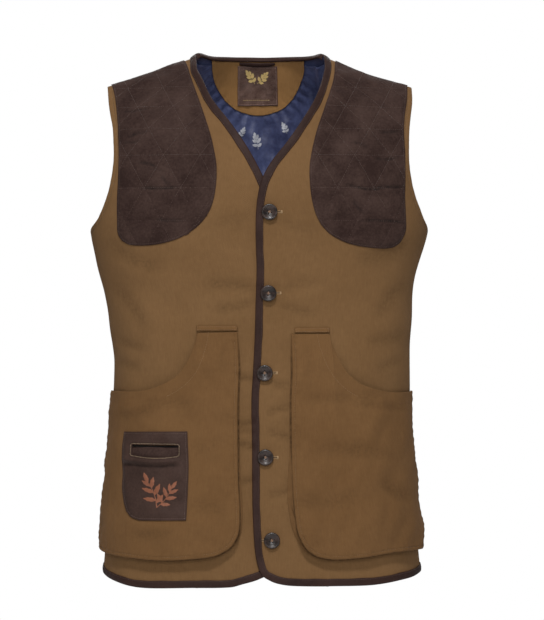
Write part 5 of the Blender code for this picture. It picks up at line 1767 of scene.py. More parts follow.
@dataclass
class Binding:
    """A soft leather strip folded over a cloth edge and sewn down."""

    name: str
    panel: Panel
    path: Line
    inner_spot: Array
    ends: str
    cut: Cut
    width: float = 0.0078
    inner_width: float = 0.0068
    inner_depth: float = OUT + TOUCH + LEATHER
    crown: float = 0.00035
    step: float = 0.0026
    sewn_at: float = 0.84

    def __post_init__(self) -> None:
        """Lay out the strip's path and its ways in from the edge."""
        length = span(self.path.spots[:-1], self.path.spots[1:]).sum()
        self.spots = self.path.fine(int(length / self.step))
        points = FORM.point(self.spots)
        into = unit(np.cross(FORM.normal(self.spots), np.gradient(points, axis=0)))
        middle = len(points) // 2
        if np.dot(into[middle], FORM.point(self.inner_spot) - points[middle]) < 0:
            into = -into
        round_way, down_way = FORM.ways(self.spots)
        run = np.arange(len(points))
        for end, kind in ((0, self.ends[0]), (len(points) - 1, self.ends[1])):
            seam_way = unit(down_way if kind == "s" else round_way)
            seam_way = np.sign(dot(into, seam_way))[:, None] * seam_way
            share = (1 - ease(np.abs(run - end) / END_POINTS))[:, None]
            into = unit((1 - share) * into + share * seam_way)
        self.into = into

    def section(self) -> tuple[Array, Array]:
        """Return the strip's section: how far in from the edge, and out from the cloth's middle.

        Returns:
            Both as arrays round the section, in metres.
        """
        turn = OUT + TOUCH + LEATHER
        flat = np.linspace(1.0, 0.0, 9)
        bend = np.linspace(QUARTER, -QUARTER, 9)[1:-1]
        rise = self.crown * np.sin(math.pi * np.clip(flat, 0.0, 1.0)) ** 0.8
        rise = rise - 0.0003 * bell(flat, self.sewn_at, 0.07)
        low = np.where(np.sin(bend) < 0, self.inner_depth, turn)
        inward = np.concatenate([flat * self.width, -turn * np.cos(bend), flat[::-2] * self.inner_width])
        out = np.concatenate([turn + rise, low * np.sin(bend), np.full(5, -self.inner_depth)])
        return inward, out

    def build(self, bench: Bench) -> None:
        """Make the strip and its stitches.

        Args:
            bench: Where the pieces are made.
        """
        inward, out = self.section()
        run = along_path(FORM.point(self.spots))
        wander, ripple = waves(run, *WANDER), waves(run, *RIPPLE)
        far = np.clip(inward / self.width, 0.0, 1.0)
        ways = self.into[:, None] * (inward[None] + wander[:, None] * far[None])[..., None]
        moved = FORM.moved(self.spots[:, None], ways)
        raised = out[None] + np.where(out[None] > 0, ripple[:, None] * np.sin(math.pi * far)[None], 0.0)
        points = self.panel.place(moved, raised)
        centre = self.panel.place(FORM.moved(self.spots, self.into * 0.003), 0.0)
        # Paler where the strip's edges are rubbed: wear
        wear_and_shade = bell(inward, self.width, 0.0009) + 0.6 * bell(inward, -0.0012, 0.0010)
        mark = np.clip(np.repeat(wear_and_shade[None], len(points), axis=0), 0.0, 1.0)
        bench.lay(f"leather_{self.name}", points, points - centre[:, None], LEATHER, Finish.BINDING,
                  slot=Slot.BINDING, nodes=(self.name,), cut=self.cut, mark=mark)
        stitches = Stitches(f"{self.name}_stitches", bench, Finish.DARK_THREAD, Slot.BINDING)
        line = FORM.moved(self.spots, self.into * (self.sewn_at * self.width))
        sewn(stitches, self.panel.place, line, OUT + TOUCH + LEATHER + 0.00004, pitch=0.0032, length=0.0022)
        stitches.done()


# Quilted shoulder patches

VIEWER_LEFT_PATCH_NECK = (
    Knot(-0.0894, -0.0156), Knot(-0.0762, -0.0532), Knot(-0.0644, -0.0892), Knot(-0.0569, -0.1242),
    Knot(-0.0560, -0.1415), Knot(-0.0573, -0.1587), Knot(-0.0606, -0.1758), Knot(-0.0666, -0.1913),
)
VIEWER_LEFT_PATCH_BOTTOM = (
    Knot(-0.0752, -0.2031), Knot(-0.0856, -0.2125), Knot(-0.1028, -0.2227), Knot(-0.1201, -0.2286),
    Knot(-0.1374, -0.2319), Knot(-0.1552, -0.2327), Knot(-0.1690, -0.2311), Knot(-0.1779, -0.2264),
)
VIEWER_LEFT_PATCH_ARM = (
    Knot(-0.1833, -0.2174), Knot(-0.1843, -0.2000), Knot(-0.1840, -0.1736), Knot(-0.1827, -0.1400),
    Knot(-0.1833, -0.1045), Knot(-0.1863, -0.0681), Knot(-0.1900, -0.0420),
)
VIEWER_RIGHT_PATCH_NECK = (
    Knot(0.0942, -0.0155), Knot(0.0821, -0.0530), Knot(0.0705, -0.0891), Knot(0.0630, -0.1242),
    Knot(0.0621, -0.1415), Knot(0.0631, -0.1587), Knot(0.0656, -0.1758), Knot(0.0703, -0.1929),
)
VIEWER_RIGHT_PATCH_BOTTOM = (
    Knot(0.0772, -0.2066), Knot(0.0892, -0.2185), Knot(0.1063, -0.2279), Knot(0.1236, -0.2329),
    Knot(0.1410, -0.2354), Knot(0.1585, -0.2366), Knot(0.1726, -0.2342), Knot(0.1800, -0.2285),
)
VIEWER_RIGHT_PATCH_ARM = (
    Knot(0.1849, -0.2160), Knot(0.1860, -0.1917), Knot(0.1858, -0.1571), Knot(0.1852, -0.1222),
    Knot(0.1845, -0.0957), Knot(0.1864, -0.0686), Knot(0.1905, -0.0420),
)
PATCH_TOP_NECK = 0.1000
PATCH_TOP_ARM = 0.1950
PATCH_STITCH_INSET = 0.0024

# Where the quilted leather has given way beside its lines.
PATCH_CREASES = (
    Fold(True, -0.1480, -0.1590, -0.1080, -0.1588, 0.0043, -0.0018, 0.0010),
    Fold(True, -0.1700, -0.0930, -0.1480, -0.0880, 0.0051, -0.0011, -0.0020),
    Fold(True, -0.1780, -0.0990, -0.1560, -0.0975, 0.0043, -0.0010, 0.0020),
    Fold(True, -0.1560, -0.1270, -0.1330, -0.1330, 0.0047, -0.0011, -0.0022),
    Fold(True, -0.1450, -0.1330, -0.1270, -0.1370, 0.0038, -0.0008, 0.0010),
    Fold(True, -0.1800, -0.0580, -0.1500, -0.0560, 0.0043, -0.0010, 0.0010),
    Fold(True, -0.1330, -0.1990, -0.1020, -0.2010, 0.0051, -0.0010, 0.0010),
    Fold(True, -0.1260, -0.1440, -0.1160, -0.1560, 0.0059, -0.0008, 0.0012),
    Fold(True, 0.1130, -0.1560, 0.1480, -0.1612, 0.0044, -0.0017, 0.0012),
    Fold(True, 0.1440, -0.1604, 0.1800, -0.1576, 0.0043, -0.0018, -0.0012),
    Fold(True, 0.1330, -0.2010, 0.1800, -0.2030, 0.0044, -0.0015, -0.0012),
    Fold(True, 0.1480, -0.1220, 0.1760, -0.1190, 0.0051, -0.0011, 0.0020),
    Fold(True, 0.1540, -0.0860, 0.1790, -0.0830, 0.0047, -0.0011, 0.0018),
    Fold(True, 0.1180, -0.1010, 0.1380, -0.1080, 0.0051, -0.0008, -0.0014),
    Fold(True, 0.1180, -0.1760, 0.1320, -0.1900, 0.0059, -0.0008, 0.0016),
)


class QuiltRow(NamedTuple):
    """A level row of the quilting: its height, and how far out its first crossing lies."""

    height: float
    out: float


QUILT_ROWS = (
    QuiltRow(0.0500, 0.1640), QuiltRow(0.0240, 0.1505), QuiltRow(-0.0020, 0.1369), QuiltRow(-0.0259, 0.1253),
    QuiltRow(-0.0523, 0.1112), QuiltRow(-0.0826, 0.0951), QuiltRow(-0.1170, 0.0752),
    QuiltRow(-0.1589, 0.0533), QuiltRow(-0.2010, 0.0321), QuiltRow(-0.2435, 0.0105),
)


@dataclass(frozen=True)
class Quilting:
    """Three sets of sewn lines that cross in triangles, and the wadding that swells between them."""

    side: float = 0.0468
    slant: float = 0.87
    puff: float = 0.0009
    groove: float = 0.0018
    pillow: float = 0.014
    pucker: float = 0.00030
    pucker_off: float = 0.003
    pucker_reach: float = 0.0032
    high: float = 0.012
    fade: float = 0.045
    faint: float = -0.145
    near: float = 0.042
    far: float = 0.206

    def rows(self, height: Array) -> tuple[Array, Array, Array]:
        """Find the rows at heights.

        Args:
            height: Heights on the form.

        Returns:
            The number of the row, how far out its first crossing lies, and the rows' spacing.
        """
        table = np.array(QUILT_ROWS)[::-1]
        numbers = np.arange(len(table))[::-1].astype(float)
        gaps = -np.gradient(table[:, 0][::-1])[::-1]
        level = np.interp(height, table[:, 0], numbers)
        return level, np.interp(height, table[:, 0], table[:, 1]), np.interp(height, table[:, 0], gaps)

    def crossings(self, spots: Array) -> tuple[Array, Array]:
        """Find where spots lie in the three sets of lines.

        Args:
            spots: Spots of the front.

        Returns:
            Their places in the sets, a line being at each whole number, and the lines' spacing.
        """
        points = FORM.point(spots)
        level, out, gap = self.rows(points[..., 2])
        beside = (np.abs(points[..., 0] - TOP.centre) - out) / self.side
        slanting = np.full(gap.shape, self.side * self.slant)
        spacing = np.stack([gap, slanting, slanting], axis=-1)
        return np.stack([level, beside, beside - level], axis=-1), spacing

    def lift(self, spots: Array) -> tuple[Array, Array]:
        """Return the swelling at spots, and their distance from the nearest line.

        Args:
            spots: Spots of the front.

        Returns:
            Both in metres.
        """
        lines, spacing = self.crossings(spots)
        off = np.abs(lines - np.round(lines)) * spacing
        distance = off.min(axis=-1)
        groove = 1 - bell(distance, 0.0, self.groove)
        pillow = 1 - (1 - np.clip(distance / self.pillow, 0.0, 1.0)) ** 2
        height = FORM.point(spots)[..., 2]
        low = 1 - ease((height - FORM.ridge(spots[..., 0]) + self.fade) / (self.fade - self.high))
        swell = self.puff * (0.55 * groove + 0.45 * pillow) * (0.15 + 0.85 * low)
        nearby = np.argmin(off, axis=-1)
        other = np.take_along_axis(lines, ((nearby + 1) % 3)[..., None], axis=-1)[..., 0]
        beat = np.sin(2 * math.pi * other * 5.0 + 2.0 * np.sin(other * 9.0) + nearby)
        swell = swell + self.pucker * beat * bell(distance, self.pucker_off, self.pucker_reach) * low
        return swell, distance

    def lines(self, side: int) -> list[Array]:
        """Return the sewn lines on one side, each as spots.

        Args:
            side: 1 for the viewer's right, -1 for the left.

        Returns:
            Each line's spots.
        """
        heights = np.linspace(QUILT_ROWS[-1].height, 0.040, 700)
        level, out, _ = self.rows(heights)
        lines = []
        for number in range(-6, 12):
            for slant in (0.0, 1.0):
                across = out + (number - 4.0 + slant * (level - 4.0)) * self.side
                lines.append((across, heights))
        for row in QUILT_ROWS:
            lines.append((np.linspace(0.040, self.far, 400), np.full(400, row.height)))
        spots = []
        for across, height in lines:
            ridge = FORM.ridge(FORM.angle_for(across / TOP.half))
            near = (across > self.near) & (across < self.far) & (height < ridge - 0.0005)
            if near.sum() > 8:
                spots.append(FORM.spot(np.stack([TOP.centre + side * across[near], height[near]], axis=-1)))
        return spots


@dataclass
class ShoulderPatch:
    """A quilted suede patch, sewn over the front at the shoulder."""

    front: FrontPanel
    neck: Sequence[Knot]
    bottom: Sequence[Knot]
    arm: Sequence[Knot]
    cut: Cut
    quilting: Quilting = Quilting()
    columns: int = 108
    rows: int = 164
    flat_rim: float = 0.007
    edge_fall: float = 0.0005
    edge_reach: float = 0.0011
    deepest: float = 0.0012

    def __post_init__(self) -> None:
        """Draw the outline."""
        side = self.front.face.side
        shares = np.array([PATCH_TOP_NECK, PATCH_TOP_ARM]) / TOP.half
        angles = side * FORM.angle_for(shares)
        top = np.stack([angles, np.full(2, 2 * SEAM)], axis=-1)
        bottom = front(*self.bottom)
        inner = smooth(np.vstack([top[:1], front(*self.neck), bottom[:1]])).turned()
        outer = smooth(np.vstack([bottom[-1:], front(*self.arm), top[1:]]))
        self.outline = Outline(smooth(bottom), Line(top), inner, outer)

    def over(self, spots: Array, out: Array | float) -> Array:
        """Return points at a distance above the quilted face.

        Args:
            spots: Spots of the vest's form.
            out: The distance, in metres.

        Returns:
            The points, one for each spot.
        """
        points = FORM.point(spots)
        rim, along = nearest(points, FORM.point(self.outline.rim()))
        swell, _ = self.quilting.lift(spots)
        edge = Seam(PATCH_STITCH_INSET, depth=0.00035, width=0.0009, pucker=0.00010, pitch=0.009, reach=0.004)
        loose = Rumple(17, 0.045, 0.011, 0.00026).lift(points)
        full = ease(rim / self.flat_rim) * (swell + creased(PATCH_CREASES, spots) + loose)
        raised = TOUCH + PATCH + np.maximum(full + edge.lift(rim, along) * (rim < 0.01), -0.0001)
        raised = raised - self.edge_fall * ease(1 - rim / self.edge_reach)
        return self.front.panel.above(spots, raised + out)

    def build(self, bench: Bench) -> None:
        """Make the patch.

        Args:
            bench: Where the pieces are made.
        """
        word = self.front.face.value
        spots = self.outline.grid(graded(self.columns, 0.25), graded(self.rows, 0.15))
        # Marked by the creases' depth: painted shade in the creases
        mark = np.clip(-creased(PATCH_CREASES, spots) / self.deepest, 0.0, 1.0)
        bench.lay(f"quilted_patch_{word}", self.over(spots, 0.0), FORM.normal(spots), PATCH, Finish.SUEDE,
                  slot=Slot.SUEDE, nodes=(f"shoulder_patch_{word}",), cut=self.cut, mark=mark)

    def sew(self, bench: Bench) -> None:
        """Sew the rim and the quilting's lines.

        Args:
            bench: Where the pieces are made.
        """
        word = self.front.face.value
        stitches = Stitches(f"patch_stitches_{word}", bench, Finish.DARK_THREAD, Slot.SUEDE)
        rim = self.outline.rim()
        line = inset(rim, PATCH_STITCH_INSET, self.outline.middle())
        sewn(stitches, self.over, line, -0.00002, pitch=0.0028, length=0.0019)
        for spots in self.quilting.lines(self.front.face.side):
            points = FORM.point(spots)
            keep = inside(spots, rim[:-1]) & (nearest(points, FORM.point(rim))[0] > 0.003)
            if keep.sum() > 3:
                sunk = 0.00004 - 0.00018 * ease((self.quilting.faint - points[..., 2]) / 0.040)
                sewn(stitches, self.over, spots, sunk, pitch=0.0030, length=0.0026, radius=0.00026, keep=keep)
        stitches.done()


# Bellows pockets

class Depth(NamedTuple):
    """How far a pocket's front wall stands off at a height, and its share of that at the side seam."""

    height: float
    stand: float
    at_side: float


POCKET_DEPTHS = (
    Depth(-0.640, 0.0130, 0.56),
    Depth(-0.605, 0.0158, 0.57),
    Depth(-0.560, 0.0140, 0.55),
    Depth(-0.500, 0.0115, 0.37),
    Depth(-0.450, 0.0100, 0.28),
    Depth(-0.420, 0.0092, 0.12),
    Depth(-0.380, 0.0078, 0.12),
    Depth(-0.343, 0.0019, 0.12),
)
VIEWER_LEFT_POCKET_EDGE = (
    Knot(-0.0299, -0.3436), Knot(-0.0290, -0.4687), Knot(-0.0281, -0.5361), Knot(-0.0262, -0.5720),
    Knot(-0.0275, -0.5994), Knot(-0.0345, -0.6150),
)
VIEWER_LEFT_POCKET_BOTTOM = (
    Knot(-0.0418, -0.6221), Knot(-0.0549, -0.6290), Knot(-0.0740, -0.6328), Knot(-0.1204, -0.6365),
    Knot(-0.1704, -0.6341),
)
VIEWER_LEFT_POCKET_MOUTH = (
    Knot(-0.0812, -0.3446), Knot(-0.0852, -0.3625), Knot(-0.0961, -0.3873), Knot(-0.1118, -0.4046),
    Knot(-0.1354, -0.4165), Knot(-0.1578, -0.4207), Knot(-0.1800, -0.4211),
)
VIEWER_RIGHT_POCKET_EDGE = (
    Knot(0.0387, -0.3460), Knot(0.0387, -0.4305), Knot(0.0395, -0.5324), Knot(0.0423, -0.5700),
    Knot(0.0460, -0.5980), Knot(0.0530, -0.6150),
)
VIEWER_RIGHT_POCKET_BOTTOM = (
    Knot(0.0600, -0.6240), Knot(0.0720, -0.6310), Knot(0.0933, -0.6347), Knot(0.1278, -0.6329),
    Knot(0.1700, -0.6280),
)
VIEWER_RIGHT_POCKET_MOUTH = (
    Knot(0.0881, -0.3460), Knot(0.0917, -0.3615), Knot(0.1044, -0.3896), Knot(0.1200, -0.4063),
    Knot(0.1372, -0.4152), Knot(0.1620, -0.4212), Knot(0.1816, -0.4224),
)
POCKET_BOTTOM_AT_SIDE = -0.6290
POCKET_MOUTH_AT_SIDE = -0.4215
POCKET_SIDE_TURN = 0.060    # from the side seam to the pocket's end, as an angle
POCKET_STITCH_INSET = 0.0042
FACING_STITCH_INSET = 0.0165

# The bellows from the front wall's edge to the panel: how far outside, and the share of the depth.
BELLOWS = (
    (-0.0008, 0.84), (-0.0016, 0.80), (-0.0028, 0.74), (-0.0040, 0.68), (-0.0036, 0.61),
    (-0.0018, 0.54), (-0.0020, 0.46), (-0.0038, 0.37), (-0.0040, 0.28), (-0.0024, 0.19),
    (-0.0004, 0.11), (0.0011, 0.05), (0.0022, 0.0),
)

POCKET_CREASES = (
    Fold(True, 0.060, -0.4290, 0.150, -0.4240, 0.0180, -0.0012, 0.002),
    Fold(True, 0.075, -0.4950, 0.165, -0.5030, 0.0240, -0.0014, -0.003),
    Fold(True, 0.050, -0.5610, 0.120, -0.5540, 0.0260, -0.0012, 0.004),
    Fold(True, 0.120, -0.4390, 0.180, -0.4450, 0.0140, -0.0014, -0.002),
    Fold(True, 0.150, -0.5350, 0.188, -0.5600, 0.0200, -0.0017, 0.003),
    Fold(True, -0.080, -0.4340, -0.160, -0.4390, 0.0200, -0.0012, 0.002),
    Fold(True, -0.050, -0.4860, -0.086, -0.4900, 0.0220, -0.0010, -0.002),
    Fold(True, -0.045, -0.5730, -0.085, -0.5660, 0.0240, -0.0012, 0.003),
    Fold(True, -0.140, -0.4450, -0.182, -0.4520, 0.0140, -0.0014, -0.002),
    Fold(True, -0.110, -0.6020, -0.160, -0.6060, 0.0160, -0.0014, 0.001),
    Fold(True, -0.046, -0.3620, -0.050, -0.3960, 0.0100, -0.0008, 0.001),
    Fold(True, 0.058, -0.3640, 0.063, -0.4000, 0.0100, -0.0008, -0.001),
)


class Strip(NamedTuple):
    """A four-sided strip in the front view."""

    left: float
    right: float
    top: float
    bottom: float

    def grid(self, columns: int, rows: int, on_front: bool = True) -> Array:
        """Return the strip's spots, from its bottom left.

        Args:
            columns, rows: How many cells.
            on_front: Whether it lies on the front.

        Returns:
            The spots, by row and column.
        """
        across = np.linspace(self.left, self.right, columns + 1)
        up = np.linspace(self.bottom, self.top, rows + 1)
        return FORM.spot(np.stack(np.meshgrid(across, up), axis=-1), in_front=on_front)

    def ring(self, margin: float, on_front: bool = True) -> Array:
        """Return the spots once round the strip, inside it by a margin.

        Args:
            margin: How far inside, in metres.
            on_front: Whether it lies on the front.

        Returns:
            The spots, with the first again at the end.
        """
        left, right = self.left + margin, self.right - margin
        top, bottom = self.top - margin, self.bottom + margin
        corners = np.array([[left, bottom], [right, bottom], [right, top], [left, top], [left, bottom]])
        t = np.linspace(0.0, 1.0, 40)[:, None]
        sides = [first + t * (last - first) for first, last in zip(corners, corners[1:])]
        return FORM.spot(np.vstack(sides), in_front=on_front)

    def centre(self) -> Array:
        """Return the strip's middle."""
        return np.array([(self.left + self.right) / 2, (self.top + self.bottom) / 2])

    def half(self) -> Array:
        """Return half the strip's width and height."""
        return np.array([(self.right - self.left) / 2, (self.top - self.bottom) / 2])


@dataclass
class BellowsPocket:
    """A cartridge pocket: a front wall with a pinched edge, folded bellows, and a bar on its tongue."""

    front: FrontPanel
    edge: Sequence[Knot]
    bottom: Sequence[Knot]
    mouth: Sequence[Knot]
    bar: Strip
    cut: Cut
    bellows_cut: Cut
    corner_out: float = 0.0
    corner_run: float = 0.215
    edge_share: float = 0.80
    edge_sink: float = 0.12
    edge_sink_reach: float = 0.006
    ridge: float = 0.0008
    ridge_inset: float = 0.0019
    ridge_width: float = 0.0011
    mouth_fall: float = 0.0003
    mouth_reach: float = 0.0014
    bellows_cloth: float = 0.0009
    bar_cloth: float = 0.0014
    bar_height: float = 0.0030
    bar_step: float = 0.0011
    columns: int = 112
    rows: int = 122

    def __post_init__(self) -> None:
        """Draw the outline."""
        side = self.front.face.side
        angle = side * (SIDE_ANGLE - POCKET_SIDE_TURN)
        low = np.array([[angle, front(Knot(side, POCKET_BOTTOM_AT_SIDE))[0, 1]]])
        high = np.array([[angle, front(Knot(side, POCKET_MOUTH_AT_SIDE))[0, 1]]])
        inner = smooth(np.vstack([front(*self.edge), front(self.bottom[0])])).turned()
        lower = smooth(np.vstack([front(*self.bottom), low]))
        bar = smooth(np.vstack([inner.spots[-1:], front(self.mouth[0])]))
        self.mouth_line = smooth(np.vstack([front(*self.mouth), high]))
        upper = Line.joined(bar, self.mouth_line, 4 / 14)
        self.outline = Outline(lower, upper, inner, Line(np.vstack([low, high])))
        closed = Line(np.vstack([inner.turned().spots, lower.spots[1:], self.outline.right.spots[1:]]))
        self.closed = closed.fine(300)
        self.rim = FORM.point(closed.fine(1800))

    def stand(self, spots: Array) -> Array:
        """Return how far the middle of the front wall stands off the form.

        Args:
            spots: Spots of the vest's form.

        Returns:
            The distances, in metres.
        """
        points = FORM.point(spots)
        table = np.array(POCKET_DEPTHS)
        stand = np.interp(points[..., 2], table[:, 0], table[:, 1])
        wide = np.abs(points[..., 0])
        at_side = np.interp(points[..., 2], table[:, 0], table[:, 2])
        share = 1 - (1 - at_side) * ease((wide - 0.120) / 0.075)
        share = share - (1 - self.edge_share) * ease((0.070 - wide) / 0.050)
        least = POCKET_DEPTHS[-1].stand
        return least + (stand - least) * share

    def slack(self, spots: Array) -> Array:
        """Return how the wall's creases and slack move it out or in.

        Args:
            spots: Spots of the vest's form.

        Returns:
            The distances, in metres.
        """
        points = FORM.point(spots)
        free = ease((self.stand(spots) - POCKET_DEPTHS[-1].stand) / 0.004)
        loose = Rumple(31 + self.front.face.side, 0.070, 0.020, 0.00045).lift(points)
        return free * (creased(POCKET_CREASES, spots) + loose)

    def over(self, spots: Array, out: Array | float) -> Array:
        """Return points at a distance above the front wall.

        Args:
            spots: Spots of the vest's form.
            out: The distance, in metres.

        Returns:
            The points, one for each spot.
        """
        points = FORM.point(spots)
        stand = self.stand(spots)
        distance, along = nearest(points, self.rim)
        least = POCKET_DEPTHS[-1].stand
        sink = -(stand - least) * self.edge_sink * ease(1 - distance / self.edge_sink_reach)
        ridge = self.ridge * bell(distance, self.ridge_inset, self.ridge_width)
        ridge = ridge * (1 + 0.25 * np.sin(along * 420.0 + 2 * np.sin(along * 77.0)))
        groove = Seam(
            POCKET_STITCH_INSET, depth=0.00045, width=0.0009, pucker=0.00030, pitch=0.0095, reach=0.0075)
        mouth, beside = nearest(points, FORM.point(self.mouth_line.fine(600)))
        facing = Seam(FACING_STITCH_INSET, depth=0.00022, width=0.0010, pucker=0.00016, pitch=0.011)
        raised = stand + CLOTH / 2 + self.slack(spots) + sink + ridge + groove.lift(distance, along)
        raised = raised + facing.lift(mouth, beside) * (mouth < 0.04)
        raised = raised - self.mouth_fall * ease(1 - mouth / self.mouth_reach)
        return self.front.panel.place(spots, raised + out)

    def build(self, bench: Bench) -> None:
        """Make the front wall, the bellows and the bar.

        Args:
            bench: Where the pieces are made.
        """
        word = self.front.face.value
        spots = self.outline.grid(graded(self.columns, 0.5), graded(self.rows, 0.4))
        distance, _ = nearest(FORM.point(spots), self.rim)
        # Painted shade: darker along the groove of the pinched edge's stitching and in the creases
        wear_and_shade = np.clip(-creased(POCKET_CREASES, spots) / 0.0026, 0.0, 1.0)
        mark = np.maximum(0.45 * bell(distance, 0.0045, 0.0008), wear_and_shade)
        bench.lay(f"pocket_wall_{word}", self.over(spots, 0.0), FORM.normal(spots), CLOTH, Finish.POCKET,
                  slot=Slot.MOLESKIN, nodes=(f"pocket_{word}",), cut=self.cut, mark=mark)
        self._bellows(bench, f"pocket_bellows_{word}")
        self._bar(bench, word)

    def _bellows(self, bench: Bench, name: str) -> None:
        """Make the folded strip between the front wall and the panel.

        Args:
            bench: Where the pieces are made.
            name: The piece's name.
        """
        points, away = FORM.point(self.closed), self._away()
        section = np.array(BELLOWS)
        t = np.linspace(0.0, 1.0, 31)
        knots = np.linspace(0.0, 1.0, len(section))
        outset, share = (np.interp(t, knots, section[:, axis]) for axis in (0, 1))
        kernel = np.hanning(7)[1:-1] / np.hanning(7).sum()
        outset = np.convolve(np.pad(outset, 2, mode="edge"), kernel, mode="valid")
        run = along_path(points)
        loose = ease((self.stand(self.closed) - POCKET_DEPTHS[-1].stand) / 0.006)
        sway = 0.0007 * np.sin(run * 38.0 + 1.2 * np.sin(run * 21.0)) + 0.0005 * np.sin(run * 131.0)
        away_from_side = 1 - ease((np.abs(points[:, 0]) - 0.165) / 0.020)
        outset = outset[None] - 0.0030 * (1 - away_from_side)[:, None]
        corner = bell(run, self.corner_run, 0.045) * self.corner_out
        fold = np.sin(math.pi * t) ** 2
        swayed = (loose * sway * away_from_side)[:, None] * fold[None]
        folded = 1 + 0.5 * np.sin(run * 150.0)[:, None] * fold[None]
        outset = outset * (0.25 + 0.75 * loose[:, None]) + swayed
        outset = outset + corner[:, None] * t[None] ** 0.7 * folded
        least = TOUCH + CLOTH
        wall = self.stand(self.closed) + np.minimum(self.slack(self.closed), 0.0) + CLOTH / 2
        stand = OUT + least + (wall[:, None] - OUT - least) * share[None]
        spots = FORM.moved(self.closed[:, None], away[:, None] * outset[..., None])
        grid = self.front.panel.place(spots, stand - 0.0003)
        outward = away[:, None] + 0.4 * FORM.normal(self.closed)[:, None] + 0 * grid
        # Painted shade: the bellows is darkened from the wall's edge almost to the panel, less at the
        # standing corner and where the pocket lies flat
        shaded = 0.94 - 0.60 * corner / max(self.corner_out, 0.005)
        wear_and_shade = (1 - ease((t[None] - shaded[:, None]) / 0.07)) * (0.10 + 0.90 * loose[:, None])
        bench.lay(name, grid, outward, self.bellows_cloth, Finish.BELLOWS, slot=Slot.MOLESKIN,
                  cut=self.bellows_cut, mark=wear_and_shade)

    def _away(self) -> Array:
        """Return the ways out from the front wall's edge, evened out along it.

        Returns:
            A vector for each spot of the edge.
        """
        points = FORM.point(self.closed)
        away = unit(np.cross(FORM.normal(self.closed), np.gradient(points, axis=0)))
        if np.dot(away[60], FORM.point(self.outline.middle()) - points[60]) > 0:
            away = -away
        kernel = np.hanning(15) / np.hanning(15).sum()
        padded = np.vstack([np.repeat(away[:1], 7, axis=0), away, np.repeat(away[-1:], 7, axis=0)])
        evened = [np.convolve(padded[:, axis], kernel, mode="valid") for axis in range(3)]
        return unit(np.stack(evened, axis=-1))

    def _bar(self, bench: Bench, word: str) -> None:
        """Make the bar that holds the tongue's top.

        Args:
            bench: Where the pieces are made.
            word: The pocket's side.
        """
        grid = self.bar.grid(56, 14)
        bench.lay(f"pocket_bar_strip_{word}", self.over_bar(grid, 0.0), FORM.normal(grid), self.bar_cloth,
                  Finish.POCKET, slot=Slot.MOLESKIN, nodes=(f"pocket_bar_{word}",))

    def sew(self, bench: Bench) -> None:
        """Sew the pinched edge, the mouth's facing and the bar.

        Args:
            bench: Where the pieces are made.
        """
        word = self.front.face.value
        stitches = Stitches(f"pocket_stitches_{word}", bench, Finish.TAN_THREAD, Slot.MOLESKIN)
        middle = self.outline.middle()
        seam = inset(self.closed[5:236], POCKET_STITCH_INSET, middle)
        sewn(stitches, self.over, seam, 0.00002, pitch=0.0031, length=0.0022)
        facing = inset(self.mouth_line.fine(200)[:64], FACING_STITCH_INSET, middle)
        sewn(stitches, self.over, facing, 0.00002, pitch=0.0031, length=0.0021)
        sewn(stitches, self.over_bar, self.bar.ring(0.0014), 0.00004, pitch=0.0028, length=0.0020)
        stitches.done()

    def over_bar(self, spots: Array, out: Array | float) -> Array:
        """Return points at a distance above the bar, which steps down from the tongue to the panel.

        Args:
            spots: Spots of the vest's form.
            out: The distance, in metres.

        Returns:
            The points, one for each spot.
        """
        points = FORM.point(spots)
        up = (points[..., 2] - self.bar.bottom) / (self.bar.top - self.bar.bottom)
        beside = np.minimum(points[..., 0] - self.bar.left, self.bar.right - points[..., 0])
        rim = np.minimum(np.minimum(up, 1 - up) * (self.bar.top - self.bar.bottom), beside)
        seam = -0.00030 * bell(rim, 0.0014, 0.0006) - 0.0009 * ease(1 - rim / 0.0013)
        wear_and_shade = Rumple(41, 0.020, 0.006, 0.00012).lift(points)
        raised = self.bar_height - self.bar_step * ease(up) + seam + wear_and_shade
        return self.front.panel.above(spots, raised + out)


# The small leather pocket

TICKET_LEFT = (Knot(-0.1720, -0.4732), Knot(-0.1714, -0.5221), Knot(-0.1700, -0.5600))
TICKET_RIGHT = (Knot(-0.0917, -0.4714), Knot(-0.0896, -0.5223), Knot(-0.0918, -0.5847))
TICKET_BOTTOM = (Knot(-0.1652, -0.5745), Knot(-0.1582, -0.5825), Knot(-0.1478, -0.5862))
TICKET_SLOT = Strip(-0.1578, -0.1022, -0.4893, -0.5043)
TICKET_STITCH_INSET = 0.0026
SLOT_STITCH_OUT = 0.0014
SLOT_STITCH_RADIUS = 0.0030

# The soft fold that hangs below the slot.
HANG_HEIGHT = -0.5082
HANG_BOW = 0.0026
HANG_MIDDLE = -0.131
HANG_HALF = 0.034
HANG_FROM = -0.174
HANG_TO = -0.097
HANG_FADE = 0.012

# What lies behind the slot: its shade, and the welt.
SLOT_SHADE = Strip(
    TICKET_SLOT.left - 0.001, TICKET_SLOT.right + 0.001, TICKET_SLOT.top - 0.0007, TICKET_SLOT.bottom)
WELT = Strip(
    TICKET_SLOT.left - 0.003, TICKET_SLOT.right + 0.003, TICKET_SLOT.top - 0.0026, TICKET_SLOT.bottom - 0.003)


def rounded_distance(places: Array, strip: Strip, radius: float) -> Array:
    """Return how far places lie outside a rounded strip, below 0 inside it.

    Args:
        places: Places across and up.
        strip: The strip.
        radius: Of its corners.

    Returns:
        The distances, in metres.
    """
    off = np.abs(places - strip.centre()) - (strip.half() - radius)
    return np.linalg.norm(np.maximum(off, 0.0), axis=-1) + np.minimum(off.max(axis=-1), 0.0) - radius


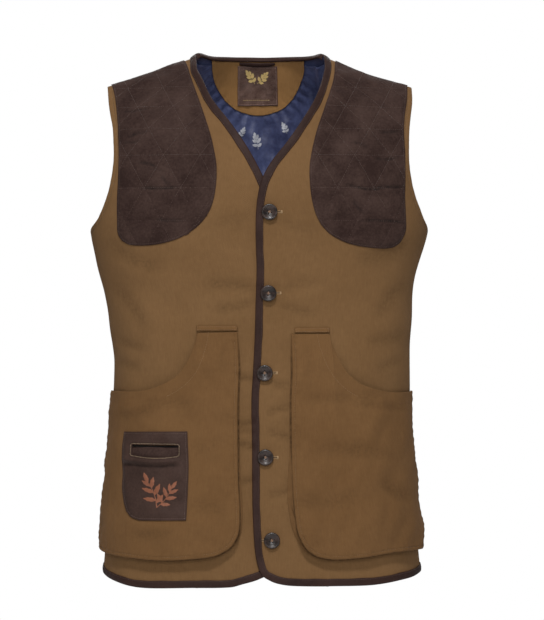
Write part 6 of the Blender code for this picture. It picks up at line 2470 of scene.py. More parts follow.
@dataclass
class TicketPocket:
    """A leather pocket with a cut slot, the welt behind it, and two sewn leaf sprigs."""

    pocket: BellowsPocket
    slot_radius: float = 0.0022
    slot_sag: float = 0.0026
    columns: int = 100
    rows: int = 120

    def __post_init__(self) -> None:
        """Draw the outline."""
        left = smooth(front(*TICKET_LEFT, TICKET_BOTTOM[0])).turned()
        right = smooth(front(*TICKET_RIGHT)).turned()
        lower = smooth(front(*TICKET_BOTTOM))
        lower = Line.joined(lower, smooth(np.vstack([lower.spots[-1:], right.spots[:1]])))
        upper = smooth(np.vstack([left.spots[-1:], right.spots[-1:]]))
        self.outline = Outline(lower, upper, left, right)

    def slot_gap(self, spots: Array) -> Array:
        """Return how far spots lie from the slot, below 0 inside it."""
        return self.gap_at(FORM.point(spots)[..., [0, 2]])

    def gap_at(self, places: Array) -> Array:
        """Return how far places lie from the slot, whose lower edge sags in its middle."""
        return rounded_distance(places + self.sag_at(places), TICKET_SLOT, self.slot_radius)

    def sag_at(self, places: Array) -> Array:
        """Return how far below its straight place the slot's edge hangs.

        Args:
            places: Places across and up.

        Returns:
            A shift across and up for each place.
        """
        share = (TICKET_SLOT.top - places[..., 1]) / (TICKET_SLOT.top - TICKET_SLOT.bottom)
        middle = (TICKET_SLOT.left + TICKET_SLOT.right) / 2
        bow = np.cos((places[..., 0] - middle) / (TICKET_SLOT.right - TICKET_SLOT.left) * math.pi)
        drop = self.slot_sag * np.clip(share, 0.0, 1.2) * (np.maximum(bow, 0.0) - 0.75)
        return np.stack([np.zeros_like(drop), drop], axis=-1)

    def fold_place(self, spots: Array) -> tuple[Array, Array]:
        """Find where spots lie from the soft fold below the slot.

        Args:
            spots: Spots of the front.

        Returns:
            How far above the fold they lie, and how much of the fold there is across.
        """
        places = FORM.point(spots)
        x = places[..., 0]
        low = places[..., 2] - (HANG_HEIGHT - HANG_BOW * np.cos((x - HANG_MIDDLE) / HANG_HALF * math.pi / 2))
        return low, ease((x - HANG_FROM) / HANG_FADE) * ease((HANG_TO - x) / HANG_FADE)

    def over(self, spots: Array, out: Array | float) -> Array:
        """Return points at a distance above the leather.

        Args:
            spots: Spots of the vest's form.
            out: The distance, in metres.

        Returns:
            The points, one for each spot.
        """
        places = FORM.point(spots)
        rim, along = nearest(places, FORM.point(self.outline.rim(60)))
        edge = Seam(
            TICKET_STITCH_INSET, depth=0.00035, width=0.0009, pucker=0.00008, pitch=0.008, reach=0.004)
        slot = self.slot_gap(spots)
        lip = 0.0003 * bell(slot, 0.0010, 0.0009) - 0.0003 * bell(slot, 0.0026, 0.0007)
        low, across = self.fold_place(spots)
        fold = 0.0032 * bell(low, 0.0, 0.0036) - 0.0022 * bell(low, -0.0064, 0.0034)
        loose = Rumple(8, 0.040, 0.012, 0.00025).lift(places)
        raised = 0.0006 + PATCH + 0.0022 * ease(rim / 0.010) + fold * across + loose * ease(rim / 0.008)
        raised = raised + edge.lift(rim, along) * (rim < 0.01) + lip - 0.0004 * ease(1 - rim / 0.0010)
        return self.pocket.over(spots, raised + out)

    def build(self, bench: Bench) -> None:
        """Make the leather, cut at its slot, and what lies behind it.

        Args:
            bench: Where the pieces are made.
        """
        self._leather(bench)
        # Painted shadow: a dark strip behind the slot
        grid = SLOT_SHADE.grid(40, 6)
        bench.lay("ticket_slot_shadow", self.pocket.over(grid, 0.0005), FORM.normal(grid), 0.0003,
                  Finish.SHADOW_THREAD, slot=Slot.SUEDE)
        grid = WELT.grid(60, 14)
        bulge = 0.0008 * np.sin(math.pi * np.linspace(0.0, 1.0, 15)) ** 0.7
        wear_and_shade = Rumple(12, 0.020, 0.008, 0.00016).lift(FORM.point(grid))
        points = self.pocket.over(grid, 0.0010 + bulge[:, None] + wear_and_shade)
        bench.lay("ticket_pocket_welt_leather", points, FORM.normal(grid), 0.0008, Finish.SUEDE,
                  slot=Slot.SUEDE, nodes=("ticket_pocket_welt",),
                  cut=Cut(0.052, 0.025, 0.0012, Hold.LAID, ("pocket_wall_right",)))

    def _leather(self, bench: Bench) -> None:
        """Make the leather, with the spots round the slot moved on to its edge.

        Args:
            bench: Where the pieces are made.
        """
        spots = self.outline.grid(graded(self.columns, 0.2), graded(self.rows, 0.2))
        gap = self.slot_gap(spots)
        gone = (gap[:-1, :-1] + gap[1:, :-1] + gap[:-1, 1:] + gap[1:, 1:]) / 4 < 0.0
        beside, kept = np.zeros(gap.shape, dtype=bool), np.zeros(gap.shape, dtype=bool)
        for j, i in ((0, 0), (0, 1), (1, 0), (1, 1)):
            beside[j:gone.shape[0] + j, i:gone.shape[1] + i] |= gone
            kept[j:gone.shape[0] + j, i:gone.shape[1] + i] |= ~gone
        spots = np.where((beside & kept)[..., None], self._on_slot(spots), spots)
        low, across = self.fold_place(spots)
        # Painted shade: darker in the groove beside the slot's lip and in the trough under the fold
        mark = 0.7 * bell(gap, 0.0024, 0.0006) + 0.9 * across * bell(low, -0.0060, 0.0022)
        piece = bench.cloth("ticket_pocket_leather", self.over(spots, 0.0), FORM.normal(spots), PATCH,
                            Finish.TICKET, mark=np.clip(mark, 0.0, 1.0))
        points = FORM.point(spots)
        from_right = points[0, 0, 0] > points[0, -1, 0]
        self._cut(piece.data, gone[:, ::-1] if from_right else gone)
        bench.enter(piece, Slot.LEATHER, "ticket_pocket")
        bench.sheet(Cut(0.092, 0.122, 0.0106, Hold.LAID, ("pocket_wall_right",)))

    def _on_slot(self, spots: Array) -> Array:
        """Return spots moved on to the slot's edge.

        Args:
            spots: Spots beside the slot.

        Returns:
            The moved spots.
        """
        for _ in range(4):
            places = FORM.point(spots)[..., [0, 2]]
            gap = self.gap_at(places)
            slopes = [self.gap_at(places + shift) - gap for shift in 1e-5 * np.eye(2)]
            slope = unit(np.stack(slopes, axis=-1))
            spots = FORM.spot(places - slope * gap[..., None])
        return spots

    def _cut(self, mesh: Mesh, gone: Array) -> None:
        """Delete the slot's faces from the leather's grid.

        Args:
            mesh: The leather's mesh.
            gone: True for each cell of the grid to delete.
        """
        maker = bmesh.new()
        maker.from_mesh(mesh)
        maker.faces.ensure_lookup_table()
        doomed = [maker.faces[int(index)] for index in np.flatnonzero(gone.ravel())]
        bmesh.ops.delete(maker, geom=doomed, context="FACES")
        maker.to_mesh(mesh)
        maker.free()

    def sew(self, bench: Bench) -> None:
        """Sew the edge, the slot's outline and the sprigs.

        Args:
            bench: Where the pieces are made.
        """
        stitches = Stitches("ticket_pocket_stitches", bench, Finish.PALE_BROWN_THREAD, Slot.LEATHER)
        rim = inset(self.outline.rim(100), TICKET_STITCH_INSET, self.outline.middle())
        sewn(stitches, self.over, rim, 0.00002, pitch=0.0027, length=0.0018)
        stitches.done()
        cream = Stitches("ticket_slot_stitches", bench, Finish.CREAM_THREAD, Slot.LEATHER)
        turn = np.linspace(0.0, 2 * math.pi, 400)
        half = TICKET_SLOT.half() + SLOT_STITCH_OUT
        circle = np.stack([np.cos(turn), np.sin(turn)], axis=-1)
        box = circle / np.max(np.abs(circle) / half, axis=-1, keepdims=True)
        corner = half - SLOT_STITCH_RADIUS
        places = np.clip(box, -corner, corner)
        rounded = SLOT_STITCH_RADIUS * unit(box - places + 1e-9 * circle)
        places = TICKET_SLOT.centre() + places + rounded
        places = places - self.sag_at(places)
        sewn(cream, self.over, FORM.spot(places), 0.00002, pitch=0.0021, length=0.0016, radius=0.00024)
        cream.done()
        for number, height, lean in ((1, 0.039, 24.0), (2, 0.034, -30.0)):
            sprig = Sprig(Knot(-0.1262, -0.5690), height, 0.0003, lean, slender=0.62)
            name = f"ticket_pocket_sprig_{number}"
            sprig.build(bench, name, self.over, Finish.COPPER_THREAD, Slot.LEATHER)


class Leaf(NamedTuple):
    """One leaf of a sprig: where it leaves the stem, its lean, and its size, as shares of the height."""

    up: float
    lean: float
    length: float
    width: float


LEAVES = (
    Leaf(0.16, 62.0, 0.34, 0.120), Leaf(0.24, -58.0, 0.38, 0.125), Leaf(0.42, 50.0, 0.40, 0.130),
    Leaf(0.50, -46.0, 0.38, 0.125), Leaf(0.66, 34.0, 0.36, 0.115), Leaf(0.72, -32.0, 0.32, 0.110),
    Leaf(0.86, 4.0, 0.34, 0.115),
)


@dataclass(frozen=True)
class Sprig:
    """A plain sprig of lobed leaves on a curved stem."""

    foot: Knot
    height: float
    raised: float
    lean: float = 0.0
    on_front: bool = True
    lobes: float = 0.22
    slender: float = 1.0

    def stem(self, t: Array) -> Array:
        """Return the stem's line, in shares of the height."""
        return np.stack([0.10 * np.sin(2.6 * t) - 0.02, t], axis=-1)

    def shapes(self) -> list[Array]:
        """Return each leaf's and the stem's grid of places, in shares of the height.

        Returns:
            The grids, the stem's first.
        """
        shapes = []
        t, s = np.linspace(0.0, 1.0, 15), np.linspace(-1.0, 1.0, 5)
        stem = self.stem(t * 0.92)
        aside = np.array([1.0, -0.12]) * 0.014
        shapes.append(stem[:, None] + s[None, :, None] * aside * (1.15 - 0.5 * t)[:, None, None])
        for leaf in LEAVES:
            angle = math.radians(90 - leaf.lean)
            way = np.array([math.cos(angle), math.sin(angle)])
            across = np.array([math.sin(angle), -math.cos(angle)])
            wide = leaf.width * self.slender * np.sin(math.pi * np.clip(t, 0.02, 0.98) ** 0.85) ** 0.7
            wide = wide * (1 - self.lobes * (0.5 - 0.5 * np.cos(2 * math.pi * 3.0 * t)))
            spine = self.stem(np.array([leaf.up]))[0] + t[:, None] * way * leaf.length
            shapes.append(spine[:, None] + s[None, :, None] * across * wide[:, None, None])
        return shapes

    def build(self, bench: Bench, name: str, place: Place, finish: Finish, slot: Slot) -> None:
        """Lay the sprig on a surface.

        Args:
            bench: Where it is made.
            name: The piece's name.
            place: Gives points of the surface.
            finish: Its finish.
            slot: Its material slot.
        """
        turn = math.radians(self.lean)
        spin = np.array([[math.cos(turn), -math.sin(turn)], [math.sin(turn), math.cos(turn)]])
        maker = bmesh.new()
        for shape in self.shapes():
            places = np.array(self.foot) + (shape @ spin.T) * self.height
            spots = FORM.spot(places, in_front=self.on_front)
            rise = self.raised * (1 - np.linspace(-1.0, 1.0, 5) ** 2)[None] + 0.00005
            outward = FORM.normal(spots) * (1.0 if self.on_front else -1.0)
            mesh = grid_mesh(name, place(spots, rise + np.zeros(spots.shape[:-1])), outward)
            maker.from_mesh(mesh)
            bpy.data.meshes.remove(mesh)
        bench.enter(bench.object_of(name, mesh_of(maker, name), finish), slot)


# Inside the back

FACING_LEFT = (Knot(-0.0666, 0.0030), Knot(-0.0634, -0.0100), Knot(-0.0560, -0.0232))
FACING_BOTTOM = (
    Knot(-0.0490, -0.0325), Knot(-0.0350, -0.0432), Knot(-0.0180, -0.0494), Knot(-0.0020, -0.0512),
    Knot(0.0140, -0.0485), Knot(0.0300, -0.0420), Knot(0.0430, -0.0300),
)
FACING_RIGHT = (Knot(0.0505, -0.0180), Knot(0.0568, -0.0040), Knot(0.0590, 0.0030))
FACING_TOP_LEFT = -0.0680
FACING_TOP_RIGHT = 0.0604
LABEL_STRIP = Strip(-0.0331, 0.0231, 0.0146, -0.0377)
LABEL_STITCH_INSET = 0.0017

# The lining's part of the back, across and up.
LINING_ACROSS = (0.35 / 18, 1 - 0.35 / 18)
LINING_UP = (11 / 30, 29.8 / 30)
LINING_SPRIGS = (
    Sprig(Knot(-0.004, -0.0960), 0.020, 0.0, 18.0, on_front=False),
    Sprig(Knot(-0.0300, -0.0790), 0.013, 0.0, -24.0, on_front=False),
    Sprig(Knot(0.0360, -0.0740), 0.014, 0.0, 30.0, on_front=False),
)


@dataclass
class BackInside:
    """What shows inside the back: satin lining, half-moon facing, leather label and hanger loop."""

    back: BackPanel
    lining_cut: Cut
    facing_cut: Cut
    neck_margin: float = 0.0022

    def __post_init__(self) -> None:
        """Draw the facing's outline."""
        line = inset(self.back.neck.fine(120), self.neck_margin, self.back.outline.middle())
        across = FORM.point(line)[:, 0]
        upper = Line(line[(across > FACING_TOP_LEFT) & (across < FACING_TOP_RIGHT)])
        left = smooth(np.vstack([upper.spots[:1], back(*FACING_LEFT, FACING_BOTTOM[0])])).turned()
        right = smooth(np.vstack([back(FACING_BOTTOM[-1], *FACING_RIGHT), upper.spots[-1:]]))
        self.facing = Outline(smooth(back(*FACING_BOTTOM)), upper, left, right)
        sides = np.vstack([self.facing.left.turned().fine(40)[:-1], self.facing.lower.fine(80)])
        self.facing_edge = np.vstack([sides, self.facing.right.fine(40)[1:]])

    def lining_face(self, spots: Array, out: Array | float) -> Array:
        """Return points at a distance inside the lining's shown face.

        Args:
            spots: Spots of the vest's form.
            out: The distance, in metres.

        Returns:
            The points, one for each spot.
        """
        points = FORM.point(spots)
        distance, along = nearest(points, FORM.point(self.facing_edge))
        below = np.where(inside(spots, self.facing.ring(60)), 0.0, distance)
        x, z = points[..., 0], points[..., 2]
        gather = 0.5 + 0.5 * np.sin(2 * math.pi * along / 0.0125 + 2.1 * np.sin(along * 43.0))
        crest = 0.5 + 0.5 * np.sin(x * 150.0 + 1.6 * np.sin(z * 31.0 + 1.0) + z * 14.0)
        small = 0.5 + 0.5 * np.sin(x * 330.0 - z * 40.0 + 2.0 * np.sin(z * 55.0))
        near = ease(below / 0.004) * bell(below, 0.0, 0.016)
        free = ease((below - 0.003) / 0.026)
        lift = 0.0028 * gather * near + (0.0058 * crest ** 1.5 + 0.0020 * small) * free
        lift = lift + Rumple(51, 0.050, 0.014, 0.00040).lift(points) * ease(below / 0.020)
        return self.back.panel.place(spots, -(OUT + TOUCH + LINING + np.maximum(lift, -0.0001) + out))

    def facing_face(self, spots: Array, out: Array | float) -> Array:
        """Return points at a distance inside the facing's shown face.

        Args:
            spots: Spots of the vest's form.
            out: The distance, in metres.

        Returns:
            The points, one for each spot.
        """
        points = FORM.point(spots)
        distance, along = nearest(points, FORM.point(self.facing_edge))
        seam = Seam(inset=0.0020, depth=0.00030, width=0.0008, pucker=0.00018, pitch=0.012, reach=0.006)
        raised = 0.0011 + FACING + seam.lift(distance, along) - 0.0004 * ease(1 - distance / 0.0010)
        return self.back.panel.place(spots, -(OUT + TOUCH + LINING + raised + out))

    def build(self, bench: Bench) -> None:
        """Make the lining, the facing, the label and the loop.

        Args:
            bench: Where the pieces are made.
        """
        across, up = np.linspace(*LINING_ACROSS, 152), np.linspace(*LINING_UP, 125)
        spots = self.back.outline.grid(across, up)
        bench.lay("satin_lining_of_back", self.lining_face(spots, 0.0), -FORM.normal(spots), LINING,
                  Finish.SATIN, slot=Slot.SATIN, nodes=("back_lining",), cut=self.lining_cut)
        spots = self.facing.grid(graded(76, 0.3), graded(40, 0.3))
        bench.lay("half_moon_facing", self.facing_face(spots, 0.0), -FORM.normal(spots), FACING,
                  Finish.INSIDE, slot=Slot.MOLESKIN, nodes=("back_neck_facing",), cut=self.facing_cut)
        self._label(bench)
        self._loop(bench)
        for number, sprig in enumerate(LINING_SPRIGS, start=1):
            sprig.build(bench, f"lining_sprig_{number}", self.print_face, Finish.WHITE_PRINT, Slot.SATIN)

    def print_face(self, spots: Array, out: Array | float) -> Array:
        """Return points at a distance inside the lining's print."""
        return self.lining_face(spots, 0.00035 + out)

    def label_face(self, spots: Array, out: Array | float) -> Array:
        """Return points at a distance inside the label's shown face."""
        return self.facing_face(spots, LABEL + 0.0003 + out)

    def foil_face(self, spots: Array, out: Array | float) -> Array:
        """Return points at a distance inside the label's gold print."""
        return self.label_face(spots, 0.00030 + out)

    def _label(self, bench: Bench) -> None:
        """Make the leather label with its sewn border, two small gold sprigs and a gold line.

        Args:
            bench: Where the pieces are made.
        """
        grid = LABEL_STRIP.grid(54, 48, on_front=False)
        ring = FORM.point(LABEL_STRIP.ring(0.0, on_front=False))
        rim, along = nearest(FORM.point(grid), ring)
        edge = Seam(inset=0.0022, depth=0.00030, width=0.0007, pucker=0.0, pitch=0.01)
        wear_and_shade = Rumple(23, 0.020, 0.007, 0.00012).lift(FORM.point(grid))
        lift = edge.lift(rim, along) + wear_and_shade - 0.0004 * ease(1 - rim / 0.0009)
        bench.lay("leather_neck_label", self.label_face(grid, lift), -FORM.normal(grid), LABEL, Finish.LABEL,
                  slot=Slot.LEATHER, nodes=("neck_label",),
                  cut=Cut(0.058, 0.058, 0.0033, Hold.LAID, ("half_moon_facing",)))
        stitches = Stitches("label_stitches", bench, Finish.ROSE_THREAD, Slot.LEATHER)
        border = LABEL_STRIP.ring(LABEL_STITCH_INSET, on_front=False)
        sewn(stitches, self.label_face, border, 0.00008, pitch=0.0021, length=0.0018, radius=0.00036)
        stitches.done()
        for number, across, lean in ((1, -0.0090, 40.0), (2, -0.0050, -40.0)):
            sprig = Sprig(Knot(across, -0.0080), 0.0185, 0.0, lean, on_front=False, lobes=0.10)
            sprig.build(bench, f"label_gold_sprig_{number}", self.foil_face, Finish.GOLD_FOIL, Slot.LEATHER)
        bar = Stitches("label_gold_line", bench, Finish.GOLD_FOIL, Slot.LEATHER)
        places = np.stack([np.linspace(-0.0250, 0.0150, 80), np.full(80, -0.0300)], axis=-1)
        spots = FORM.spot(places, in_front=False)
        sewn(bar, self.label_face, spots, 0.00005, pitch=0.0026, length=0.0016, radius=0.00042)
        bar.done()

    def _loop(self, bench: Bench) -> None:
        """Make the rolled hanger loop that lies under the neck binding.

        Args:
            bench: Where the pieces are made.
        """
        t = np.linspace(0.0, 1.0, 61)
        places = np.stack([-0.0310 + t * 0.0508, 0.0180 - 0.0004 * np.sin(math.pi * t)], axis=-1)
        spots = FORM.spot(places, in_front=False)
        centre = self.facing_face(spots, 0.0016 + 0.0014 * np.sin(math.pi * t) ** 0.5)
        inwards = -FORM.normal(spots)
        up = unit(np.cross(inwards, np.gradient(centre, axis=0)))
        turn = np.linspace(0.0, 2 * math.pi, 17)[:-1, None]
        plump = np.sin(math.pi * np.clip(t, 0.012, 0.988))[:, None, None] ** 0.16
        ring = up[:, None] * (np.cos(turn) * 0.0030) + inwards[:, None] * (np.sin(turn) * 0.0013)
        piece = tube(bench, "hanger_loop_roll", centre[:, None] + ring * plump, Finish.BINDING)
        bench.enter(piece, Slot.BINDING, "hanger_loop")


def tube(bench: Bench, name: str, rings: Array, finish: Finish) -> Piece:
    """Make a closed tube of rings of points.

    Args:
        bench: Where it is made.
        name: The piece's name.
        rings: Points by ring and by place round it.
        finish: Its finish.

    Returns:
        The piece, not yet entered.
    """
    closed = np.concatenate([rings, rings[:, :1]], axis=1)
    mesh = grid_mesh(name, closed, closed - closed.mean(axis=1, keepdims=True))
    maker = bmesh.new()
    maker.from_mesh(mesh)
    bmesh.ops.remove_doubles(maker, verts=maker.verts, dist=TINY)
    rims = [edge for edge in maker.edges if edge.is_boundary]
    bmesh.ops.holes_fill(maker, edges=rims, sides=0)
    bmesh.ops.recalc_face_normals(maker, faces=maker.faces)
    maker.to_mesh(mesh)
    maker.free()
    return bench.object_of(name, mesh, finish)


# Buttons

class Button(NamedTuple):
    """A button's centre in the front view."""

    across: float
    height: float


BUTTONS = (
    Button(0.0112, -0.1901), Button(0.0098, -0.2935), Button(0.0052, -0.3962),
    Button(0.0061, -0.5043), Button(0.0143, -0.6102),
)


# A button's half section, from the middle of its back round the rim to the dish's edge: shares of
# its radius and its depth.
BUTTON_PROFILE = (
    (0.0, 0.0), (0.45, 0.0), (0.66, 0.04), (0.84, 0.18), (0.95, 0.38), (0.995, 0.58), (1.0, 0.68),
    (0.985, 0.80), (0.95, 0.91), (0.90, 0.975), (0.84, 1.0), (0.78, 0.955), (0.70, 0.875), (0.62, 0.79),
    (0.54, 0.715), (0.47, 0.66), (0.40, 0.615),
)


@dataclass
class FourHoleButton:
    """A dished horn button with four holes, sewn on with copper thread, and its buttonhole."""

    number: int
    button: Button
    panel: Panel
    radius: float = 0.0104
    depth: float = 0.0042
    hole: float = 0.00085
    hole_depth: float = 0.35
    floor: float = 0.50
    floor_bowl: float = 0.115
    spacing: float = 0.0019
    steps: int = 48
    first_turn: float = 8.0
    next_turn: float = 13.0
    strand: float = 0.00034
    hole_reach: float = 0.0152
    hole_start: float = -0.0075
    hole_half: float = 0.0011

    def __post_init__(self) -> None:
        """Find the button's seat from its solid."""
        spot = front(Knot(*self.button))[0]
        self.axis = FORM.normal(spot[None])[0]
        solid = bpy.data.objects[f"button_{self.number}"].data
        places = np.empty(3 * len(solid.vertices))
        solid.vertices.foreach_get("co", places)
        places = places.reshape(-1, 3)
        rise = places @ self.axis
        middle = (places.min(axis=0) + places.max(axis=0)) / 2
        spin = self.next_turn * self.number + self.first_turn
        turn = Vector(self.axis).to_track_quat("Z", "Y").to_matrix().to_4x4()
        turn.translation = Vector(middle + self.axis * (rise.min() - middle @ self.axis))
        self.frame = turn @ Matrix.Rotation(math.radians(spin), 4, "Z")

    def profile(self) -> list[tuple[float, float]]:
        """Return the half section's radii and heights."""
        return [(radius * self.radius, height * self.depth) for radius, height in BUTTON_PROFILE]

    def holes(self) -> Array:
        """Return the centres of the four holes."""
        return np.array([[x, y] for x in (-1, 1) for y in (-1, 1)]) * self.spacing

    def build(self, bench: Bench) -> None:
        """Make the button, its thread and its buttonhole.

        Args:
            bench: Where the pieces are made.
        """
        maker = bmesh.new()
        points = [maker.verts.new((radius, 0.0, height)) for radius, height in self.profile()]
        edges = [maker.edges.new(pair) for pair in zip(points, points[1:])]
        bmesh.ops.spin(maker, geom=points + edges, cent=(0, 0, 0), axis=(0, 0, 1), angle=2 * math.pi,
                       steps=self.steps, use_merge=True)
        bmesh.ops.remove_doubles(maker, verts=maker.verts, dist=TINY)
        self._dish(maker)
        bmesh.ops.recalc_face_normals(maker, faces=maker.faces)
        bmesh.ops.transform(maker, matrix=self.frame, verts=maker.verts)
        name = f"horn_button_{self.number}"
        button = bench.object_of(name, mesh_of(maker, name), Finish.HORN)
        bench.enter(button, Slot.HORN, f"button_{self.number}")
        self._thread(bench)
        self._buttonhole(bench)

    def _dish(self, maker: bmesh.types.BMesh) -> None:
        """Close the dish with a floor that has four holes.

        Args:
            maker: The button so far, about its own axis.
        """
        reach, d = BUTTON_PROFILE[-1][0] * self.radius, self.depth
        floor = bmesh.ops.create_grid(maker, x_segments=36, y_segments=36, size=reach)["verts"]
        span_floor = max(vertex.co.x for vertex in floor)
        for vertex in floor:
            place = np.array(vertex.co[:2]) / span_floor
            wide, far = np.max(np.abs(place)), np.linalg.norm(place)
            place = place * (wide / far if far > 1e-9 else 1.0) * reach
            bowl = self.floor_bowl * d * (np.linalg.norm(place) / reach) ** 2
            vertex.co = (*place, self.floor * d + bowl)
        on_floor, holes = set(floor), self.holes()
        doomed = []
        for face in maker.faces:
            if all(vertex in on_floor for vertex in face.verts):
                centre = np.array(face.calc_center_median()[:2])
                if np.min(np.linalg.norm(holes - centre, axis=1)) < self.hole:
                    doomed.append(face)
        # Keys keep their order from run to run, which a set of edges doesn't.
        rims = dict.fromkeys(edge for face in doomed for edge in face.edges
                             if not all(beside in doomed for beside in edge.link_faces))
        bmesh.ops.delete(maker, geom=doomed, context="FACES")
        rims = [edge for edge in rims if edge.is_valid]
        for vertex in dict.fromkeys(vertex for edge in rims for vertex in edge.verts):
            place = np.array(vertex.co[:2])
            centre = holes[np.argmin(np.linalg.norm(holes - place, axis=1))]
            place = centre + unit(place - centre) * self.hole
            vertex.co.x, vertex.co.y = place
        walls = bmesh.ops.extrude_edge_only(maker, edges=rims)["geom"]
        for vertex in (item for item in walls if isinstance(item, bmesh.types.BMVert)):
            vertex.co.z -= self.hole_depth * d
        bottoms = [item for item in walls if isinstance(item, bmesh.types.BMEdge) and item.is_boundary]
        bmesh.ops.holes_fill(maker, edges=bottoms, sides=0)

    def _thread(self, bench: Bench) -> None:
        """Sew the button on through its holes.

        Args:
            bench: Where the pieces are made.
        """
        stitches = Stitches(f"button_thread_{self.number}", bench, Finish.BUTTON_THREAD, Slot.HORN)
        turn = np.array(self.frame.to_3x3())
        origin = np.array(self.frame.translation)
        rise = 0.55 * self.depth + 0.00025
        for first, last, above in (((-1, -1), (1, 1), 0.0003), ((-1, 1), (1, -1), 0.0)):
            start, end = np.array([*first, 0.0]) * self.spacing, np.array([*last, 0.0]) * self.spacing
            way = end - start
            for strand in (-1, 0, 1):
                aside = unit(np.array([-way[1], way[0], 0.0])) * strand * self.strand
                centre = (start + end) / 2 + aside + np.array([0.0, 0.0, rise + above])
                stitches.stitch(origin + turn @ centre, turn @ (way * 0.52), self.axis, 0.00030)
        stitches.done()

    def _buttonhole(self, bench: Bench) -> None:
        """Sew the buttonhole, which runs from under the button towards the side.

        Args:
            bench: Where the pieces are made.
        """
        stitches = Stitches(f"buttonhole_{self.number}", bench, Finish.BEIGE_THREAD, Slot.MOLESKIN)
        way = -1 if self.number == 5 else 1
        far = self.button.across + way * self.hole_reach
        near = self.button.across + way * self.hole_start
        across = np.linspace(near + way * 0.009, far, 60)
        for offset in (-self.hole_half, self.hole_half):
            spots = FORM.spot(np.stack([across, np.full(60, self.button.height + offset)], axis=-1))
            points, normals = self.panel.above(spots, 0.00015), FORM.normal(spots)
            for k in range(0, 60, 2):
                up = unit(np.cross(normals[k], np.array([1.0, 0.0, 0.0])))
                stitches.stitch(points[k], up * 0.00080, normals[k], 0.00020)
        end = FORM.spot(np.array([[far + way * 0.0006, self.button.height]]))
        normal = FORM.normal(end)[0]
        up = unit(np.cross(normal, np.array([1.0, 0.0, 0.0])))
        for shift in (-0.0005, 0.0, 0.0005):
            point = self.panel.above(end, 0.00025)[0] + np.array([shift, 0.0, 0.0])
            stitches.stitch(point, up * 0.0024, normal, 0.00034)
        stitches.done()
        # Painted shadow: dark strokes along the slit, where there is only shade
        dark = Stitches(f"buttonhole_slit_shadow_{self.number}", bench, Finish.SHADOW_THREAD, Slot.MOLESKIN)
        slit = np.stack([np.linspace(near, far, 40), np.full(40, self.button.height + 0.0002)], axis=-1)
        sewn(dark, self.panel.above, FORM.spot(slit), 0.00006, pitch=0.0018, length=0.0021, radius=0.00042)
        dark.done()


# Studio

@dataclass(frozen=True)
class Lamp:
    """A soft rectangular light."""

    name: str
    place: tuple[float, float, float]
    size: tuple[float, float]
    power: float


@dataclass(frozen=True)
class Studio:
    """The pale floor, the soft lights and the camera at the photograph's angle."""

    target: tuple[float, float, float] = (0.0, 0.0, -0.33)
    ambient: float = 0.19
    floor_radius: float = 1.7
    floor_height: float = -0.98
    distance: float = 4.0
    view: tuple[float, float] = (0.01452, -0.3155)
    lens: float = 175.95
    lamps: tuple[Lamp, ...] = (
        Lamp("key_light", (-0.10, -2.2, 2.1), (0.5, 0.4), 58.0),
        Lamp("front_light", (0.0, -3.2, 0.55), (1.2, 0.9), 27.0),
        Lamp("back_light", (0.0, 2.6, 1.6), (2.4, 1.4), 42.0),
        Lamp("top_light", (0.0, 0.0, 2.4), (2.4, 2.4), 3.5),
    )

    def build(self) -> None:
        """Make the floor, lights, world and camera."""
        self._floor()
        self._world()
        for lamp in self.lamps:
            light = bpy.data.lights.new(lamp.name, "AREA")
            light.shape = "RECTANGLE"
            light.size, light.size_y = lamp.size
            light.energy = lamp.power
            holder = bpy.data.objects.new(lamp.name, light)
            holder.location = lamp.place
            way = Vector(self.target) - Vector(lamp.place)
            holder.rotation_euler = way.to_track_quat("-Z", "Y").to_euler()
            bpy.context.scene.collection.objects.link(holder)
        camera = bpy.data.cameras.new("camera")
        camera.lens = self.lens
        camera.clip_end = 60.0
        holder = bpy.data.objects.new("camera", camera)
        holder.location = (self.view[0], -self.distance, self.view[1])
        holder.rotation_euler = (QUARTER, 0.0, 0.0)
        bpy.context.scene.collection.objects.link(holder)
        scene = bpy.context.scene
        scene.camera = holder
        scene.view_settings.view_transform = "Standard"
        scene.view_settings.look = "None"

    def _floor(self) -> None:
        """Make the pale floor."""
        maker = bmesh.new()
        bmesh.ops.create_circle(maker, cap_ends=True, segments=96, radius=self.floor_radius)
        bmesh.ops.translate(maker, vec=(0.0, 0.0, self.floor_height), verts=maker.verts)
        mesh = mesh_of(maker, "pale_floor")
        material, wet = start_material("pale_floor", None, Roughness=0.8, Specular_IOR_Level=0.1)
        tone = wet.nodes.spread(wet.nodes.noise(wet.place, 30.0, 3.0), 0.0, 1.0, 0.93, 0.96)
        wet.nodes.feed(wet.shader.inputs["Base Color"], wet.nodes.grey(tone))
        mesh.materials.append(material)
        floor = bpy.data.objects.new("pale_floor", mesh)
        bpy.context.scene.collection.objects.link(floor)

    def _world(self) -> None:
        """Make the white surroundings, seen brighter than they light."""
        world = bpy.data.worlds.new("white_surroundings")
        world.use_nodes = True
        bpy.context.scene.world = world
        nodes = Nodes(world.node_tree)
        background = world.node_tree.nodes["Background"]
        background.inputs["Color"].default_value = WHITE
        seen = nodes.add("LightPath").outputs["Is Camera Ray"]
        nodes.feed(background.inputs["Strength"], nodes.spread(seen, 0.0, 1.0, self.ambient, 1.0))


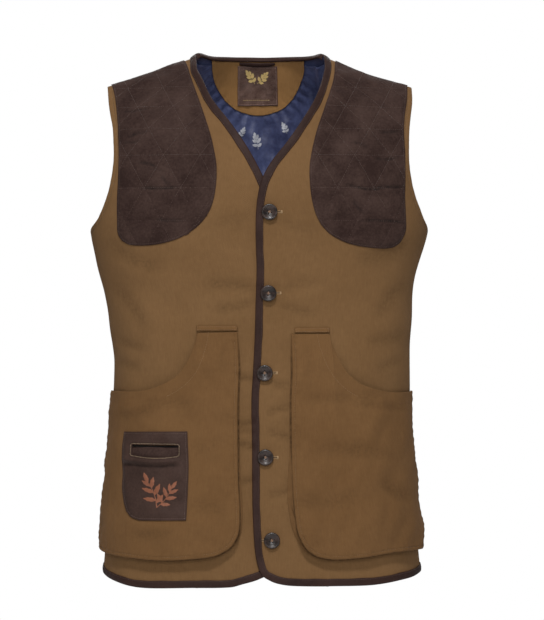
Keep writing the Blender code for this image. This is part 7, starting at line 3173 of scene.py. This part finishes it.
def main() -> None:
    """Build the vest's sub-assemblies in order, then the studio."""
    logging.basicConfig(level=logging.INFO, format="%(name)s %(message)s")
    bench = Bench()
    fronts = {
        face: FrontPanel(face, edge, hem, Cut(0.300, 0.690, area, Hold.HUNG, ("back_panel",)))
        for face, edge, hem, area in (
            (Face.OVER, OVER_EDGE, OVER_HEM, 0.1679), (Face.UNDER, UNDER_EDGE, UNDER_HEM, 0.1790))
    }
    over, under = fronts[Face.OVER], fronts[Face.UNDER]
    back_panel = BackPanel(Cut(0.580, 0.710, 0.3480, Hold.HUNG, ("front_panel_left", "front_panel_right")))
    patches = (
        ShoulderPatch(over, VIEWER_RIGHT_PATCH_NECK, VIEWER_RIGHT_PATCH_BOTTOM, VIEWER_RIGHT_PATCH_ARM,
                      Cut(0.150, 0.290, 0.0325, Hold.LAID, ("front_panel_left",))),
        ShoulderPatch(under, VIEWER_LEFT_PATCH_NECK, VIEWER_LEFT_PATCH_BOTTOM, VIEWER_LEFT_PATCH_ARM,
                      Cut(0.150, 0.290, 0.0330, Hold.LAID, ("front_panel_right",))),
    )
    pockets = (
        BellowsPocket(over, VIEWER_RIGHT_POCKET_EDGE, VIEWER_RIGHT_POCKET_BOTTOM, VIEWER_RIGHT_POCKET_MOUTH,
                      Strip(0.0432, 0.0884, -0.3378, -0.3442), corner_out=0.0050,
                      cut=Cut(0.225, 0.310, 0.0541, Hold.LAID, ("front_panel_left",)),
                      bellows_cut=Cut(0.030, 0.660, 0.0114, Hold.FOLDED, ("front_panel_left",))),
        BellowsPocket(under, VIEWER_LEFT_POCKET_EDGE, VIEWER_LEFT_POCKET_BOTTOM, VIEWER_LEFT_POCKET_MOUTH,
                      Strip(-0.0820, -0.0296, -0.3354, -0.3420), corner_out=0.0012,
                      cut=Cut(0.235, 0.310, 0.0579, Hold.LAID, ("front_panel_right",)),
                      bellows_cut=Cut(0.030, 0.670, 0.0116, Hold.FOLDED, ("front_panel_right",))),
    )
    for panel in (over, under, back_panel):
        panel.build(bench)
        panel.bind(bench)
        panel.sew(bench)
    for piece in (*patches, *pockets):
        piece.build(bench)
        piece.sew(bench)
    ticket = TicketPocket(pockets[1])
    ticket.build(bench)
    ticket.sew(bench)
    BackInside(back_panel, Cut(0.520, 0.400, 0.1640, Hold.GATHERED, ("back_panel",)),
               Cut(0.135, 0.078, 0.0088, Hold.LAID, ("satin_lining_of_back",))).build(bench)
    for number, button in enumerate(BUTTONS, start=1):
        FourHoleButton(number, button, over.panel).build(bench)
    Studio().build()


if __name__ == "__main__":
    main()
